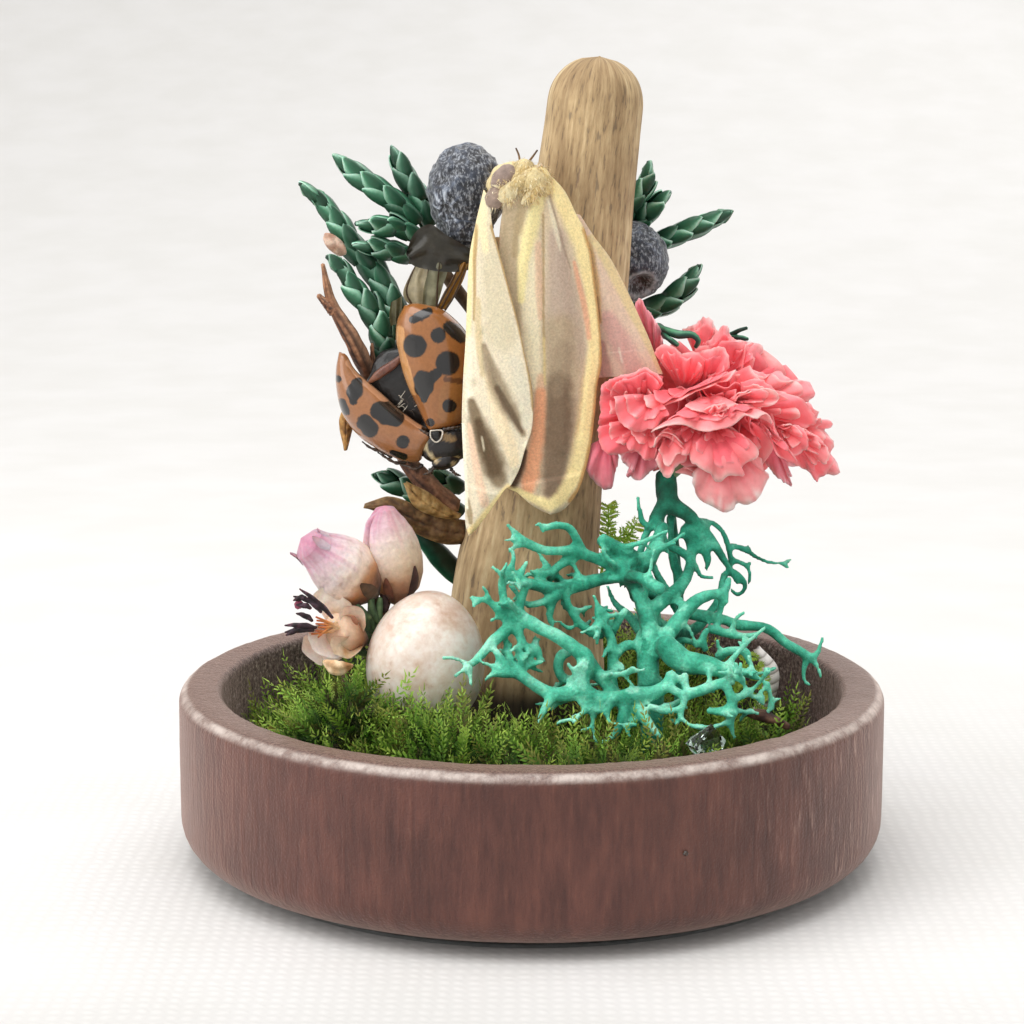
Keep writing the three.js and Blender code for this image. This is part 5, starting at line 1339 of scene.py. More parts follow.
def makeJuniper():
    finish = makeJuniperMaterial()
    leaf = scaleLeaf(finish)
    cores = []
    for number, (key, (controls, leafSize, openTip)) in enumerate(juniperSprigs.items()):
        points, faces, along, _ = sweep(controls[::-1], [0.24 * leafSize, 0.24 * leafSize, 0.1], 8, 60)
        cores.append((points, faces, along * 0.1, np.full(len(points), 0.2)))
        piece = placeCopies("juniperSprig_" + key, leaf,
                            sprigSpots(controls, leafSize, openTip, number + 1), finish)
        place(piece, "juniper_leaf", "juniper_sprig_" + key)
    points, faces, rim, shade = gather(cores)
    core = meshPiece("juniperSprigStems", points, faces, finish, attributes={"rim": rim, "shade": shade})
    place(core, "juniper_leaf")
    bpy.data.objects.remove(leaf)
    smoothLeaf = tintedMaterial("juniperSmoothShoot", {"Roughness": 0.38, "IOR": 1.45}, 5000.0, 0.75,
                                1.15, 0.3)
    hooked = [  # two thin dark shoots behind the flower, and one smooth blade under the twig
        ("right_5", [
            ([(3.6, 5.2, 20.8), (4.6, 3.6, 21.6), (5.2, 0.8, 22.52), (5.47, -1.0, 22.6), (6.0, -1.9, 22.5),
              (6.57, -2.0, 22.5), (6.84, -2.0, 22.24), (6.73, -1.9, 21.98)],
             [0.26, 0.22, 0.18, 0.15, 0.15, 0.16, 0.17, 0.1]),
            ([(5.3, -0.4, 22.5), (5.57, -1.6, 22.34), (6.0, -1.9, 22.06)], [0.12, 0.13, 0.1])]),
        ("right_6", [
            ([(4.2, 5.9, 20.9), (5.8, 4.6, 20.8), (7.4, 2.6, 21), (8.22, 1.6, 21.9), (8.71, 0.9, 22.34),
              (9.08, 0.8, 22.48)], [0.28, 0.26, 0.22, 0.2, 0.17, 0.08]),
            ([(8.22, 1.5, 21.95), (8.71, 0.9, 22.05), (9.13, 0.8, 22.01)], [0.16, 0.16, 0.08])]),
        ("low_3", [
            ([(-2.6, 2.9, 10.9), (-3.6, 2.6, 11.9), (-4.3, 2.1, 12.8), (-4.9, 1.8, 13.5),
              (-5.35, 1.7, 13.95)],
             [0.4, 0.5, 0.5, 0.36, 0.05])])]
    for key, branches in hooked:
        parts = []
        twist = 0.1 if key != "low_3" else 0  # the blade is smooth
        for controls, radii in branches:
            points, faces, _, angles = sweep(controls, radii, 16, 60,
                                             lambda t, a: 1 + twist * math.sin(18 * t + 2 * a))
            edge = 0.5 + 0.5 * np.cos(angles * (2 if twist else 1))
            shake = 0.25 * wobbles(points, 2.6, 3)
            parts.append((points, faces,
                          blendColours(["#0e3026", "#1d5240", "#5ea077"], [0.2, 0.75, 1.1], edge + shake)))
        paintedPiece("juniperShoot_" + key, gather(parts), smoothLeaf, "juniper_leaf", "juniper_sprig_" + key)
    # Scaly grey-brown juniper bark
    bark = tintedMaterial("juniperBark", {"Roughness": 0.9}, 3000.0, 0.6, 1.3, 0.9, 0.0001)
    stems = {
        "left": ([(0, 5.6, 2.3), (0, 5.6, 9), (-0.1, 5.3, 13), (-0.4, 4.9, 18), (-1.6, 4.3, 21.5),
                  (-3.5, 3.6, 24.2), (-4.5, 3.2, 25.7)], [0.55, 0.5, 0.45, 0.4, 0.36, 0.3, 0.24]),
        "right": ([(0.9, 5.3, 15.2), (2, 5.5, 19), (3, 6.1, 22), (4, 6.4, 25)], [0.4, 0.36, 0.3, 0.22])}
    for side, (controls, radii) in stems.items():
        points, faces, along, angles = sweep(controls, radii, 20, 110,
                                             lambda t, a: 1 + 0.09 * math.sin(3 * a + 30 * t)
                                             + 0.05 * math.sin(70 * t))
        tint = blendColours(["#3a2a1e", "#5f4a36", "#83705a"], [-0.5, 0.1, 0.6], wobbles(points, 1.8, 6))
        paintedPiece("juniperStem_" + side, (points, faces, tint), bark, "juniper_bark",
                     "juniper_stem_" + side)


# juniper berries

def makeBerries():
    # Dried juniper cones: blue-black skin, wrinkled, with grey wax bloom worn off the ridges
    skin = tintedMaterial("driedBerrySkin", {"Roughness": 0.5, "IOR": 1.45, "Sheen Weight": 0.25,
                                             "Sheen Roughness": 0.6}, 5000.0, 0.72, 1.2, 0.35, 0.00006)
    addFlecks(skin, "#d3d8e0",
              {"stretch": (1, 1, 0.5), "scale": 9500.0, "start": 0.48, "full": 0.7, "most": 0.52})

    def berry(centre, radii, pole, puckers, seed, opening=0.0):
        pole = unit(pole)
        east = unit(np.cross(pole, (0.2, 0.1, 1)))
        north = np.cross(pole, east)

        def values(p):
            p = unit(p)
            away = math.acos(max(-1, min(1, p @ pole)))
            turn = math.atan2(p @ north, p @ east)
            fold = max(0, math.cos(8 * turn + 0.9 * math.sin(2 * turn))) ** 2
            fold *= math.exp(-((away - 0.26) / 0.22) ** 2)
            ridge = 1 - abs(wobble(p, 1.9, seed)) * 2.4
            crease = 1 - abs(wobble((p[0] * 0.6, p[1], p[2] * 1.5), 3.6, seed + 3)) * 2.6
            pit = math.exp(-(away / (0.12 if not opening else 0.36)) ** 4)
            return fold * puckers, ridge, crease, pit

        def change(p):
            fold, ridge, crease, pit = values(p)
            return (1 + 0.045 * max(-1, ridge) + 0.026 * max(-1, crease) + 0.025 * fold
                    - (0.07 + 0.5 * opening) * pit)

        points, faces = ellipsoid(centre, radii, (0, 0, 1), 110, 130, change)
        bloomAndTopLight = []
        for p in points:
            fold, ridge, crease, pit = values((p - np.array(centre)) / np.array(radii))
            # the last term makes each berry paler towards its top: painted light from above
            bloomAndTopLight.append(0.2 + 0.14 * max(-0.6, ridge) + 0.3 * max(-0.5, crease) + 0.8 * fold - 0.8 * pit
                         + 0.2 * wobble(p, 1.3, seed) + 0.3 * wobble(p, 5, seed) + 0.05 * (p[2] - centre[2]))
        tint = blendColours(["#0b0a10", "#141722", "#252c3b", "#566072", "#c6ced8"],
                            [0, 0.3, 0.58, 0.86, 1.2], np.array(bloomAndTopLight))
        return points, faces, tint

    upper = berry((-2.75, 1.1, 28.2), (1.6, 1.55, 1.9), (-0.52, -0.8, -0.36), 1, 4)
    lower = berry((-2.8, 1, 26.85), (1.15, 1.2, 1.1), (-0.5, -0.7, 0.5), 0.6, 9)
    paintedPiece("juniperBerryLeft", gather([upper, lower]), skin, "berry_skin", "berry_left")
    centre, radii = np.array([4.3, 4.35, 25]), np.array([1.6, 1.55, 1.65])
    points, faces, tint = berry(tuple(centre), tuple(radii), (0.25, -0.75, -0.62), 0.35, 14, 0.55)
    mouth = unit((0.25, -0.75, -0.62))
    for i, p in enumerate(points):  # the split end is open, dark brown inside, with a pale lip
        away = math.acos(max(-1, min(1, unit((p - centre) / radii) @ mouth)))
        inside, lip = math.exp(-(away / 0.33) ** 4), math.exp(-((away - 0.44) / 0.05) ** 2)
        tint[i] = blend(tint[i], "#38231c", inside)
        tint[i] = blend(tint[i], "#aab2b6", 0.8 * lip)
    paintedPiece("juniperBerryRight", (points, faces, tint), skin, "berry_skin", "berry_right")


makeJuniper()
makeBerries()
print("juniper done")


# brown twig and dried leaves

def makeTwig():
    # Thin peeled-looking shrub twig: red-brown bark with black pores and a pinkish painted highlight along
    # one side
    bark = tintedMaterial("redBrownBark", {"Roughness": 0.7, "IOR": 1.45}, 4200.0, 0.55, 1.3, 0.8, 0.0001)
    branches = [
        ([(-8.75, 0.4, 25.2), (-8.4, 0.5, 23.6), (-7.6, 0.6, 22.1), (-7, 1.3, 20.7), (-6.3, 2.1, 19.3),
          (-5.7, 2, 17.8), (-5.2, 1.3, 16.6), (-4.1, 0.9, 15.5), (-3.3, 0.9, 14.8)],
         [0.08, 0.34, 0.4, 0.4, 0.42]),
        ([(-8.95, 0.4, 23.9), (-8.3, 0.5, 23.2)], [0.1, 0.26]),
        ([(-6.75, 1, 21.8), (-6.7, 1.4, 20.8), (-6.3, 2, 19.4)], [0.06, 0.16, 0.2])]
    parts = []
    for controls, radii in branches:
        points, faces, along, angles = sweep(
            controls, radii, 24, 150,
            lambda t, a: 1 + 0.1 * wobble((math.cos(a), math.sin(a), 16 * t), 1.5, 3)
            + 0.08 * max(0, math.sin(24 * t)) ** 3)
        ground = np.array([wobble((math.cos(a) * 2.4, math.sin(a) * 2.4, 7 * t), 1.0, 2)
                           + 0.45 * wobble(p, 4.5, 7)
                           for p, a, t in zip(points, angles, along)]) + 0.5 * np.exp(-(along / 0.16) ** 2)
        tint = blendColours(["#2a1a14", "#5f3d2d", "#86593f", "#b18261"], [-0.5, -0.1, 0.3, 0.75], ground)
        # painted highlight: one side of each branch is lightened pink where the light catches it
        edge = np.clip(np.cos(angles - 0.25), 0, 1)[:, None] ** 6 * 0.5
        parts.append((points, faces, blend(tint, "#cfa384", edge)))
    paintedPiece("brownTwig", gather(parts), bark, "brown_bark", "brown_twig")
    points, faces, _, _ = sweep([(8.6, -7.4, 7.9), (9.4, -7.3, 7.7), (10.3, -7, 7.2)],
                                [0.16, 0.24, 0.2, 0.12], 18, 40,
                                lambda t, a: 1 + 0.12 * math.sin(2 * a + 9 * t))
    tint = blendColours(["#2c1c15", "#50342a", "#7b5a48"], [-0.5, 0, 0.5], wobbles(points, 3, 8))
    paintedPiece("bedTwig", (points, faces, tint), bark, "brown_bark", "bed_twig")


driedLeaves = {  # two long edges, thickness, colours from deep to pale, curl
    "dried_leaf_pointed": ([(-7.5, 1.3, 19.6), (-8.15, 0.9, 18.6), (-7.95, 0.5, 17.3)],
                           [(-7.1, 1.3, 19.6), (-7.5, 0.9, 18.6), (-7.85, 0.5, 17.3)], 0.06,
                           ["#4f3319", "#a0733a", "#cfa05f"], 0.12),
    "dried_leaf_upper": ([(-5.4, -0.3, 16), (-4.95, -0.2, 15), (-3.9, 0.1, 14.45), (-3.1, 0.5, 14.35)],
                         [(-5.3, -0.3, 16.05), (-4.4, -0.2, 15.6), (-3.6, 0.1, 14.9), (-3.0, 0.5, 14.5)],
                         0.06, ["#59401f", "#a98550", "#c9a871"], 0.1),
    "dried_leaf_lower": ([(-7.1, -0.5, 15), (-6, -0.4, 14.6), (-4.9, -0.1, 13.8), (-3.8, 0.2, 13.3),
                          (-2.9, 0.6, 13.2)],
                         [(-7.05, -0.5, 15.1), (-6, -0.4, 15.4), (-4.9, -0.1, 15.0), (-3.7, 0.2, 14.45),
                          (-2.8, 0.6, 14.2)], 0.08,
                         ["#3c2a1c", "#6b4f33", "#8d7048"], 0.16)}


def makeDriedLeaves():
    # Dried leaf: leathery tan to brown, sunken side veins, paler worn margin, dark specks
    leather = tintedMaterial("driedLeaf", {"Roughness": 0.62, "IOR": 1.4, "Subsurface Weight": 0.1,
                                           "Subsurface Scale": 0.0003}, 4500.0, 0.62, 1.25, 0.7, 0.00008)
    for node, (a, b, thickness, codes, curl) in driedLeaves.items():
        points, faces, uv = ruledSheet(a, b, 26, 70)
        u, v = uv[:, 0], uv[:, 1]
        veins = np.abs(np.sin(math.pi * (5.5 * v + 1.6 * np.abs(u - 0.5))))
        middle = np.exp(-((u - 0.5) / 0.07) ** 2)
        points[:, 1] += curl * (2 * np.abs(u - 0.5)) ** 2 * 2 - 0.04 * veins + 0.05 * middle
        points[:, 1] += 0.12 * wobbles(points, 1.1, 5) + 0.05 * wobbles(points, 3.2, 2)
        value = 0.4 + 0.25 * veins - 0.3 * middle + 0.5 * wobbles(points, 2.1,
                                                                  3) + 0.35 * wobbles(points, 6, 1)
        tint = blendColours(codes, [0, 0.5, 1], value)
        rim = np.exp(-np.minimum(u, 1 - u) / 0.035)[:, None] * 0.7
        tint = blend(tint, "#b5976a", rim)
        sheetPiece(node.title().replace("_", ""), (points, faces, tint), leather, thickness,
                   "dried_leaf", node)
    # the loose cone scale by the sprigs is a pinkish dry shell
    points, faces = ellipsoid((-8.3, 1.3, 25.95), (0.32, 0.2, 0.62), (-0.7, -0.1, 0.7), 20, 24,
                              lambda p: 1 + 0.06 * wobble(p, 2, 2))
    tint = blendColours(["#8a6047", "#c9a08a", "#e0c2ae"], [-0.5, 0, 0.4], wobbles(points, 3, 1))
    paintedPiece("juniperConeScale", (points, faces, tint), leather, "dried_leaf", "juniper_cone_scale")


makeTwig()
makeDriedLeaves()
print("twig and leaves done")


# heather

heatherSizes = {
    "left": {"route": [(-6.55, -3.2, 11.9), (-7.9, -4, 13.2), (-9.1, -4.6, 14.25)],
             "radii": [0.45, 1.0, 1.24, 1.34, 1.3, 1.12, 0.86, 0.72]},
    "upright": {"route": [(-5.61, -2.8, 11.5), (-5.71, -2.95, 13.2), (-6.0, -3.1, 14.6),
                          (-6.07, -3.2, 15.45)],
                "radii": [0.4, 0.98, 1.18, 1.22, 1.17, 1.06, 0.84, 0.42]}}
bellStops = ([0, 0.12, 0.25, 0.38, 0.6, 0.85, 1],
             ["#3b2416", "#7a4a2a", "#bf8250", "#e6cbb4", "#efe0da", "#ddbcc8", "#c394a6"])


def bellSkin(key):  # a point at a share of the bell's length and an angle; 0 is left, 90 front
    d = heatherSizes[key]
    path = pathPoints(d["route"], 101)
    tangents, across, up = frames(path)
    radius = spread(d["radii"], 101)

    def at(t, degrees, extra=0.0):
        i = int(round(min(max(t, 0), 1) * 100))
        a = math.radians(degrees)
        out = math.cos(a) * across[i] + math.sin(a) * up[i]
        return path[i] + out * (radius[i] + extra) + tangents[i] * max(0, t - 1) * 4

    return at


def lobe(at, degrees, start, end, half, lift, curl=0.0):  # a pointed blade that lies on the bell's skin
    def surface(u, v):
        t = start + (end - start) * v
        wide = half * math.sin(math.pi * (0.18 + 0.8 * v)) ** 0.8
        return at(t, degrees + (u - 0.5) * 2 * wide,
                  lift + curl * v * v + 0.03 * math.cos(math.pi * (u - 0.5)))

    return grid(surface, 8, 14)


def makeHeather():
    # Dried heath flowers: papery cream-pink bells going brown at the base, mauve at the mouth
    petal = tintedMaterial("driedHeathPetal", {"Roughness": 0.6, "IOR": 1.4, "Subsurface Weight": 0.25,
                                               "Subsurface Scale": 0.0005, "Sheen Weight": 0.15},
                           5200.0, 0.86, 1.08, 0.4, 0.00006)
    sepal = [("#74432f", 92, 11, 0.02, 0.34), ("#4a2c26", 152, 12, 0.0, 0.42),
             ("#5a4028", 250, 17, 0.0, 0.36),
             ("#5a3a28", 330, 16, 0.0, 0.34)]
    leftSepal = [("#5a4028", 122, 15, 0.0, 0.4), ("#3e3a2a", 32, 13, 0.0, 0.46),
                 ("#4a2e1e", 210, 16, 0.0, 0.36),
                 ("#4a3322", 300, 16, 0.0, 0.36)]
    for key, node, sepals in (("left", "heather_bell_left", leftSepal),
                              ("upright", "heather_bell_upright", sepal)):
        d = heatherSizes[key]

        def ripple(t, angle):
            ribs = 0.028 * math.cos(4 * (angle - 0.9)) * math.sin(math.pi * t)
            lump = 0.03 * noise.noise(Vector((math.cos(angle) * 1.4, math.sin(angle) * 1.4,
                                              3 * t + len(key))))
            seam = 0.0
            if key == "upright":  # the left petal folds over in a long crease
                gap = (math.degrees(angle) - 52 + 6 * t) / 8
                seam = -0.3 * math.exp(-gap * gap) * min(1, max(0, t - 0.35) * 3)
                seam -= 0.45 * max(0, t - 0.9) * 10 * (angle < math.radians(46))
            return 1 + ribs + lump + seam

        points, faces, along, angles = sweep(d["route"], d["radii"], 72, 90, ripple)
        shift = 0.09 * wobbles(points, 0.9, 3) + 0.05 * wobbles(points, 2.6, 5)
        side = 0.14 * np.cos(angles - (2.2 if key == "left" else 3.0))
        tint = blendColours(bellStops[1], bellStops[0], np.clip(along + shift - side * (1 - along), 0, 1))
        streaks = np.array([wobble((math.cos(a) * 5, math.sin(a) * 5, 1.6 * t), 1.0, 8)
                            for a, t in zip(angles, along)])
        mauve = (np.clip(streaks * 1.8 + 0.15, 0, 1) * np.clip((along - 0.45) * 2, 0, 1))[:, None] * 0.7
        tint = blend(tint, "#c77f9a", mauve)
        if key == "left":  # grey-mauve bruises on the front
            bruise = wobbles(points, 2.4, 2) + 0.6 * wobbles(points, 6.5, 9)
            bruise = np.clip(bruise - 0.05, 0, 1)
            amount = bruise * np.exp(-((along - 0.55) / 0.2) ** 2) * np.clip(np.sin(angles), 0, 1)
            amount = amount[:, None]
            tint = blend(tint, "#9a8088", amount)
        else:  # the right side is plain beige
            amount = (np.clip(np.cos(angles - 2.75), 0, 1) ** 1.5 * np.clip(1.2 - along, 0, 0.75))[:, None]
            tint = blend(tint, "#dcc3a3", amount)
        spots = wobbles(points, 3.4, 6) + 0.7 * wobbles(points, 8, 3)
        spots = (np.clip(spots - 0.12, 0, 1) * np.clip(1.15 - along, 0, 1))[:, None]
        tint = blend(tint, "#a5745a", 0.75 * spots)
        if key == "upright":
            seamShade = np.exp(-((np.degrees(angles) - 52 + 6 * along) / 7) ** 2)
            seamShade = (seamShade * np.clip(along * 2 - 0.5, 0, 1))[:, None] * 0.85
            tint = blend(tint, "#8f5563", seamShade)
            foot = np.clip(np.cos(angles - 2.4), 0, 1) * np.clip(1.25 - along * 2.6, 0, 1)
            tint = blend(tint, "#8d5c3e", foot[:, None])
        parts = [(points, faces, tint)]
        at = bellSkin(key)
        tips = [(15, 0.88, 1.08, 13, 0.05), (150, 0.86, 1.1, 13, 0.08), (200, 0.9, 1.05, 16, 0)]
        for degrees, start, end, half, curl in tips if key == "left" else []:
            sheet, flatFaces, uv = lobe(at, degrees, start, end, half, 0.0, curl)
            both, bothFaces = doubled(sheet, flatFaces, (0, 0, -0.05))
            shade = blendColours(["#dfc0c6", "#c596a6"], [0, 1], np.concatenate([uv[:, 1], uv[:, 1]]))
            parts.append((both, bothFaces, shade))
        for code, degrees, half, start, end in sepals:
            sheet, flatFaces, uv = lobe(at, degrees, start, end, half, 0.05)
            both, bothFaces = doubled(sheet, flatFaces, -0.04 * (sheet - at(0.2, 0)) * 0.3)
            dark = np.array(hexColour(code))
            grain = 0.8 + 0.5 * wobbles(both, 4, 1)[:, None]
            parts.append((both, bothFaces, np.clip(dark * grain, 0, 1)))
        paintedPiece("heatherBell" + key.title(), gather(parts), petal, "heather_petal", node)
    makeOpenFlower(petal)
    makeHeatherStem()


def bentPetal(base, middle, tip, wide, cup, codes, seed):  # a curved petal between three points
    path = pathPoints([base, middle, tip], 25)
    tangents = frames(path)[0]
    toward = unit((-0.2, -1, 0.3))

    def surface(u, v):
        i = round(v * 24)
        side = unit(np.cross(tangents[i], toward))
        face = np.cross(side, tangents[i])
        half = wide * math.sin(math.pi * (0.12 + 0.82 * v)) ** 0.6
        s = (u - 0.5) * 2
        return path[i] + side * half * s + face * cup * (s * s - 0.5) * math.sin(math.pi * (0.1 + 0.8 * v))

    points, faces, uv = grid(surface, 16, 24)
    for p in points:
        p += 0.11 * np.array([wobble(p, 1.9, seed), wobble(p, 1.9, seed + 3), wobble(p, 1.9, seed + 6)])
    value = uv[:, 1] + 0.35 * wobbles(points, 2.4, seed) + 0.15 * wobbles(points, 6, seed)
    tint = blendColours(codes, [0, 0.35, 0.8], value)
    return *doubled(points, faces, (0, 0.05, 0.01)), np.vstack([tint, tint])


def makeOpenFlower(petal):
    cream = ["#c98f5c", "#eed3c5", "#f0dcd4"]
    parts = [bentPetal((-7.5, -4.7, 10.45), (-8.2, -5.9, 10.55), (-8.95, -6.3, 10.95), 0.75, 0.4, cream, 2),
             bentPetal((-7.5, -4.6, 10.5), (-8.3, -5.4, 10.1), (-9.3, -5.8, 10.3), 0.72, 0.4, cream, 5),
             bentPetal((-7.5, -4.6, 10.5), (-7.9, -4.7, 11.4), (-8.75, -4.9, 12.35), 0.62, 0.25,
                       ["#c98f5c", "#f0d6c2", "#f3e3d6"], 8),
             bentPetal((-7.4, -4.7, 10.5), (-7.35, -5.2, 11.25), (-7.7, -5.6, 11.75), 0.62, 0.3,
                       ["#b07a4a", "#e8c2a4", "#efd8c8"], 11),
             bentPetal((-7.2, -4.9, 10.2), (-7.55, -5.9, 10.25), (-8.1, -6.4, 10.6), 0.5, 0.25,
                       ["#7a4a2a", "#b9824e", "#e6c9b0"], 14)]
    cup = sweep([(-6.9, -4.3, 10.2), (-7.5, -4.9, 10.45), (-8.1, -5.4, 10.75)],
                [0.3, 0.62, 0.85, 0.8], 26, 20)
    parts.append((cup[0], cup[1], blendColours(["#4a2c1a", "#a9744a", "#e6c3a6"], [0, 0.45, 0.9], cup[2])))
    rng = random.Random(8)
    for k in range(7):  # orange stalks of the stamens
        root = np.array([-7.95, -5.95, 11.0]) + 0.12 * np.array([rng.gauss(0, 1), 0, rng.gauss(0, 1)])
        tip = np.array([-8.6 - 0.3 * rng.random(), -6.35, 11.1 + 0.14 * (k - 2.5)])
        stalk = sweep([root, (root + tip) / 2 + np.array([0, -0.05, rng.uniform(-0.1, 0.1)]), tip],
                      [0.07, 0.05, 0.04], 7, 12)
        parts.append((stalk[0], stalk[1],
                      blendColours(["#efc49c", "#e58f4e", "#a4522a"], [0, 0.5, 1], stalk[2])))
    rods = [((-8.05, -6.1, 11.5), (-9.35, -6.4, 12.76)), ((-8.5, -6.2, 12.0), (-9.6, -6.4, 12.45)),
            ((-8.85, -6.3, 11.42), (-9.5, -6.4, 11.75)), ((-8.7, -6.35, 11.15), (-9.95, -6.6, 11.3)),
            ((-8.8, -6.35, 11.05), (-9.95, -6.6, 11.02)), ((-8.5, -6.2, 11.75), (-9.05, -6.35, 12.25)),
            ((-9.1, -6.35, 12.4), (-9.6, -6.5, 12.3)), ((-8.9, -6.35, 11.95), (-9.5, -6.45, 12.1)),
            ((-9.3, -6.45, 11.15), (-9.9, -6.65, 10.9))]
    for start, end in rods:
        middle = tuple((a + b) / 2 + 0.04 for a, b in zip(start, end))
        rod = sweep([start, middle, end], [0.06, 0.12, 0.1, 0.03], 12, 20,
                    lambda t, a: 1 + 0.15 * math.sin(3 * a + 12 * t))
        shade = wobbles(rod[0], 5, 2)
        parts.append((rod[0], rod[1],
                      blendColours(["#1c1114", "#34222a", "#5c4350"], [-0.4, 0.1, 0.6], shade)))
    bead = ellipsoid((-9.4, -6.3, 12.1), (0.17, 0.13, 0.2), (0.3, 0, 1), 20, 24,
                     lambda q: 1 + 0.2 * wobble(q, 1.6, 4))
    parts.append((bead[0], bead[1], flatColour("#8a4058", bead[0])))
    dark = ellipsoid((-7.2, -5.7, 11.32), (0.24, 0.07, 0.11), (0.8, 0, 0.5), 28, 36)
    parts.append((dark[0], dark[1], flatColour("#94644a", dark[0])))
    paintedPiece("heatherFlowerOpen", gather(parts), petal, "heather_petal", "heather_flower_open")


def makeHeatherStem():
    # Heath stem with short blunt needles: olive green, dusty, brown at the joints
    finish = tintedMaterial("heathStemNeedles", {"Roughness": 0.7}, 4500.0, 0.7, 1.25, 0.6, 0.00007)
    stems = [([(-7.7, -3.9, 3.6), (-7.6, -3.9, 9), (-7, -3.5, 10.5), (-6.2, -3, 11.1), (-6, -2.95, 11.9)],
              [0.24, 0.23, 0.22, 0.2], "#6b4a33", "#4c3826"),
             ([(-7.5, -3.9, 9.3), (-7.5, -4.2, 10.2)], [0.2, 0.16], "#6b4a33", "#4c3826"),
             ([(-6.6, -3.6, 11.1), (-6.55, -3.5, 11.6), (-6.55, -3.3, 12.0)], [0.16, 0.2, 0.22], "#5a4a30",
              "#3a2a1e"),
             ([(-6.05, -3.5, 11.2), (-6.1, -3.4, 11.75), (-6.2, -3.4, 12.3)], [0.14, 0.17, 0.13], "#4a3430",
              "#38282a")]
    needles = [((-6.55, -3.9, 10.3), (-6.6, -4, 12.0)), ((-6.3, -3.9, 10.6), (-6.25, -3.9, 11.85)),
               ((-6.65, -4.3, 11.1), (-7.15, -4.7, 11.7)), ((-6.6, -4.3, 10.2), (-7.1, -4.8, 10.95)),
               ((-6.75, -4.5, 9.6), (-7.5, -5.2, 10.25)), ((-6.9, -4.3, 10.5), (-6.85, -4.6, 11.35)),
               ((-6.5, -4.0, 9.9), (-6.9, -4.5, 10.6)), ((-7.1, -4.6, 9.3), (-7.75, -5.4, 9.75)),
               ((-6.34, -4, 10.86), (-6.66, -4.1, 11.85)), ((-6.9, -4.3, 10.67), (-7.23, -4.5, 11.26)),
               ((-6.9, -4.5, 9.79), (-7.34, -4.8, 10.49)), ((-6.66, -4.2, 10.48), (-6.98, -4.4, 11.37))]
    parts = []
    for controls, radii, pale, deep in stems:
        points, faces, _, _ = sweep(controls, radii, 14, 40, lambda t, a: 1 + 0.08 * math.sin(3 * a + 22 * t))
        parts.append((points, faces, blendColours([deep, pale], [-0.4, 0.4], wobbles(points, 3, 4))))
    for start, end in needles:
        middle = tuple((a + b) / 2 - 0.03 for a, b in zip(start, end))
        points, faces, _, angles = sweep([start, middle, end], [0.1, 0.16, 0.165, 0.16, 0.1], 12, 18)
        value = 0.5 * np.cos(angles - 1.2) + 0.5 * wobbles(points, 3.5, 1)
        parts.append((points, faces,
                      blendColours(["#1f2b1c", "#425c3b", "#77905f"], [-0.5, 0.15, 0.8], value)))
    curl = sweep([(-8.35, -7.2, 9.95), (-7.8, -7.35, 9.72), (-7.2, -7.2, 9.8)], [0.1, 0.32, 0.3, 0.06],
                 16, 24, lambda t, a: 0.55 + 0.45 * abs(math.cos(a)))
    parts.append((curl[0], curl[1], blendColours(["#a9784a", "#d9b48a", "#ecd3b0"], [-0.4, 0.1, 0.5],
                                                 wobbles(curl[0], 2.5, 4))))
    paintedPiece("heatherStem", gather(parts), finish, "heather_bark", "heather_stem")


makeHeather()
print("heather done")


# reindeer lichen

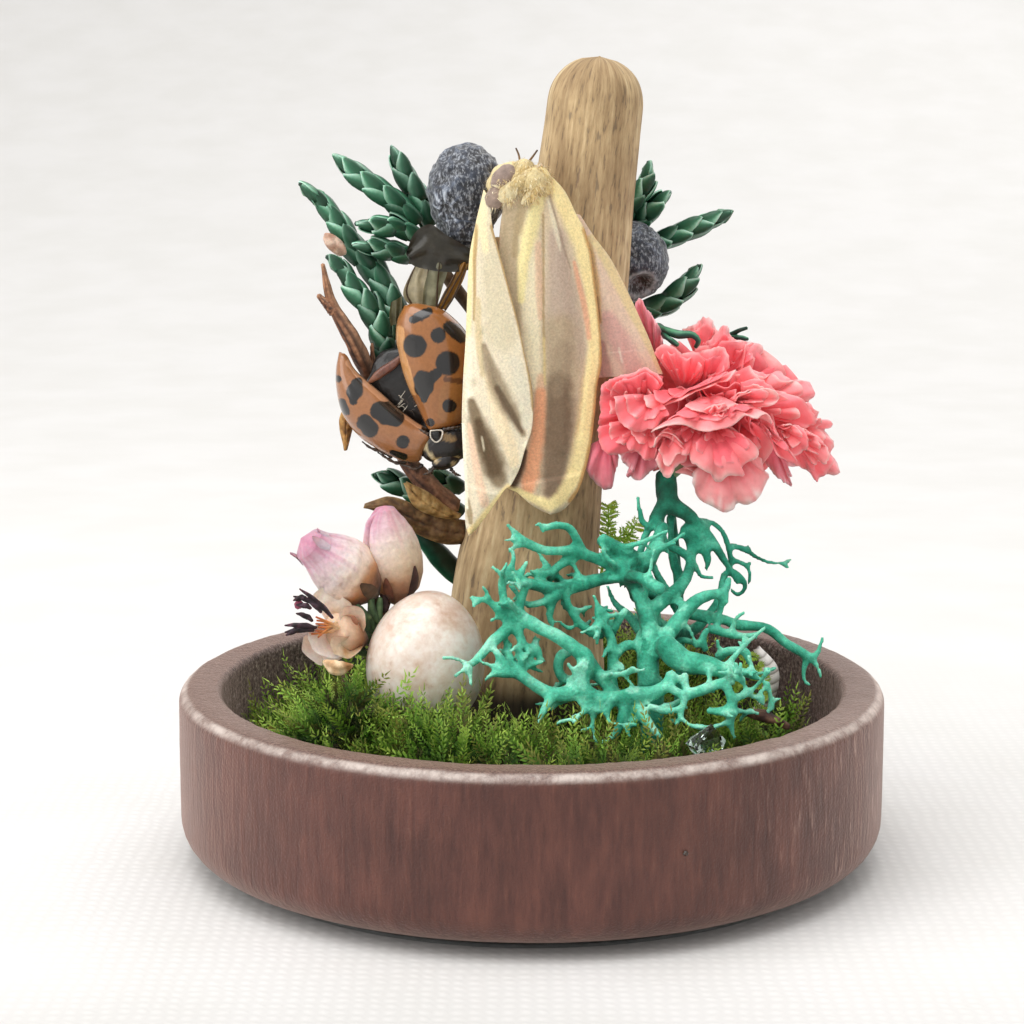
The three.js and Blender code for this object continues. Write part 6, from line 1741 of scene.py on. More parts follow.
lichenSizes = {"voxel": 0.105, "smooth": 3, "extra": 0.02, "sprouts": 230, "seed": 4}
lichenBranches = [  # x, y, z and radius along every branch, root first
    [(3.37, -8.1, 8.68, 0.27), (2.63, -8.04, 8.59, 0.31), (1.9, -7.97, 8.87, 0.37),
     (1.02, -7.91, 8.78, 0.31), (0.43, -7.85, 8.92, 0.27), (-0.46, -7.79, 9.51, 0.24),
     (-0.9, -7.72, 9.72, 0.23), (-1.27, -7.66, 10.16, 0.19), (-1.49, -7.6, 10.52, 0.13)],
    [(0.72, -8.1, 8.68, 0.2), (0.42, -8.4, 8.23, 0.16), (0.2, -8.7, 7.81, 0.05)],
    [(-0.9, -7.8, 9.62, 0.2), (-1.56, -7.95, 9.62, 0.16), (-1.92, -8.1, 9.42, 0.04)],
    [(-1.12, -7.8, 9.74, 0.16), (-1.71, -7.85, 9.96, 0.1), (-2.04, -7.9, 10.08, 0.03)],
    [(1.9, -8, 8.88, 0.35), (1.94, -7.84, 9.45, 0.34), (2.12, -7.69, 10.16, 0.35), (1.75, -7.53, 10.5, 0.28),
     (1.02, -7.37, 11, 0.27), (0.28, -7.21, 11.34, 0.26), (-0.31, -7.06, 11.68, 0.26),
     (-0.64, -6.9, 11.87, 0.2)],
    [(2.13, -7.2, 10.05, 0.31), (2.65, -7.4, 9.41, 0.26), (3.35, -7.6, 8.66, 0.22)],
    [(-0.56, -6.9, 11.57, 0.24), (-0.53, -6.8, 12.15, 0.21), (-0.37, -6.7, 12.66, 0.18),
     (-0.23, -6.6, 12.94, 0.13)],
    [(-0.86, -6.9, 11.65, 0.2), (-1.12, -6.8, 12.31, 0.17), (-1.23, -6.7, 12.89, 0.16),
     (-1.1, -6.6, 13.4, 0.17), (-0.82, -6.5, 13.75, 0.14), (-0.76, -6.4, 14.22, 0.09),
     (-0.99, -6.3, 14.41, 0.03)],
    [(-0.97, -6.5, 13.15, 0.2), (-0.53, -6.43, 13.36, 0.21), (-0.34, -6.37, 13.67, 0.12),
     (-0.21, -6.3, 13.88, 0.06)],
    [(-0.71, -6.9, 11.5, 0.22), (-1.12, -7.1, 11.16, 0.24), (-1.64, -7.3, 10.75, 0.23),
     (-2.08, -7.5, 10.27, 0.19), (-2.52, -7.7, 9.94, 0.16), (-2.81, -7.9, 10.14, 0.1),
     (-3.17, -8.1, 10.3, 0.05), (-3.62, -8.3, 10.38, 0.02)],
    [(-2.51, -8.1, 10, 0.14), (-2.86, -8.2, 9.77, 0.09), (-3.11, -8.3, 9.62, 0.03)],
    [(-2.51, -8.1, 9.96, 0.14), (-2.47, -8.25, 9.55, 0.09), (-2.45, -8.4, 9.27, 0.03)],
    [(-0.82, -6.9, 11.5, 0.19), (-1.19, -6.93, 11.8, 0.18), (-1.71, -6.95, 12.32, 0.15),
     (-2.14, -6.97, 12.48, 0.1), (-2.51, -7, 12.54, 0.03)],
    [(-1.75, -7, 12.39, 0.13), (-1.84, -7.05, 12.74, 0.09), (-2, -7.1, 12.99, 0.03)],
    [(-2.12, -7, 12.39, 0.1), (-2.39, -7.2, 12.2, 0.03)],
    [(-0.64, -7, 11.37, 0.2), (-0.45, -7.2, 10.81, 0.18), (-0.23, -7.4, 10.47, 0.13)],
    [(-0.08, -7.1, 10.63, 0.12), (0.21, -7.17, 10.42, 0.16), (0.32, -7.23, 10.06, 0.13),
     (0.49, -7.3, 10.01, 0.04)],
    [(-0.93, -7.3, 10.41, 0.05), (-0.79, -7.38, 10.01, 0.14), (-0.6, -7.45, 9.8, 0.18),
     (-0.16, -7.52, 9.9, 0.13), (0.43, -7.6, 10.05, 0.05)],
    [(2.86, -4.9, 13.59, 0.22), (2.25, -5.07, 13.85, 0.22), (1.65, -5.23, 14.11, 0.22),
     (1.04, -5.4, 14.11, 0.17), (0.44, -5.57, 14.18, 0.18), (-0.15, -5.73, 14.44, 0.19),
     (-0.53, -5.9, 14.69, 0.2)],
    [(-0.45, -5.8, 14.64, 0.17), (-0.81, -5.9, 15.06, 0.12), (-1.02, -6, 15.3, 0.03)],
    [(-0.53, -5.9, 14.66, 0.12), (-0.86, -6.05, 14.69, 0.08), (-1.11, -6.2, 14.68, 0.02)],
    [(-0.38, -5.9, 14.51, 0.14), (-0.79, -6, 14.34, 0.1), (-1, -6.1, 14.23, 0.03)],
    [(1.99, -5.1, 14.12, 0.17), (1.79, -5.2, 14.56, 0.17), (1.49, -5.3, 15.02, 0.17),
     (1.04, -5.4, 15.17, 0.15), (0.61, -5.5, 15.09, 0.15), (0.35, -5.6, 14.96, 0.1)],
    [(0.63, -5.6, 15.11, 0.1), (0.37, -5.65, 15.24, 0.05), (0.08, -5.7, 15.22, 0.02)],
    [(1.8, -5, 13.84, 0.2), (1.2, -5.25, 13.56, 0.19), (0.75, -5.5, 13.26, 0.17), (0.44, -5.75, 13.21, 0.14),
     (0.2, -6, 13.4, 0.04)],
    [(0.59, -5.7, 13.29, 0.12), (0.14, -5.85, 13.24, 0.1), (-0.09, -6, 13.41, 0.04)],
    [(5.2, -6.2, 12.67, 0.24), (4.18, -5.5, 13.06, 0.22), (2.93, -5, 12.88, 0.24), (2.1, -5.27, 12.74, 0.24),
     (1.5, -5.53, 12.65, 0.27),
     (1.04, -5.8, 12.61, 0.31), (0.44, -6.07, 12.76, 0.26), (-0.16, -6.33, 12.96, 0.23),
     (-0.6, -6.6, 13.17, 0.17)],
    [(1.04, -6, 12.44, 0.22), (0.44, -6.15, 12.17, 0.15), (-0.23, -6.3, 12.05, 0.13)],
    [(0.82, -6, 12.21, 0.17), (0.68, -6.1, 11.55, 0.15), (0.83, -6.2, 11.07, 0.05)],
    [(1.34, -5.8, 12.4, 0.13), (1.51, -5.85, 11.8, 0.15), (1.94, -5.9, 11.2, 0.17),
     (2.46, -5.95, 10.82, 0.19), (2.87, -6, 10.76, 0.17)],
    [(1.58, -6, 10.99, 0.1), (1.23, -6.05, 11.19, 0.08), (1.04, -6.1, 11.39, 0.03)],
    [(3.01, -4.4, 14.45, 0.04), (3.08, -4.4, 14.06, 0.15), (3.19, -4.4, 13.6, 0.2), (3.63, -4.4, 13.1, 0.21),
     (4.03, -4.4, 12.52, 0.23), (4.29, -4.4, 11.87, 0.24)],
    [(2.45, -6, 12.45, 0.04), (2.6, -6.11, 12.01, 0.13), (2.69, -6.23, 11.42, 0.17),
     (3.03, -6.34, 10.99, 0.19), (3.19, -6.46, 10.56, 0.19), (3.21, -6.57, 9.82, 0.2),
     (3.2, -6.69, 9.16, 0.2), (3.34, -6.8, 8.58, 0.16)],
    [(3.76, -6, 11.83, 0.14), (3.4, -5.9, 11.2, 0.16), (3.22, -5.8, 10.75, 0.16)],
    [(2.86, -6.1, 11.85, 0.1), (3.01, -6.15, 11.56, 0.09), (3.42, -6.2, 11.72, 0.09)],
    [(3.21, -6.3, 9.76, 0.16), (3.62, -6.15, 10.3, 0.2), (4.04, -6, 10.45, 0.16)],
    [(1.73, -6.9, 10.36, 0.14), (1.14, -6.88, 10.12, 0.22), (1.03, -6.85, 9.58, 0.2),
     (1.27, -6.83, 9.12, 0.18), (1.7, -6.8, 9.19, 0.13)],
    [(3.66, -8, 8.58, 0.24), (3.59, -8.15, 8.01, 0.22), (3.29, -8.3, 7.29, 0.17), (2.7, -8.45, 6.94, 0.09),
     (2.46, -8.6, 7.07, 0.03)],
    [(3.18, -8.1, 8.64, 0.17), (2.94, -8.3, 8.16, 0.14), (3, -8.5, 7.78, 0.04)],
    [(5.51, -2.5, 16.84, 0.42), (5.56, -2.65, 16, 0.45), (5.64, -2.8, 15.36, 0.4)],
    [(5.77, -2.8, 15.52, 0.36), (6.4, -2.77, 15.14, 0.3), (6.87, -2.74, 14.74, 0.26),
     (7.27, -2.71, 14.28, 0.26), (7.69, -2.69, 13.64, 0.26), (8.07, -2.66, 13.03, 0.21),
     (8.33, -2.63, 12.55, 0.14), (8.56, -2.6, 12.17, 0.05)],
    [(5.39, -2.8, 15.44, 0.32), (5.06, -3.1, 14.98, 0.24), (4.67, -3.4, 14.4, 0.2),
     (4.43, -3.7, 13.68, 0.19), (4.28, -4, 12.87, 0.19), (4.33, -4.3, 12.26, 0.22)],
    [(5.31, -2.9, 14.86, 0.22), (5.43, -3.02, 14.1, 0.22), (5.62, -3.13, 13.88, 0.24),
     (6.15, -3.25, 13.65, 0.24), (6.66, -3.37, 13.2, 0.17), (6.94, -3.48, 12.7, 0.13),
     (7.46, -3.6, 12.61, 0.03)],
    [(4.89, -3, 13.93, 0.14), (4.92, -3.43, 13.47, 0.16), (5.14, -3.87, 12.8, 0.18),
     (5.61, -4.3, 12.07, 0.18)],
    [(5.82, -2.3, 13.72, 0.24), (5.91, -2.53, 13.05, 0.28), (6.14, -2.77, 12.46, 0.3),
     (6.19, -3, 11.99, 0.28)],
    [(5.81, -2.2, 15.21, 0.2), (5.79, -2.3, 14.44, 0.18), (5.75, -2.4, 13.82, 0.18)],
    [(4.32, -3.3, 16, 0.03), (4.41, -3.37, 15.42, 0.1), (4.52, -3.43, 14.96, 0.12),
     (4.78, -3.5, 14.74, 0.14)],
    [(5.94, -2.9, 14.11, 0.12), (6.32, -2.9, 14.39, 0.16), (6.79, -2.9, 14.31, 0.19),
     (7.26, -2.9, 13.88, 0.18), (7.73, -2.9, 13.76, 0.16)],
    [(6.72, -2.9, 14.07, 0.2), (7.11, -2.93, 13.68, 0.24), (7.27, -2.97, 13.21, 0.24),
     (7.19, -3, 12.82, 0.05)],
    [(6.96, -2.6, 14.87, 0.16), (7.52, -2.5, 14.7, 0.15), (7.94, -2.4, 14.28, 0.15),
     (8.17, -2.3, 13.64, 0.17), (8.28, -2.2, 12.98, 0.14), (8.25, -2.1, 12.4, 0.12)],
    [(8.26, -2.1, 13.72, 0.15), (8.91, -1.9, 13.48, 0.18), (9.41, -1.7, 13.12, 0.13),
     (9.9, -1.5, 12.88, 0.11), (10.49, -1.3, 12.79, 0.08), (10.93, -1.1, 12.9, 0.02)],
    [(10.52, -1.3, 12.79, 0.06), (10.78, -1.3, 12.58, 0.02)],
    [(8.92, -1.8, 13.46, 0.12), (9.08, -1.8, 13.62, 0.06)],
    [(8.37, -2.3, 13.12, 0.16), (8.89, -2.27, 12.9, 0.14), (9.09, -2.23, 12.51, 0.11),
     (9.03, -2.2, 12.09, 0.05)],
    [(8.25, -2.5, 12.72, 0.2), (8.72, -2.52, 12.41, 0.18), (8.88, -2.55, 12.02, 0.14),
     (8.57, -2.58, 11.69, 0.11), (8.25, -2.6, 11.95, 0.09)],
    [(8.9, -2.2, 12.82, 0.08), (9.11, -2.2, 12.98, 0.02)],
    [(5.37, -5.9, 10.62, 0.33), (6.03, -5.6, 11.45, 0.31), (6.65, -5.3, 12.03, 0.28), (7.21, -5, 12.2, 0.23),
     (7.84, -4.7, 12.32, 0.18), (8.05, -4.4, 12.79, 0.12)],
    [(7.8, -4.8, 12.25, 0.14), (7.65, -4.8, 11.47, 0.13), (7.53, -4.8, 10.78, 0.06)],
    [(7.92, -4.7, 12.15, 0.12), (7.92, -4.9, 11.84, 0.03)],
    [(4.64, -6.4, 8.71, 0.4), (4.68, -6.08, 10.04, 0.45), (4.73, -5.77, 10.9, 0.44),
     (4.51, -5.45, 11.77, 0.37), (4.22, -5.13, 12.48, 0.3), (3.92, -4.82, 12.88, 0.26),
     (3.7, -4.5, 13.21, 0.22)],
    [(5.01, -5.4, 12.07, 0.12), (4.94, -5.3, 11.42, 0.2), (4.84, -5.2, 10.77, 0.24)],
    [(4.32, -4.6, 12.29, 0.24), (4.93, -4.6, 12.13, 0.24), (5.55, -4.6, 12.05, 0.22),
     (6.08, -4.6, 12.37, 0.24)],
    [(5.23, -6.5, 10.6, 0.44), (5.98, -6.63, 9.86, 0.5), (6.88, -6.77, 9.72, 0.45), (7.63, -6.9, 9.52, 0.37),
     (8.37, -7.03, 9.47, 0.23), (8.97, -7.17, 9.27, 0.14), (9.45, -7.3, 9.07, 0.03)],
    [(8.62, -7.1, 10.2, 0.04), (8.72, -7.15, 9.83, 0.1), (8.89, -7.2, 9.37, 0.1)],
    [(6.4, -4.6, 11.35, 0.24), (7.02, -4.55, 11.22, 0.26), (7.8, -4.5, 11.07, 0.2),
     (8.42, -4.45, 10.84, 0.22), (9.35, -4.4, 10.75, 0.2), (9.9, -4.35, 10.5, 0.2),
     (10.46, -4.3, 10.01, 0.2), (11.16, -4.25, 9.59, 0.2), (11.56, -4.2, 9.36, 0.17)],
    [(11.52, -4.2, 9.32, 0.14), (11.77, -4.25, 9.69, 0.1), (11.92, -4.3, 10.27, 0.02)],
    [(11.29, -4.2, 9.4, 0.15), (11.18, -4.27, 8.82, 0.11), (11.22, -4.33, 8.43, 0.09),
     (11.45, -4.4, 8.28, 0.02)],
    [(11.56, -4.2, 9.32, 0.14), (11.79, -4.3, 8.94, 0.08), (11.88, -4.4, 8.57, 0.02)],
    [(7.15, -5, 10.81, 0.16), (8.07, -5, 10.57, 0.18), (8.69, -5, 10.49, 0.14), (9.31, -5, 10.66, 0.03)],
    [(8.13, -5, 10.57, 0.1), (8.22, -5.03, 11.05, 0.11), (8.4, -5.07, 11.37, 0.07),
     (8.66, -5.1, 11.49, 0.02)],
    [(8.69, -5, 10.53, 0.08), (9.14, -5.1, 10.45, 0.02)],
    [(7.42, -5.6, 9.77, 0.12), (7.72, -5.64, 9.93, 0.18), (8.18, -5.68, 10.06, 0.15),
     (8.63, -5.72, 10.02, 0.18), (8.8, -5.76, 9.57, 0.11), (9.06, -5.8, 9.1, 0.06)],
    [(7.69, -5.6, 9.65, 0.14), (7.57, -5.65, 10.01, 0.08), (7.48, -5.7, 10.5, 0.02)],
    [(7.05, -5.5, 9.98, 0.12), (6.92, -5.5, 10.53, 0.15), (7.11, -5.5, 10.92, 0.12)],
    [(6.65, -5.7, 10.18, 0.11), (6.5, -5.75, 10.62, 0.07), (6.29, -5.8, 11.06, 0.02)],
    [(5.68, -5.3, 10.17, 0.16), (6.06, -5.37, 10.42, 0.14), (6.43, -5.43, 10.36, 0.12),
     (6.81, -5.5, 10.21, 0.1)],
    [(6.06, -7.9, 8.74, 0.22), (6.88, -7.97, 9.02, 0.21), (7.54, -8.03, 9.26, 0.21),
     (7.84, -8.1, 8.81, 0.19), (7.93, -8.17, 8.23, 0.18), (7.85, -8.23, 7.75, 0.15),
     (8.02, -8.3, 7.07, 0.04)],
    [(6.96, -8, 8.15, 0.14), (7.4, -8.1, 8.14, 0.16), (7.88, -8.2, 8.31, 0.17)],
    [(8, -8, 8.61, 0.14), (8.53, -7.95, 8.85, 0.14), (8.92, -7.9, 9.15, 0.07)],
    [(8.45, -8, 8.84, 0.1), (8.41, -7.95, 9.21, 0.06), (8.33, -7.9, 9.55, 0.02)],
    [(3.51, -8, 8.65, 0.32), (4.12, -7.85, 8.75, 0.33), (4.8, -7.7, 8.79, 0.29), (5.41, -7.55, 9.11, 0.26),
     (5.56, -7.4, 9.54, 0.22)],
    [(4.19, -8, 8.26, 0.22), (4.55, -8.4, 7.75, 0.2), (5.02, -8.8, 7.26, 0.11)],
    [(5.39, -7.9, 9.09, 0.19), (5.99, -8.15, 8.69, 0.15), (5.86, -8.4, 7.94, 0.05)],
    [(4.63, -8.2, 8.39, 0.13), (5.3, -8.25, 8.16, 0.14), (5.98, -8.3, 8.36, 0.1)],
    [(6.06, -7.5, 9.53, 0.14), (6.09, -7.6, 9.01, 0.15), (6.08, -7.7, 8.57, 0.14)]]
lichenRoots = [  # from the bed up to the first fork, and the joins behind
    [(2.75, -4.9, 14.5, 0.26), (3.5, -4.8, 14.1, 0.26), (4.3, -4.7, 13.6, 0.3)],
    [(2.75, -5, 13.75, 0.24), (3.5, -4.8, 13.3, 0.26), (4.4, -4.7, 12.9, 0.3)],
    [(4.55, -4.6, 13.2, 0.32), (5, -4.2, 14, 0.3), (5.4, -3.4, 14.8, 0.34)],
    [(5, -5.4, 11.8, 0.3), (6.2, -4.2, 12.6, 0.26), (6.6, -3, 13.6, 0.26), (6.3, -2.7, 14.6, 0.3)],
    [(4.9, -5.2, 11, 0.34), (6.4, -4, 10.4, 0.3), (7.6, -3.2, 11.4, 0.24), (8, -2.6, 12.6, 0.2)],
    [(4.9, -5.6, 10.2, 0.3), (4.2, -4.2, 10.9, 0.26), (3.4, -3.6, 11.6, 0.2), (3.1, -3.6, 12.3, 0.1)],
    [(4.85, -6.3, 4.8, 0.46), (4.85, -6.25, 7, 0.44), (4.85, -6.2, 8.4, 0.46), (4.82, -6.2, 9, 0.45)],
    [(6.2, -1.4, 6, 0.26), (6.3, -1.2, 9.6, 0.26), (6.1, -1.2, 12.6, 0.26), (5.8, -1.9, 14.9, 0.3)]]


def lichenSprouts(branches):  # small forked side shoots, scattered along the branches
    d = lichenSizes
    rng = random.Random(d["seed"])
    weights = [np.linalg.norm(np.diff(np.array(b)[:, :3], axis=0), axis=1).sum() for b in branches]
    shoots = []
    for _ in range(d["sprouts"]):
        values = np.array(rng.choices(branches, weights)[0])
        k = rng.randrange(1, len(values))
        start, before = values[k], values[k - 1]
        along = unit(start[:3] - before[:3])
        out = unit(np.cross(along, [rng.gauss(0, 1), rng.gauss(0, 1), rng.gauss(0, 1)]))
        way = unit(out + 0.7 * along + np.array([0, 0.45, 0.15]))
        length = rng.uniform(0.7, 1.3) + (1.1 if start[3] > 0.2 and rng.random() < 0.5 else 0)
        r = min(start[3], 0.17) * 0.75
        middle = start[:3] + way * length * 0.5 + out * 0.1
        tip = start[:3] + way * length + np.array([rng.uniform(-0.2, 0.2), 0, rng.uniform(0, 0.3)])
        if (math.hypot(tip[0], tip[1]) > bedSizes["planted"] or tip[2] < 7.4
            or (tip[0] < 4.3 and tip[1] > -4.2)
            or start[2] > 14.4
                or (start[0] > 4.6 and start[2] > 12.3)
                or (start[0] > 5.8 and start[2] > 9.5 and start[1] > -6.5)
                or (tip[2] > 14.4 and tip[0] < 4.5) or tip[0] < -1.5):
            continue
        shoots.append([(*start[:3], r), (*middle, r * 0.8), (*tip, 0.06)])
        for turn in (-1, 1):
            side = unit(out * turn + way * 0.9 + 0.3 * np.array([rng.gauss(0, 1) for _ in range(3)]))
            shoots.append([(*middle, r * 0.7), (*(middle + side * 0.3), 0.09),
                           (*(middle + side * rng.uniform(0.45, 0.7)), 0.02)])
    return shoots


def makeLichen():
    # Preserved, dyed reindeer lichen: powdery sea green, paler at the thin tips, with painted light on
    # upturned and front faces and painted shade in the depths
    finish = tintedMaterial("dyedReindeerLichen", {"Roughness": 0.85, "Subsurface Weight": 0.2,
                                                   "Subsurface Scale": 0.0004, "Sheen Weight": 0.1},
                            7500.0, 0.72, 1.2, 0.8, 0.00008)
    parts, samples, tipness = [], [], []
    branches = lichenBranches + lichenRoots
    branches += lichenSprouts(branches)
    for number, branch in enumerate(branches):
        values = np.array(branch)
        steps = max(10, int(np.linalg.norm(np.diff(values[:, :3], axis=0), axis=1).sum() / 0.1))
        path = pathPoints(values[:, :3], steps)
        radius = spread(values[:, 3], steps) + lichenSizes["extra"]
        slim = np.where(path[:, 2] > 14.9, 1, np.interp(path[:, 1], [-4.4, -3.4], [1, 0.74]))
        radius = np.maximum(radius * slim, 0.1)  # slimmer at the back

        def knobs(t, angle):
            p = (math.cos(angle) * 1.2 + number, math.sin(angle) * 1.2, 9 * t)
            return 1 + 0.12 * wobble(p, 1, 3)

        points, faces, _, _ = sweep(path, radius, 12, steps, knobs)
        parts.append((points, faces))
        samples += list(path)
        tipness += list(np.clip(1.25 - radius / 0.26, 0, 1))
    points, faces = gather(parts)
    # in millimetres while the branches are fused
    piece = meshPiece("reindeerLichen", points / mm, faces, finish)
    fuse = piece.modifiers.new("fuse", "REMESH")
    fuse.mode = "VOXEL"
    fuse.voxel_size = lichenSizes["voxel"]
    fuse.use_smooth_shade = True
    relax = piece.modifiers.new("relax", "SMOOTH")
    relax.factor = 0.5
    relax.iterations = lichenSizes["smooth"]
    plainMesh(piece)
    piece.data.transform(Matrix.Scale(mm, 4))
    tree = KDTree(len(samples))
    for i, sample in enumerate(samples):
        tree.insert(sample, i)
    tree.balance()
    # painted shade: many branches near by means deep in the clump, where the colour is darkened
    crowds = [len(tree.find_range(sample, 0.9)) for sample in samples]
    crowdLevel = np.percentile(crowds, [20, 95])
    tipShare, spots, crowdShade = [], [], []
    for vertex in piece.data.vertices:
        spot = vertex.co / mm
        spots.append(spot)
        nearest = tree.find(spot)[1]
        tipShare.append(tipness[nearest])
        crowdShade.append(np.interp(crowds[nearest], crowdLevel, [0, 1]))
    tipShare = np.array(tipShare)
    depth = np.array([spot.y for spot in spots])
    # painted light and shade: faces turned up and to the front, and the front of the clump, are lighter;
    # crowded places are darker
    lit = np.array([vertex.normal.z * 0.5 - vertex.normal.y * 0.35 for vertex in piece.data.vertices])
    cloud = np.array([wobble(spot, 0.9, 3) + 0.6 * wobble(spot, 3.1, 7) for spot in spots])
    front = np.clip((-depth - 2.5) / 5, 0, 1)
    value = 0.12 + 0.32 * tipShare + 0.36 * lit + 0.36 * front + 0.26 * cloud - 0.32 * np.array(crowdShade)
    tint = blendColours(["#033628", "#0f6a50", "#289c7c", "#5ccaa8", "#acf0d6"],
                        [-0.1, 0.22, 0.45, 0.74, 1.1], value)
    piece.data.attributes.new("tint", "FLOAT_COLOR", "POINT").data.foreach_set("color", tint.ravel())
    piece.data.polygons.foreach_set("use_smooth", [True] * len(piece.data.polygons))
    print("lichen triangles", countTriangles(piece))
    place(piece, "lichen", *["lichen_" + part for part in (
        "trunk", "flower_neck", "right_tip", "long_right", "pale_fork", "upper_diagonal", "upper_left",
        "middle_left",
        "lower_left", "low_right")])


makeLichen()
print("lichen done")


# pink double flower

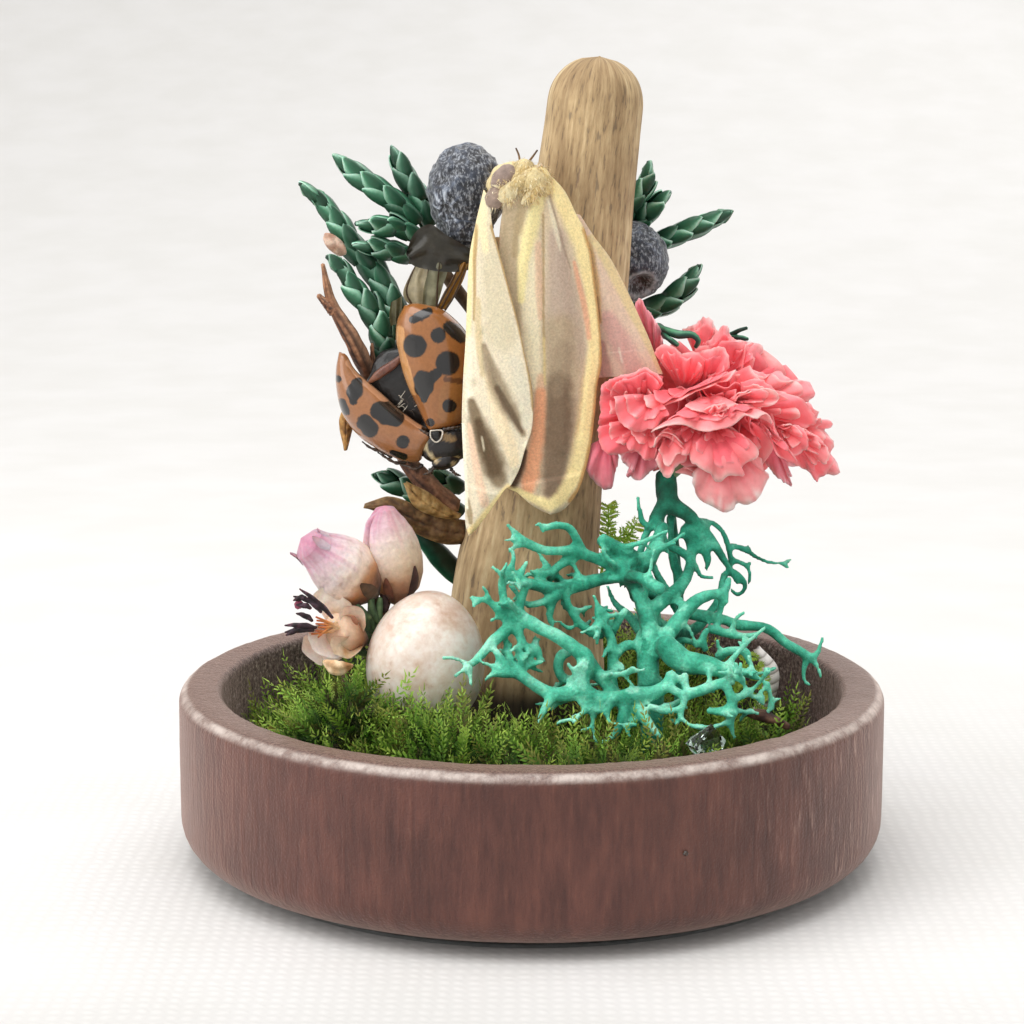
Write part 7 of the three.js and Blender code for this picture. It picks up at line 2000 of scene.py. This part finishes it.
petalSizes = {"thickness": 0.05, "across": 34, "down": 12, "loose": 48, "centre": (7.85, -0.8, 19.05),
              "half": (4.4, 4.1, 3.4)}
petalColours = {  # root, body, towards the rim, rim; the root colour is the petal's deeper pink, darkened further as painted shade where petals crowd at the centre
    "soft": ["#e24654", "#fb6b74", "#ff8187", "#ffb0ae"],
    "pale": ["#e84c58", "#fd7179", "#ff9092", "#ffc6c1"],
    "deep": ["#d03c4c", "#f25966", "#fa6f78", "#fd989b"],
    "vein": ["#e65262", "#fa7881", "#fc9599", "#ffc8c5"],
    "rose": ["#b23a50", "#d96072", "#e5828c", "#f5b8bc"],
    "sheer": ["#e24656", "#f67c83", "#f9a0a0", "#fdd4d0"]}
petalRims = [  # kind, root, points along the free edge, and how far the face swells to the front
    ("rose", (5.14, -0.6, 20.96), [(4.2, -1.3, 23.54), (4.32, -1.3, 23.8), (4.53, -1.3, 23.8),
     (4.77, -1.3, 23.47), (5.08, -1.3, 23), (5.32, -1.3, 22.6), (5.42, -1.3, 21.99)], 0.1),
    ("vein", (7.22, 1, 20.83), [(6.39, 1.2, 22.33), (6.73, 1.2, 22.52), (7.07, 1.2, 22.67),
     (7.28, 1.2, 22.87), (7.59, 1.2, 22.8), (7.76, 1.2, 22.47), (7.85, 1.2, 22.18), (7.71, 1.2, 21.64)], 0.2),
    ("vein", (7.88, 0.6, 20.53), [(7.05, 0.6, 21.5), (7.45, 0.6, 22.05), (7.82, 0.6, 22.29),
     (8.09, 0.6, 22.68), (8.3, 0.6, 22.46), (8.44, 0.6, 22.12), (8.82, 0.6, 21.88), (9.17, 0.6, 21.7)], 0.2),
    ("vein", (8.06, 0.2, 20.38), [(8.11, 0.2, 21.75), (8.65, 0.2, 22.01), (9.26, 0.2, 21.94),
     (9.62, 0.2, 21.81), (9.73, 0.2, 21.6), (9.49, 0.2, 21.26), (9.36, 0.2, 20.9), (9.18, 0.2, 20.69)], 0.2),
    ("soft", (6.29, -0.8, 20.09), [(5.01, -2.2, 21.76), (5.27, -2.2, 22.08), (5.71, -2.2, 22.04),
     (6.11, -2.2, 21.79), (6.44, -2.2, 21.79), (6.85, -2.2, 21.69), (7.12, -2.2, 21.35),
     (7.06, -2.2, 20.95)], 0.3),
    ("soft", (7.1, -0.8, 19.96), [(6.27, -1.9, 21.45), (6.73, -1.9, 21.69), (7.27, -1.9, 21.91),
     (7.73, -1.9, 21.96), (8.09, -1.9, 21.69), (8.08, -1.9, 21.18), (7.68, -1.9, 20.98),
     (7.28, -1.9, 20.84)], 0.3),
    ("vein", (8.74, -0.8, 19.55), [(8.33, -0.6, 20.82), (8.94, -0.6, 20.89), (9.48, -0.6, 20.81),
     (9.89, -0.6, 20.67), (10.3, -0.6, 20.75), (10.78, -0.6, 20.55), (11.26, -0.6, 20.4),
     (11.63, -0.6, 20.26), (11.79, -0.6, 19.96), (11.56, -0.6, 19.52)], 0.3),
    ("soft", (8.96, -1.4, 19.35), [(8.62, -2, 20.52), (9.29, -2, 20.65), (10.03, -2, 20.25),
     (10.64, -2, 20.05), (11.25, -2, 19.71), (11.59, -2, 19.3), (11.74, -2, 18.83), (11.27, -2, 18.62)], 0.3),
    ("pale", (8.04, -2.6, 19.79), [(8.21, -4.1, 19.93), (8.37, -4.1, 20.29), (8.9, -4.1, 20.46),
     (9.42, -4.1, 20.54), (9.89, -4.1, 20.39), (10, -4.1, 20.18), (9.76, -4.1, 19.91), (9.24, -4.1, 19.81),
     (8.61, -4.1, 19.85)], 0.25),
    ("pale", (6.5, -1.6, 20.2), [(4.55, -3.6, 20.19), (4.6, -3.6, 19.83), (4.99, -3.6, 19.59),
     (5.45, -3.6, 19.83), (5.84, -3.6, 19.93), (6.24, -3.6, 20.19), (6.76, -3.6, 20.39), (7.16, -3.6, 20.54),
     (7.55, -3.6, 20.72), (7.94, -3.6, 20.92), (8.27, -3.6, 21.19)], 0.3),
    ("deep", (4.5, -1.4, 19.35), [(2.79, -2.9, 20.1), (2.82, -2.9, 20.5), (3.15, -2.9, 20.76),
     (3.68, -2.9, 20.84), (4.15, -2.9, 20.92), (4.61, -2.9, 21.02), (5.01, -2.9, 20.94),
     (5.35, -2.9, 20.77)], 0.35),
    ("deep", (4.42, -1.6, 19.31), [(2.89, -2.8, 20.56), (2.77, -2.8, 19.95), (2.82, -2.8, 19.41),
     (2.71, -2.8, 18.94), (2.77, -2.8, 18.4), (3.17, -2.8, 18.2), (3.64, -2.8, 18.2)], 0.35),
    ("soft", (4.99, -2.2, 19.94), [(3.28, -4, 20.18), (3.38, -4, 19.65), (3.55, -4, 19.18),
     (3.92, -4, 18.87), (4.35, -4, 18.74), (4.77, -4, 18.91), (5.23, -4, 19.18), (5.56, -4, 19.45)], 0.35),
    ("pale", (7.26, -2.4, 19.76), [(4.77, -4.75, 18.83), (5.19, -4.75, 19.08), (5.78, -4.75, 19.17),
     (6.3, -4.75, 19.09), (6.73, -4.75, 18.94), (7.19, -4.75, 18.88), (7.68, -4.75, 19.01),
     (8.2, -4.75, 19.21), (8.56, -4.75, 19.54), (8.99, -4.75, 19.41), (9.34, -4.75, 19.63),
     (9.57, -4.75, 19.54), (9.64, -4.75, 19.19)], 0.3),
    ("deep", (7.27, -2.2, 20.01), [(5.8, -4.4, 19.5), (6.33, -4.4, 19.36), (6.85, -4.4, 19.23),
     (7.38, -4.4, 19.16), (7.84, -4.4, 19.31), (8.23, -4.4, 19.54), (8.69, -4.4, 19.64)], 0.3),
    ("soft", (7.46, -3.4, 19.1), [(6.94, -4.5, 19.72), (7.33, -4.5, 19.9), (7.69, -4.5, 20.05),
     (7.84, -4.5, 19.77), (7.7, -4.5, 19.49), (7.27, -4.5, 19.5)], 0.12),
    ("soft", (9.39, -2.6, 18.98), [(9.58, -4, 19.45), (9.79, -4, 18.98), (9.99, -4, 18.58),
     (10.33, -4, 18.05), (10.82, -4, 17.55), (10.34, -4, 17.58), (9.94, -4, 17.85), (9.73, -4, 18.38)], 0.2),
    ("pale", (5.64, -2.8, 18.74), [(4.91, -4.1, 18.13), (5.04, -4.1, 18.52), (5.38, -4.1, 18.6),
     (5.83, -4.1, 18.33), (6.24, -4.1, 17.92), (6.25, -4.1, 17.58), (5.84, -4.1, 17.39), (5.45, -4.1, 16.84),
     (5.19, -4.1, 17.26), (4.99, -4.1, 17.69)], 0.3),
    ("pale", (7.49, -3, 18.77), [(6.32, -4.3, 18.09), (6.41, -4.3, 17.63), (6.75, -4.3, 17.41),
     (7.16, -4.3, 17.09), (7.63, -4.3, 16.74), (7.94, -4.3, 17.01), (8.59, -4.3, 17.01), (8.52, -4.3, 17.43),
     (9.07, -4.3, 17.75), (9.13, -4.3, 18.09), (8.78, -4.3, 18.48)], 0.4),
    ("sheer", (7.87, -2.6, 17.83), [(6.51, -3.6, 16.98), (6.6, -3.6, 16.44), (6.85, -3.6, 15.93),
     (7.42, -3.6, 15.61), (8.11, -3.6, 15.38), (8.42, -3.6, 15.69), (9.08, -3.6, 15.86), (9.44, -3.6, 16.4),
     (9.7, -3.6, 16.81), (9.43, -3.6, 17.15), (9.33, -3.6, 17.62)], 0.4),
    ("rose", (4.61, -2, 18.22), [(3.63, -2.9, 17.67), (3.81, -2.9, 17.19), (4.18, -2.9, 17.05),
     (3.83, -2.9, 16.77), (4.35, -2.9, 16.62), (4.85, -2.9, 16.92), (5.18, -2.9, 17.17),
     (5.31, -2.9, 17.67)], 0.3),
    ("rose", (3.13, -2.2, 18.31), [(2.25, -2.55, 17.82), (2.24, -2.55, 17.01), (2.52, -2.55, 16.53),
     (3.06, -2.55, 16.11), (3.29, -2.55, 16.26), (3.44, -2.55, 16.94), (3.57, -2.55, 17.55),
     (3.25, -2.55, 17.82)], 0.25),
    ("deep", (4.61, -2, 18.89), [(2.72, -3.3, 18.88), (2.7, -3.3, 18.34), (2.89, -3.3, 17.97),
     (3.42, -3.3, 17.72), (3.92, -3.3, 17.77), (4.42, -3.3, 17.94), (4.95, -3.3, 18.14)], 0.35),
    ("soft", (4.86, -2.4, 18.82), [(3.67, -3.7, 18.6), (3.8, -3.7, 18.2), (4.34, -3.7, 17.8),
     (4.8, -3.7, 17.53), (5.06, -3.7, 17.8), (4.99, -3.7, 18.34)], 0.3),
    ("vein", (10.59, -0.8, 18.59), [(11.48, -1.2, 19.6), (11.9, -1.2, 19.16), (11.83, -1.2, 18.7),
     (12.38, -1.2, 18.9), (12.46, -1.2, 18.51), (12.18, -1.2, 18.34), (12.61, -1.2, 17.96),
     (12.48, -1.2, 17.44), (12.84, -1.2, 16.72), (12.28, -1.2, 16.57)], 0.3),
    ("soft", (10.6, -1.4, 18.54), [(12.59, -1.9, 17.31), (12.2, -1.9, 16.68), (11.94, -1.9, 16.56),
     (11.8, -1.9, 16.34), (11.47, -1.9, 16.82), (10.84, -1.9, 17.09), (10.43, -1.9, 17.38),
     (10.22, -1.9, 17.79)], 0.3),
    ("soft", (10.11, -2.2, 18.65), [(10.23, -3.3, 18.75), (10.66, -3.3, 18.88), (11.14, -3.3, 18.61),
     (11.28, -3.3, 18.11), (11.09, -3.3, 17.77), (10.75, -3.3, 17.7), (10.34, -3.3, 18.14)], 0.3),
    ("pale", (10.76, -1.8, 18.39), [(11.14, -2.6, 18.58), (11.54, -2.6, 18.44), (11.95, -2.6, 18.17),
     (12.23, -2.6, 17.63), (12.04, -2.6, 17.22), (11.5, -2.6, 17.29)], 0.3),
    ("rose", (9.89, -1.8, 18.12), [(9.47, -2.4, 17.49), (9.78, -2.4, 17.02), (10.16, -2.4, 16.61),
     (10.79, -2.4, 16.25), (10.52, -2.4, 16.75), (10.76, -2.4, 16.59), (10.55, -2.4, 17.04),
     (10.92, -2.4, 17.09)], 0.2),
    ("soft", (6.9, -2.4, 18.9),
     [(5.71, -3.9, 18.75), (5.65, -4, 18.35), (5.85, -4.1, 18.0), (6.3, -4.15, 17.85),
     (6.8, -4.2, 17.95), (7.2, -4.2, 18.2)], 0.3),
    ("soft", (4.46, -1.6, 19.39), [(2.93, -3.3, 20.54), (3.38, -3.3, 20.92), (3.98, -3.3, 21.03),
     (4.43, -3.3, 21.26), (4.81, -3.3, 21.18), (5.19, -3.3, 20.93), (5.34, -3.3, 20.69)], 0.2),
    ("deep", (7.74, -1.6, 18.43), [(5.95, -2.4, 17.32), (6.49, -2.4, 16.92), (6.89, -2.4, 17.32),
     (9.17, -2.4, 17.05), (9.57, -2.4, 17.6)], 0.3)]


def fanPetal(kind, root, rim, swell, seed):  # a sheet from a pleated root out to a wavy, toothed edge
    d = petalSizes
    edge = pathPoints(rim, d["across"] + 1)
    root = np.array(root)
    span = edge[-1] - edge[0]
    rng = random.Random(seed)
    phase, waves = rng.uniform(0, 6), rng.uniform(2, 3.6)
    length = np.linalg.norm(edge[len(edge) // 2] - root)

    def surface(u, v):
        j = round(u * d["across"])
        start = root + span * (u - 0.5) * 0.22
        p = start * (1 - v) + edge[j] * v
        bow = math.sin(math.pi * min(1, v * 0.92 + 0.04))
        p[1] -= swell * bow * (0.6 + 0.4 * math.sin(math.pi * u)) * min(2.2, length)
        p[2] += 0.12 * swell * bow * length
        ruffle = 0.13 * math.sin(2 * math.pi * waves * u + phase)
        ruffle += 0.05 * math.sin(5.3 * math.pi * waves * u * 0.7 + 2)
        p[1] += ruffle * v ** 1.6 * min(1.6, length)
        p[2] += 0.4 * ruffle * v ** 2 * math.cos(3 * u + phase)
        return p

    points, faces, uv = grid(surface, d["across"], d["down"])
    for p, (u, v) in zip(points, uv):
        if v > 0.98:  # small teeth along the free edge
            p += unit(p - root) * 0.1 * wobble((u * 22, seed, 0), 1, 2)
        p += 0.05 * v * np.array([wobble(p, 2.2, seed), wobble(p, 2.2, seed + 4), wobble(p, 2.2, seed + 8)])
    u, v = uv[:, 0], uv[:, 1]
    veins = np.array([wobble((a * 24, b * 2.5, seed), 1, 6) for a, b in uv])
    value = v ** 1.1 + veins * {"sheer": 0.4, "rose": 0.3, "vein": 0.14}.get(kind, 0.05) + np.array(
        [0.14 * wobble(p, 0.9, seed) for p in points])
    return points, faces, blendColours(petalColours[kind], [-0.1, 0.22, 0.9, 1.06], value)


def loosePetal(root, tip, wide, turn, kind, seed):  # one ordinary petal, for the inside and the back
    path = pathPoints([root, (np.array(root) + tip) / 2 + np.array([0, 0, 0.25]), tip], 15)
    tangents, across, up = frames(path)
    rng = random.Random(seed)
    phase = rng.uniform(0, 6)

    def surface(u, v):
        i = round(v * 14)
        s = (u - 0.5) * 2
        side = across[i] * math.cos(turn) + up[i] * math.sin(turn)
        face = np.cross(side, tangents[i])
        half = wide * (0.16 + 0.84 * math.sin(math.pi * 0.5 * min(1, v * 1.25)))
        roll = -0.35 * wide * s * s * v
        wave = 0.2 * math.sin(5 * s + phase) * v * v + 0.3 * wide * (1 - s * s) * v * (1 - v)
        return path[i] + side * half * s + tangents[i] * roll + face * wave

    points, faces, uv = grid(surface, 10, 12)
    value = uv[:, 1] + 0.2 * wobbles(points, 1.2, seed)
    return points, faces, blendColours(petalColours[kind], [0.05, 0.5, 0.85, 1.05], value)


def makeFlower():
    # Dyed everlasting flower petals: thin, crumpled and translucent, coral pink with pale rims
    finish = tintedMaterial("coralPinkPetal", {"Roughness": 0.6, "IOR": 1.35, "Subsurface Weight": 0.15,
                                               "Subsurface Scale": 0.0004,
                                               "Subsurface Radius": (1.0, 0.35, 0.3),
                                               "Sheen Weight": 0.3}, 3500.0, 0.98, 1.12, 0.4, 0.00008)
    d = petalSizes
    centre, half = np.array(d["centre"]), np.array(d["half"])
    parts = [fanPetal(kind, root, rim, swell, number)
             for number, (kind, root, rim, swell) in enumerate(petalRims)]
    rng = random.Random(21)
    for number in range(16):  # ruffles that close the underside round the stalk
        turn = rng.uniform(-3.0, 0.1)
        tip = centre + np.array([math.cos(turn) * half[0] * rng.uniform(0.3, 0.62),
                                 math.sin(turn) * half[1] * 0.7,
                                 -half[2] * rng.uniform(0.42, 0.66)])
        parts.append(loosePetal(centre + np.array([-0.4, -0.3, -0.3]), tip, rng.uniform(0.8, 1.3),
                                rng.uniform(-0.5, 0.5), rng.choice(["soft", "deep"]), number + 200))
    for number, (kind, root, rim, swell) in enumerate(petalRims):  # a smaller ruffle inside most petals
        if kind in ("sheer", "rose"):
            continue
        root, edge = np.array(root), np.array(rim)
        for share in (0.76, 0.46):
            inner = root + (edge - root) * (share + 0.06 * rng.uniform(-1, 1)) + np.array([0, -0.5, 0.18])
            parts.append(fanPetal(rng.choice(["soft", "deep", "pale"]), root + np.array([0, 0.2, 0]), inner,
                                  swell * 0.8, number + 100))
    for number in range(d["loose"]):
        behind = number % 2 == 0
        turn = rng.uniform(0.15, math.pi - 0.15) if behind else -rng.uniform(0.15, math.pi - 0.15)
        rise = rng.uniform(-0.75, 0.95)
        flat = math.sqrt(max(0, 1 - rise * rise))
        way = np.array([flat * math.cos(turn), flat * math.sin(turn), rise])
        reach = rng.uniform(0.82, 0.98) if behind else rng.uniform(0.45, 0.7)
        tip = centre + way * half * reach
        root = centre + way * half * 0.12 + np.array([-0.3, 0, -0.6])
        kind = rng.choice(["soft", "soft", "deep", "pale"]) if behind else rng.choice(["deep", "soft"])
        parts.append(loosePetal(root, tip, rng.uniform(1.1, 1.7) if behind else rng.uniform(0.7, 1.2),
                                rng.uniform(-0.7, 0.7), kind, number + 50))
    flower = sheetPiece("pinkFlowerHead", gather(parts), finish, d["thickness"], "pink_petal", "flower_head")
    print("flower triangles", countTriangles(flower))
    green = tintedMaterial("flowerCalyxSkin", {"Roughness": 0.6}, 4000.0)
    points, faces, along, _ = sweep([(5.6, -2.5, 16.75), (6.3, -2, 17.8), (6.9, -1.6, 18.6)],
                                    [0.35, 0.75, 0.9], 24, 30, lambda t, a: 1 + 0.08 * math.cos(5 * a))
    tint = blendColours(["#5f8a5e", "#b07a66", "#d96a6a"], [0, 0.5, 1], along)
    paintedPiece("flowerCalyx", (points, faces, tint), green, "calyx", "flower_calyx")


makeFlower()
print("flower done")


# small things on the bed

def makeQuartz():
    # Clear rock crystal chip, faintly green from the moss dust on it: broken faces, plain refraction
    material = newMaterial("clearQuartz", {
        "Base Color": hexColour("#b4c4ba"), "Roughness": 0.04, "IOR": 1.544, "Transmission Weight": 1.0})[0]
    rng = random.Random(12)
    shape = bmesh.new()
    turn = Matrix.Rotation(0.25, 3, "Y") @ Matrix.Rotation(0.4, 3, "Z")
    for _ in range(16):
        p = unit([rng.gauss(0, 1), rng.gauss(0, 1), rng.gauss(0, 1)])
        p = turn @ Vector((p[0] * 0.85, p[1] * 0.6, p[2] * 0.9))
        shape.verts.new((p + Vector((6.8, -9.2, 7.15))) * mm)
    hull = bmesh.ops.convex_hull(shape, input=list(shape.verts))
    loose = {item for item in hull["geom_interior"] + hull["geom_unused"]
             if isinstance(item, bmesh.types.BMVert)}
    bmesh.ops.delete(shape, geom=list(loose), context="VERTS")
    bmesh.ops.recalc_face_normals(shape, faces=list(shape.faces))
    mesh = bpy.data.meshes.new("quartzChip")
    shape.to_mesh(mesh)
    shape.free()
    mesh.materials.append(material)
    chip = bpy.data.objects.new("quartzChip", mesh)
    bpy.context.collection.objects.link(chip)
    place(chip, "quartz", "quartz_chip")
    points, faces = ellipsoid((5.74, -13.94, 4.12), (0.11, 0.09, 0.1), (0, 0, 1), 12, 16)
    drop = meshPiece("clearDrop", points, faces, material)  # a dried glue drop on the dish
    place(drop, "quartz")


def makeShell():
    # Bit of ribbed sea shell: chalk white ribs with grey-brown lines between them
    nacre = tintedMaterial("ribbedShell", {"Roughness": 0.35, "IOR": 1.5, "Coat Weight": 0.2}, 5000.0,
                           0.9, 1.06)
    points, faces, uv = ruledSheet([(9.9, 3.7, 7.9), (10.25, 3.5, 7), (10.2, 3.4, 6), (9.8, 3.4, 5.2)],
                                   [(10.1, 4.2, 7.9), (10.9, 4.1, 7), (10.9, 4, 6), (10.5, 4, 5.2)], 20, 60)
    ribs = np.abs(np.sin(math.pi * 7 * uv[:, 1]))
    points[:, 1] -= 0.08 * ribs + 0.25 * np.sin(math.pi * uv[:, 0])
    tint = blendColours(["#6f675c", "#d9d4ca", "#f4f1ea"], [0, 0.35, 0.9], ribs)
    sheetPiece("shellFragment", (points, faces, tint), nacre, 0.18, "shell", "shell_fragment")


def makeFronds():  # long moss strands that stand up behind the post
    finish = bpy.data.materials["preservedMoss"]
    leafy = mossShoot("strandShoot", 0.55, 8, 0.4, 9)
    strands = [([(2.4, 2.9, 8), (3.0, 2.6, 11.4), (3.3, 2.2, 13.06), (3.34, 2.1, 14.6)], 26),
               ([(2.5, 2.9, 8), (3.0, 2.7, 11.4), (3.86, 2.5, 12.66), (4.59, 2.4, 13.87)], 18),
               ([(2.6, 2.9, 8), (3.1, 2.7, 11.6), (3.69, 2.5, 13.06), (4.25, 2.4, 13.38)], 18),
               ([(8.8, 1.5, 5.5), (8.9, 1.2, 7), (9.3, 1, 8.2)], 6),
               ([(10.1, 1.5, 5), (10.0, 1.2, 6.6), (9.8, 1, 7.8)], 6)]
    tips = leafy.data.attributes["tip"].data
    for item in tips:  # these strands stand in the light, so they are bright down to the stem
        item.value = 0.9 + 0.1 * item.value
    spots, stems = [], []
    rng = random.Random(3)
    for controls, count in strands:
        path = pathPoints(controls, count * 3)
        tangents, across, up = frames(path)
        stalk = sweep(controls, [0.05, 0.04, 0.03], 6, 30)
        stems.append((stalk[0], stalk[1], np.full(len(stalk[0]), 0.85), np.full(len(stalk[0]), 0.5)))
        for i in range(int(count * 3 * (0.62 if controls[0][2] > 7 else 0.1)), count * 3):
            turn = i * 2.4
            side = math.cos(turn) * across[i] + math.sin(turn) * up[i]
            along = unit(tangents[i] + 0.6 * side)
            face = unit(np.cross(along, side))
            grown = rng.uniform(0.55, 0.95)
            spots.append((path[i], axesEuler(np.cross(face, along), face, along), (grown, grown, grown),
                          rng.uniform(0.42, 0.5)))
    piece = placeCopies("mossStrands", leafy, spots, finish)
    piece.data.polygons.foreach_set("use_smooth", [False] * len(piece.data.polygons))
    bpy.data.objects.remove(leafy)
    place(piece, "moss")
    points, faces, tip, shade = gather(stems)
    place(meshPiece("mossStrandStems", points, faces, finish, attributes={"tip": tip, "shade": shade}),
          "moss")


makeQuartz()
makeShell()
makeFronds()
print("small things done")


# stage, light and camera

stageSizes = {"floor": 0.9, "lens": 91.4, "distance": 0.1102, "elevation": 10.15, "target": (-0.83, 0, 14.74)}


def makeStage():
    # A pale woven cloth: threads 0.45 mm apart, barely shaded
    material, tree, shader = newMaterial("paleCloth", {"Roughness": 0.9})
    coords = objectCoords(tree)
    cloud = noiseAt(tree, coords, 120.0, 3.0)
    threads = []
    for direction in ("X", "Y"):
        wave = addNode(tree, "ShaderNodeTexWave", {"bands_direction": direction},
                       {"Vector": coords, "Scale": 520.0, "Distortion": 3.0, "Detail": 3.0})
        threads.append(wave.outputs["Fac"])
    weave = product(tree, threads[0], threads[1])
    cloth = ramp(tree, cloud, [(0.35, "#dfddda"), (0.65, "#e3e1df")])
    away = addNode(tree, "ShaderNodeVectorMath", {"operation": "LENGTH"}, {0: coords}).outputs["Value"]
    near = remap(tree, away, 0.02, 0.045, 1.0, 0.0, smooth=True)
    weave = product(tree, weave, near)
    lit = remap(tree, weave, 0.0, 0.8, 0.98, 1.04)
    # painted shade: the cloth is a little darker towards the front
    front = addNode(tree, "ShaderNodeSeparateXYZ", None, {0: coords}).outputs[1]
    frontShade = remap(tree, front, -0.026, -0.014, 0.84, 1.0, smooth=True)
    shaded = product(tree, lit, frontShade)
    colour = scaled(tree, cloth, shaded)
    tree.links.new(colour, shader.inputs["Base Color"])
    addBump(tree, shader, weave, 0.2, 0.0001)
    half = stageSizes["floor"] / mm
    curve = [(-half, 0), (120, 0)] + [(120 + 480 * math.sin(a), 480 - 480 * math.cos(a))
                                      for a in np.linspace(0.06, 1.5, 30)] + [(600, half)]
    points = [(x, y, z) for y, z in curve for x in (-half, half)]
    faces = [(2 * i, 2 * i + 1, 2 * i + 3, 2 * i + 2) for i in range(len(curve) - 1)]
    meshPiece("clothSweep", points, faces, material)


def makeLights():
    world = bpy.data.worlds.new("paleRoom")
    world.use_nodes = True
    back = world.node_tree.nodes["Background"]
    back.inputs["Color"].default_value = hexColour("#f8f8f7")
    back.inputs["Strength"].default_value = 0.88
    bpy.context.scene.world = world
    for name, energy, size, spot, towards in (
            ("skyPanel", 0.42, 0.22, (-0.05, -0.06, 0.26), (0, 0, 0.01)),
            ("windowPanel", 0.3, 0.2, (-0.24, -0.12, 0.14), (0, 0, 0.015)),
            ("backPanel", 0.22, 0.25, (0.12, 0.24, 0.2), (0, 0, 0.015))):
        light = bpy.data.lights.new(name, "AREA")
        light.energy = energy
        light.size = size
        lamp = bpy.data.objects.new(name, light)
        lamp.location = spot
        lamp.rotation_euler = (Vector(towards) - Vector(spot)).to_track_quat("-Z", "Y").to_euler()
        bpy.context.collection.objects.link(lamp)


def makeCamera():
    d = stageSizes
    camera = bpy.data.cameras.new("camera")
    camera.lens = d["lens"]
    camera.sensor_width = 36
    camera.clip_start = 0.005
    eye = bpy.data.objects.new("camera", camera)
    tilt = math.radians(d["elevation"])
    target = Vector(d["target"]) * mm
    eye.location = target + Vector((0, -math.cos(tilt), math.sin(tilt))) * d["distance"]
    eye.rotation_euler = (math.pi / 2 - tilt, 0, 0)
    bpy.context.collection.objects.link(eye)
    bpy.context.scene.camera = eye


makeStage()
makeLights()
makeCamera()
bpy.context.scene.view_settings.view_transform = "Standard"
print("stage done")
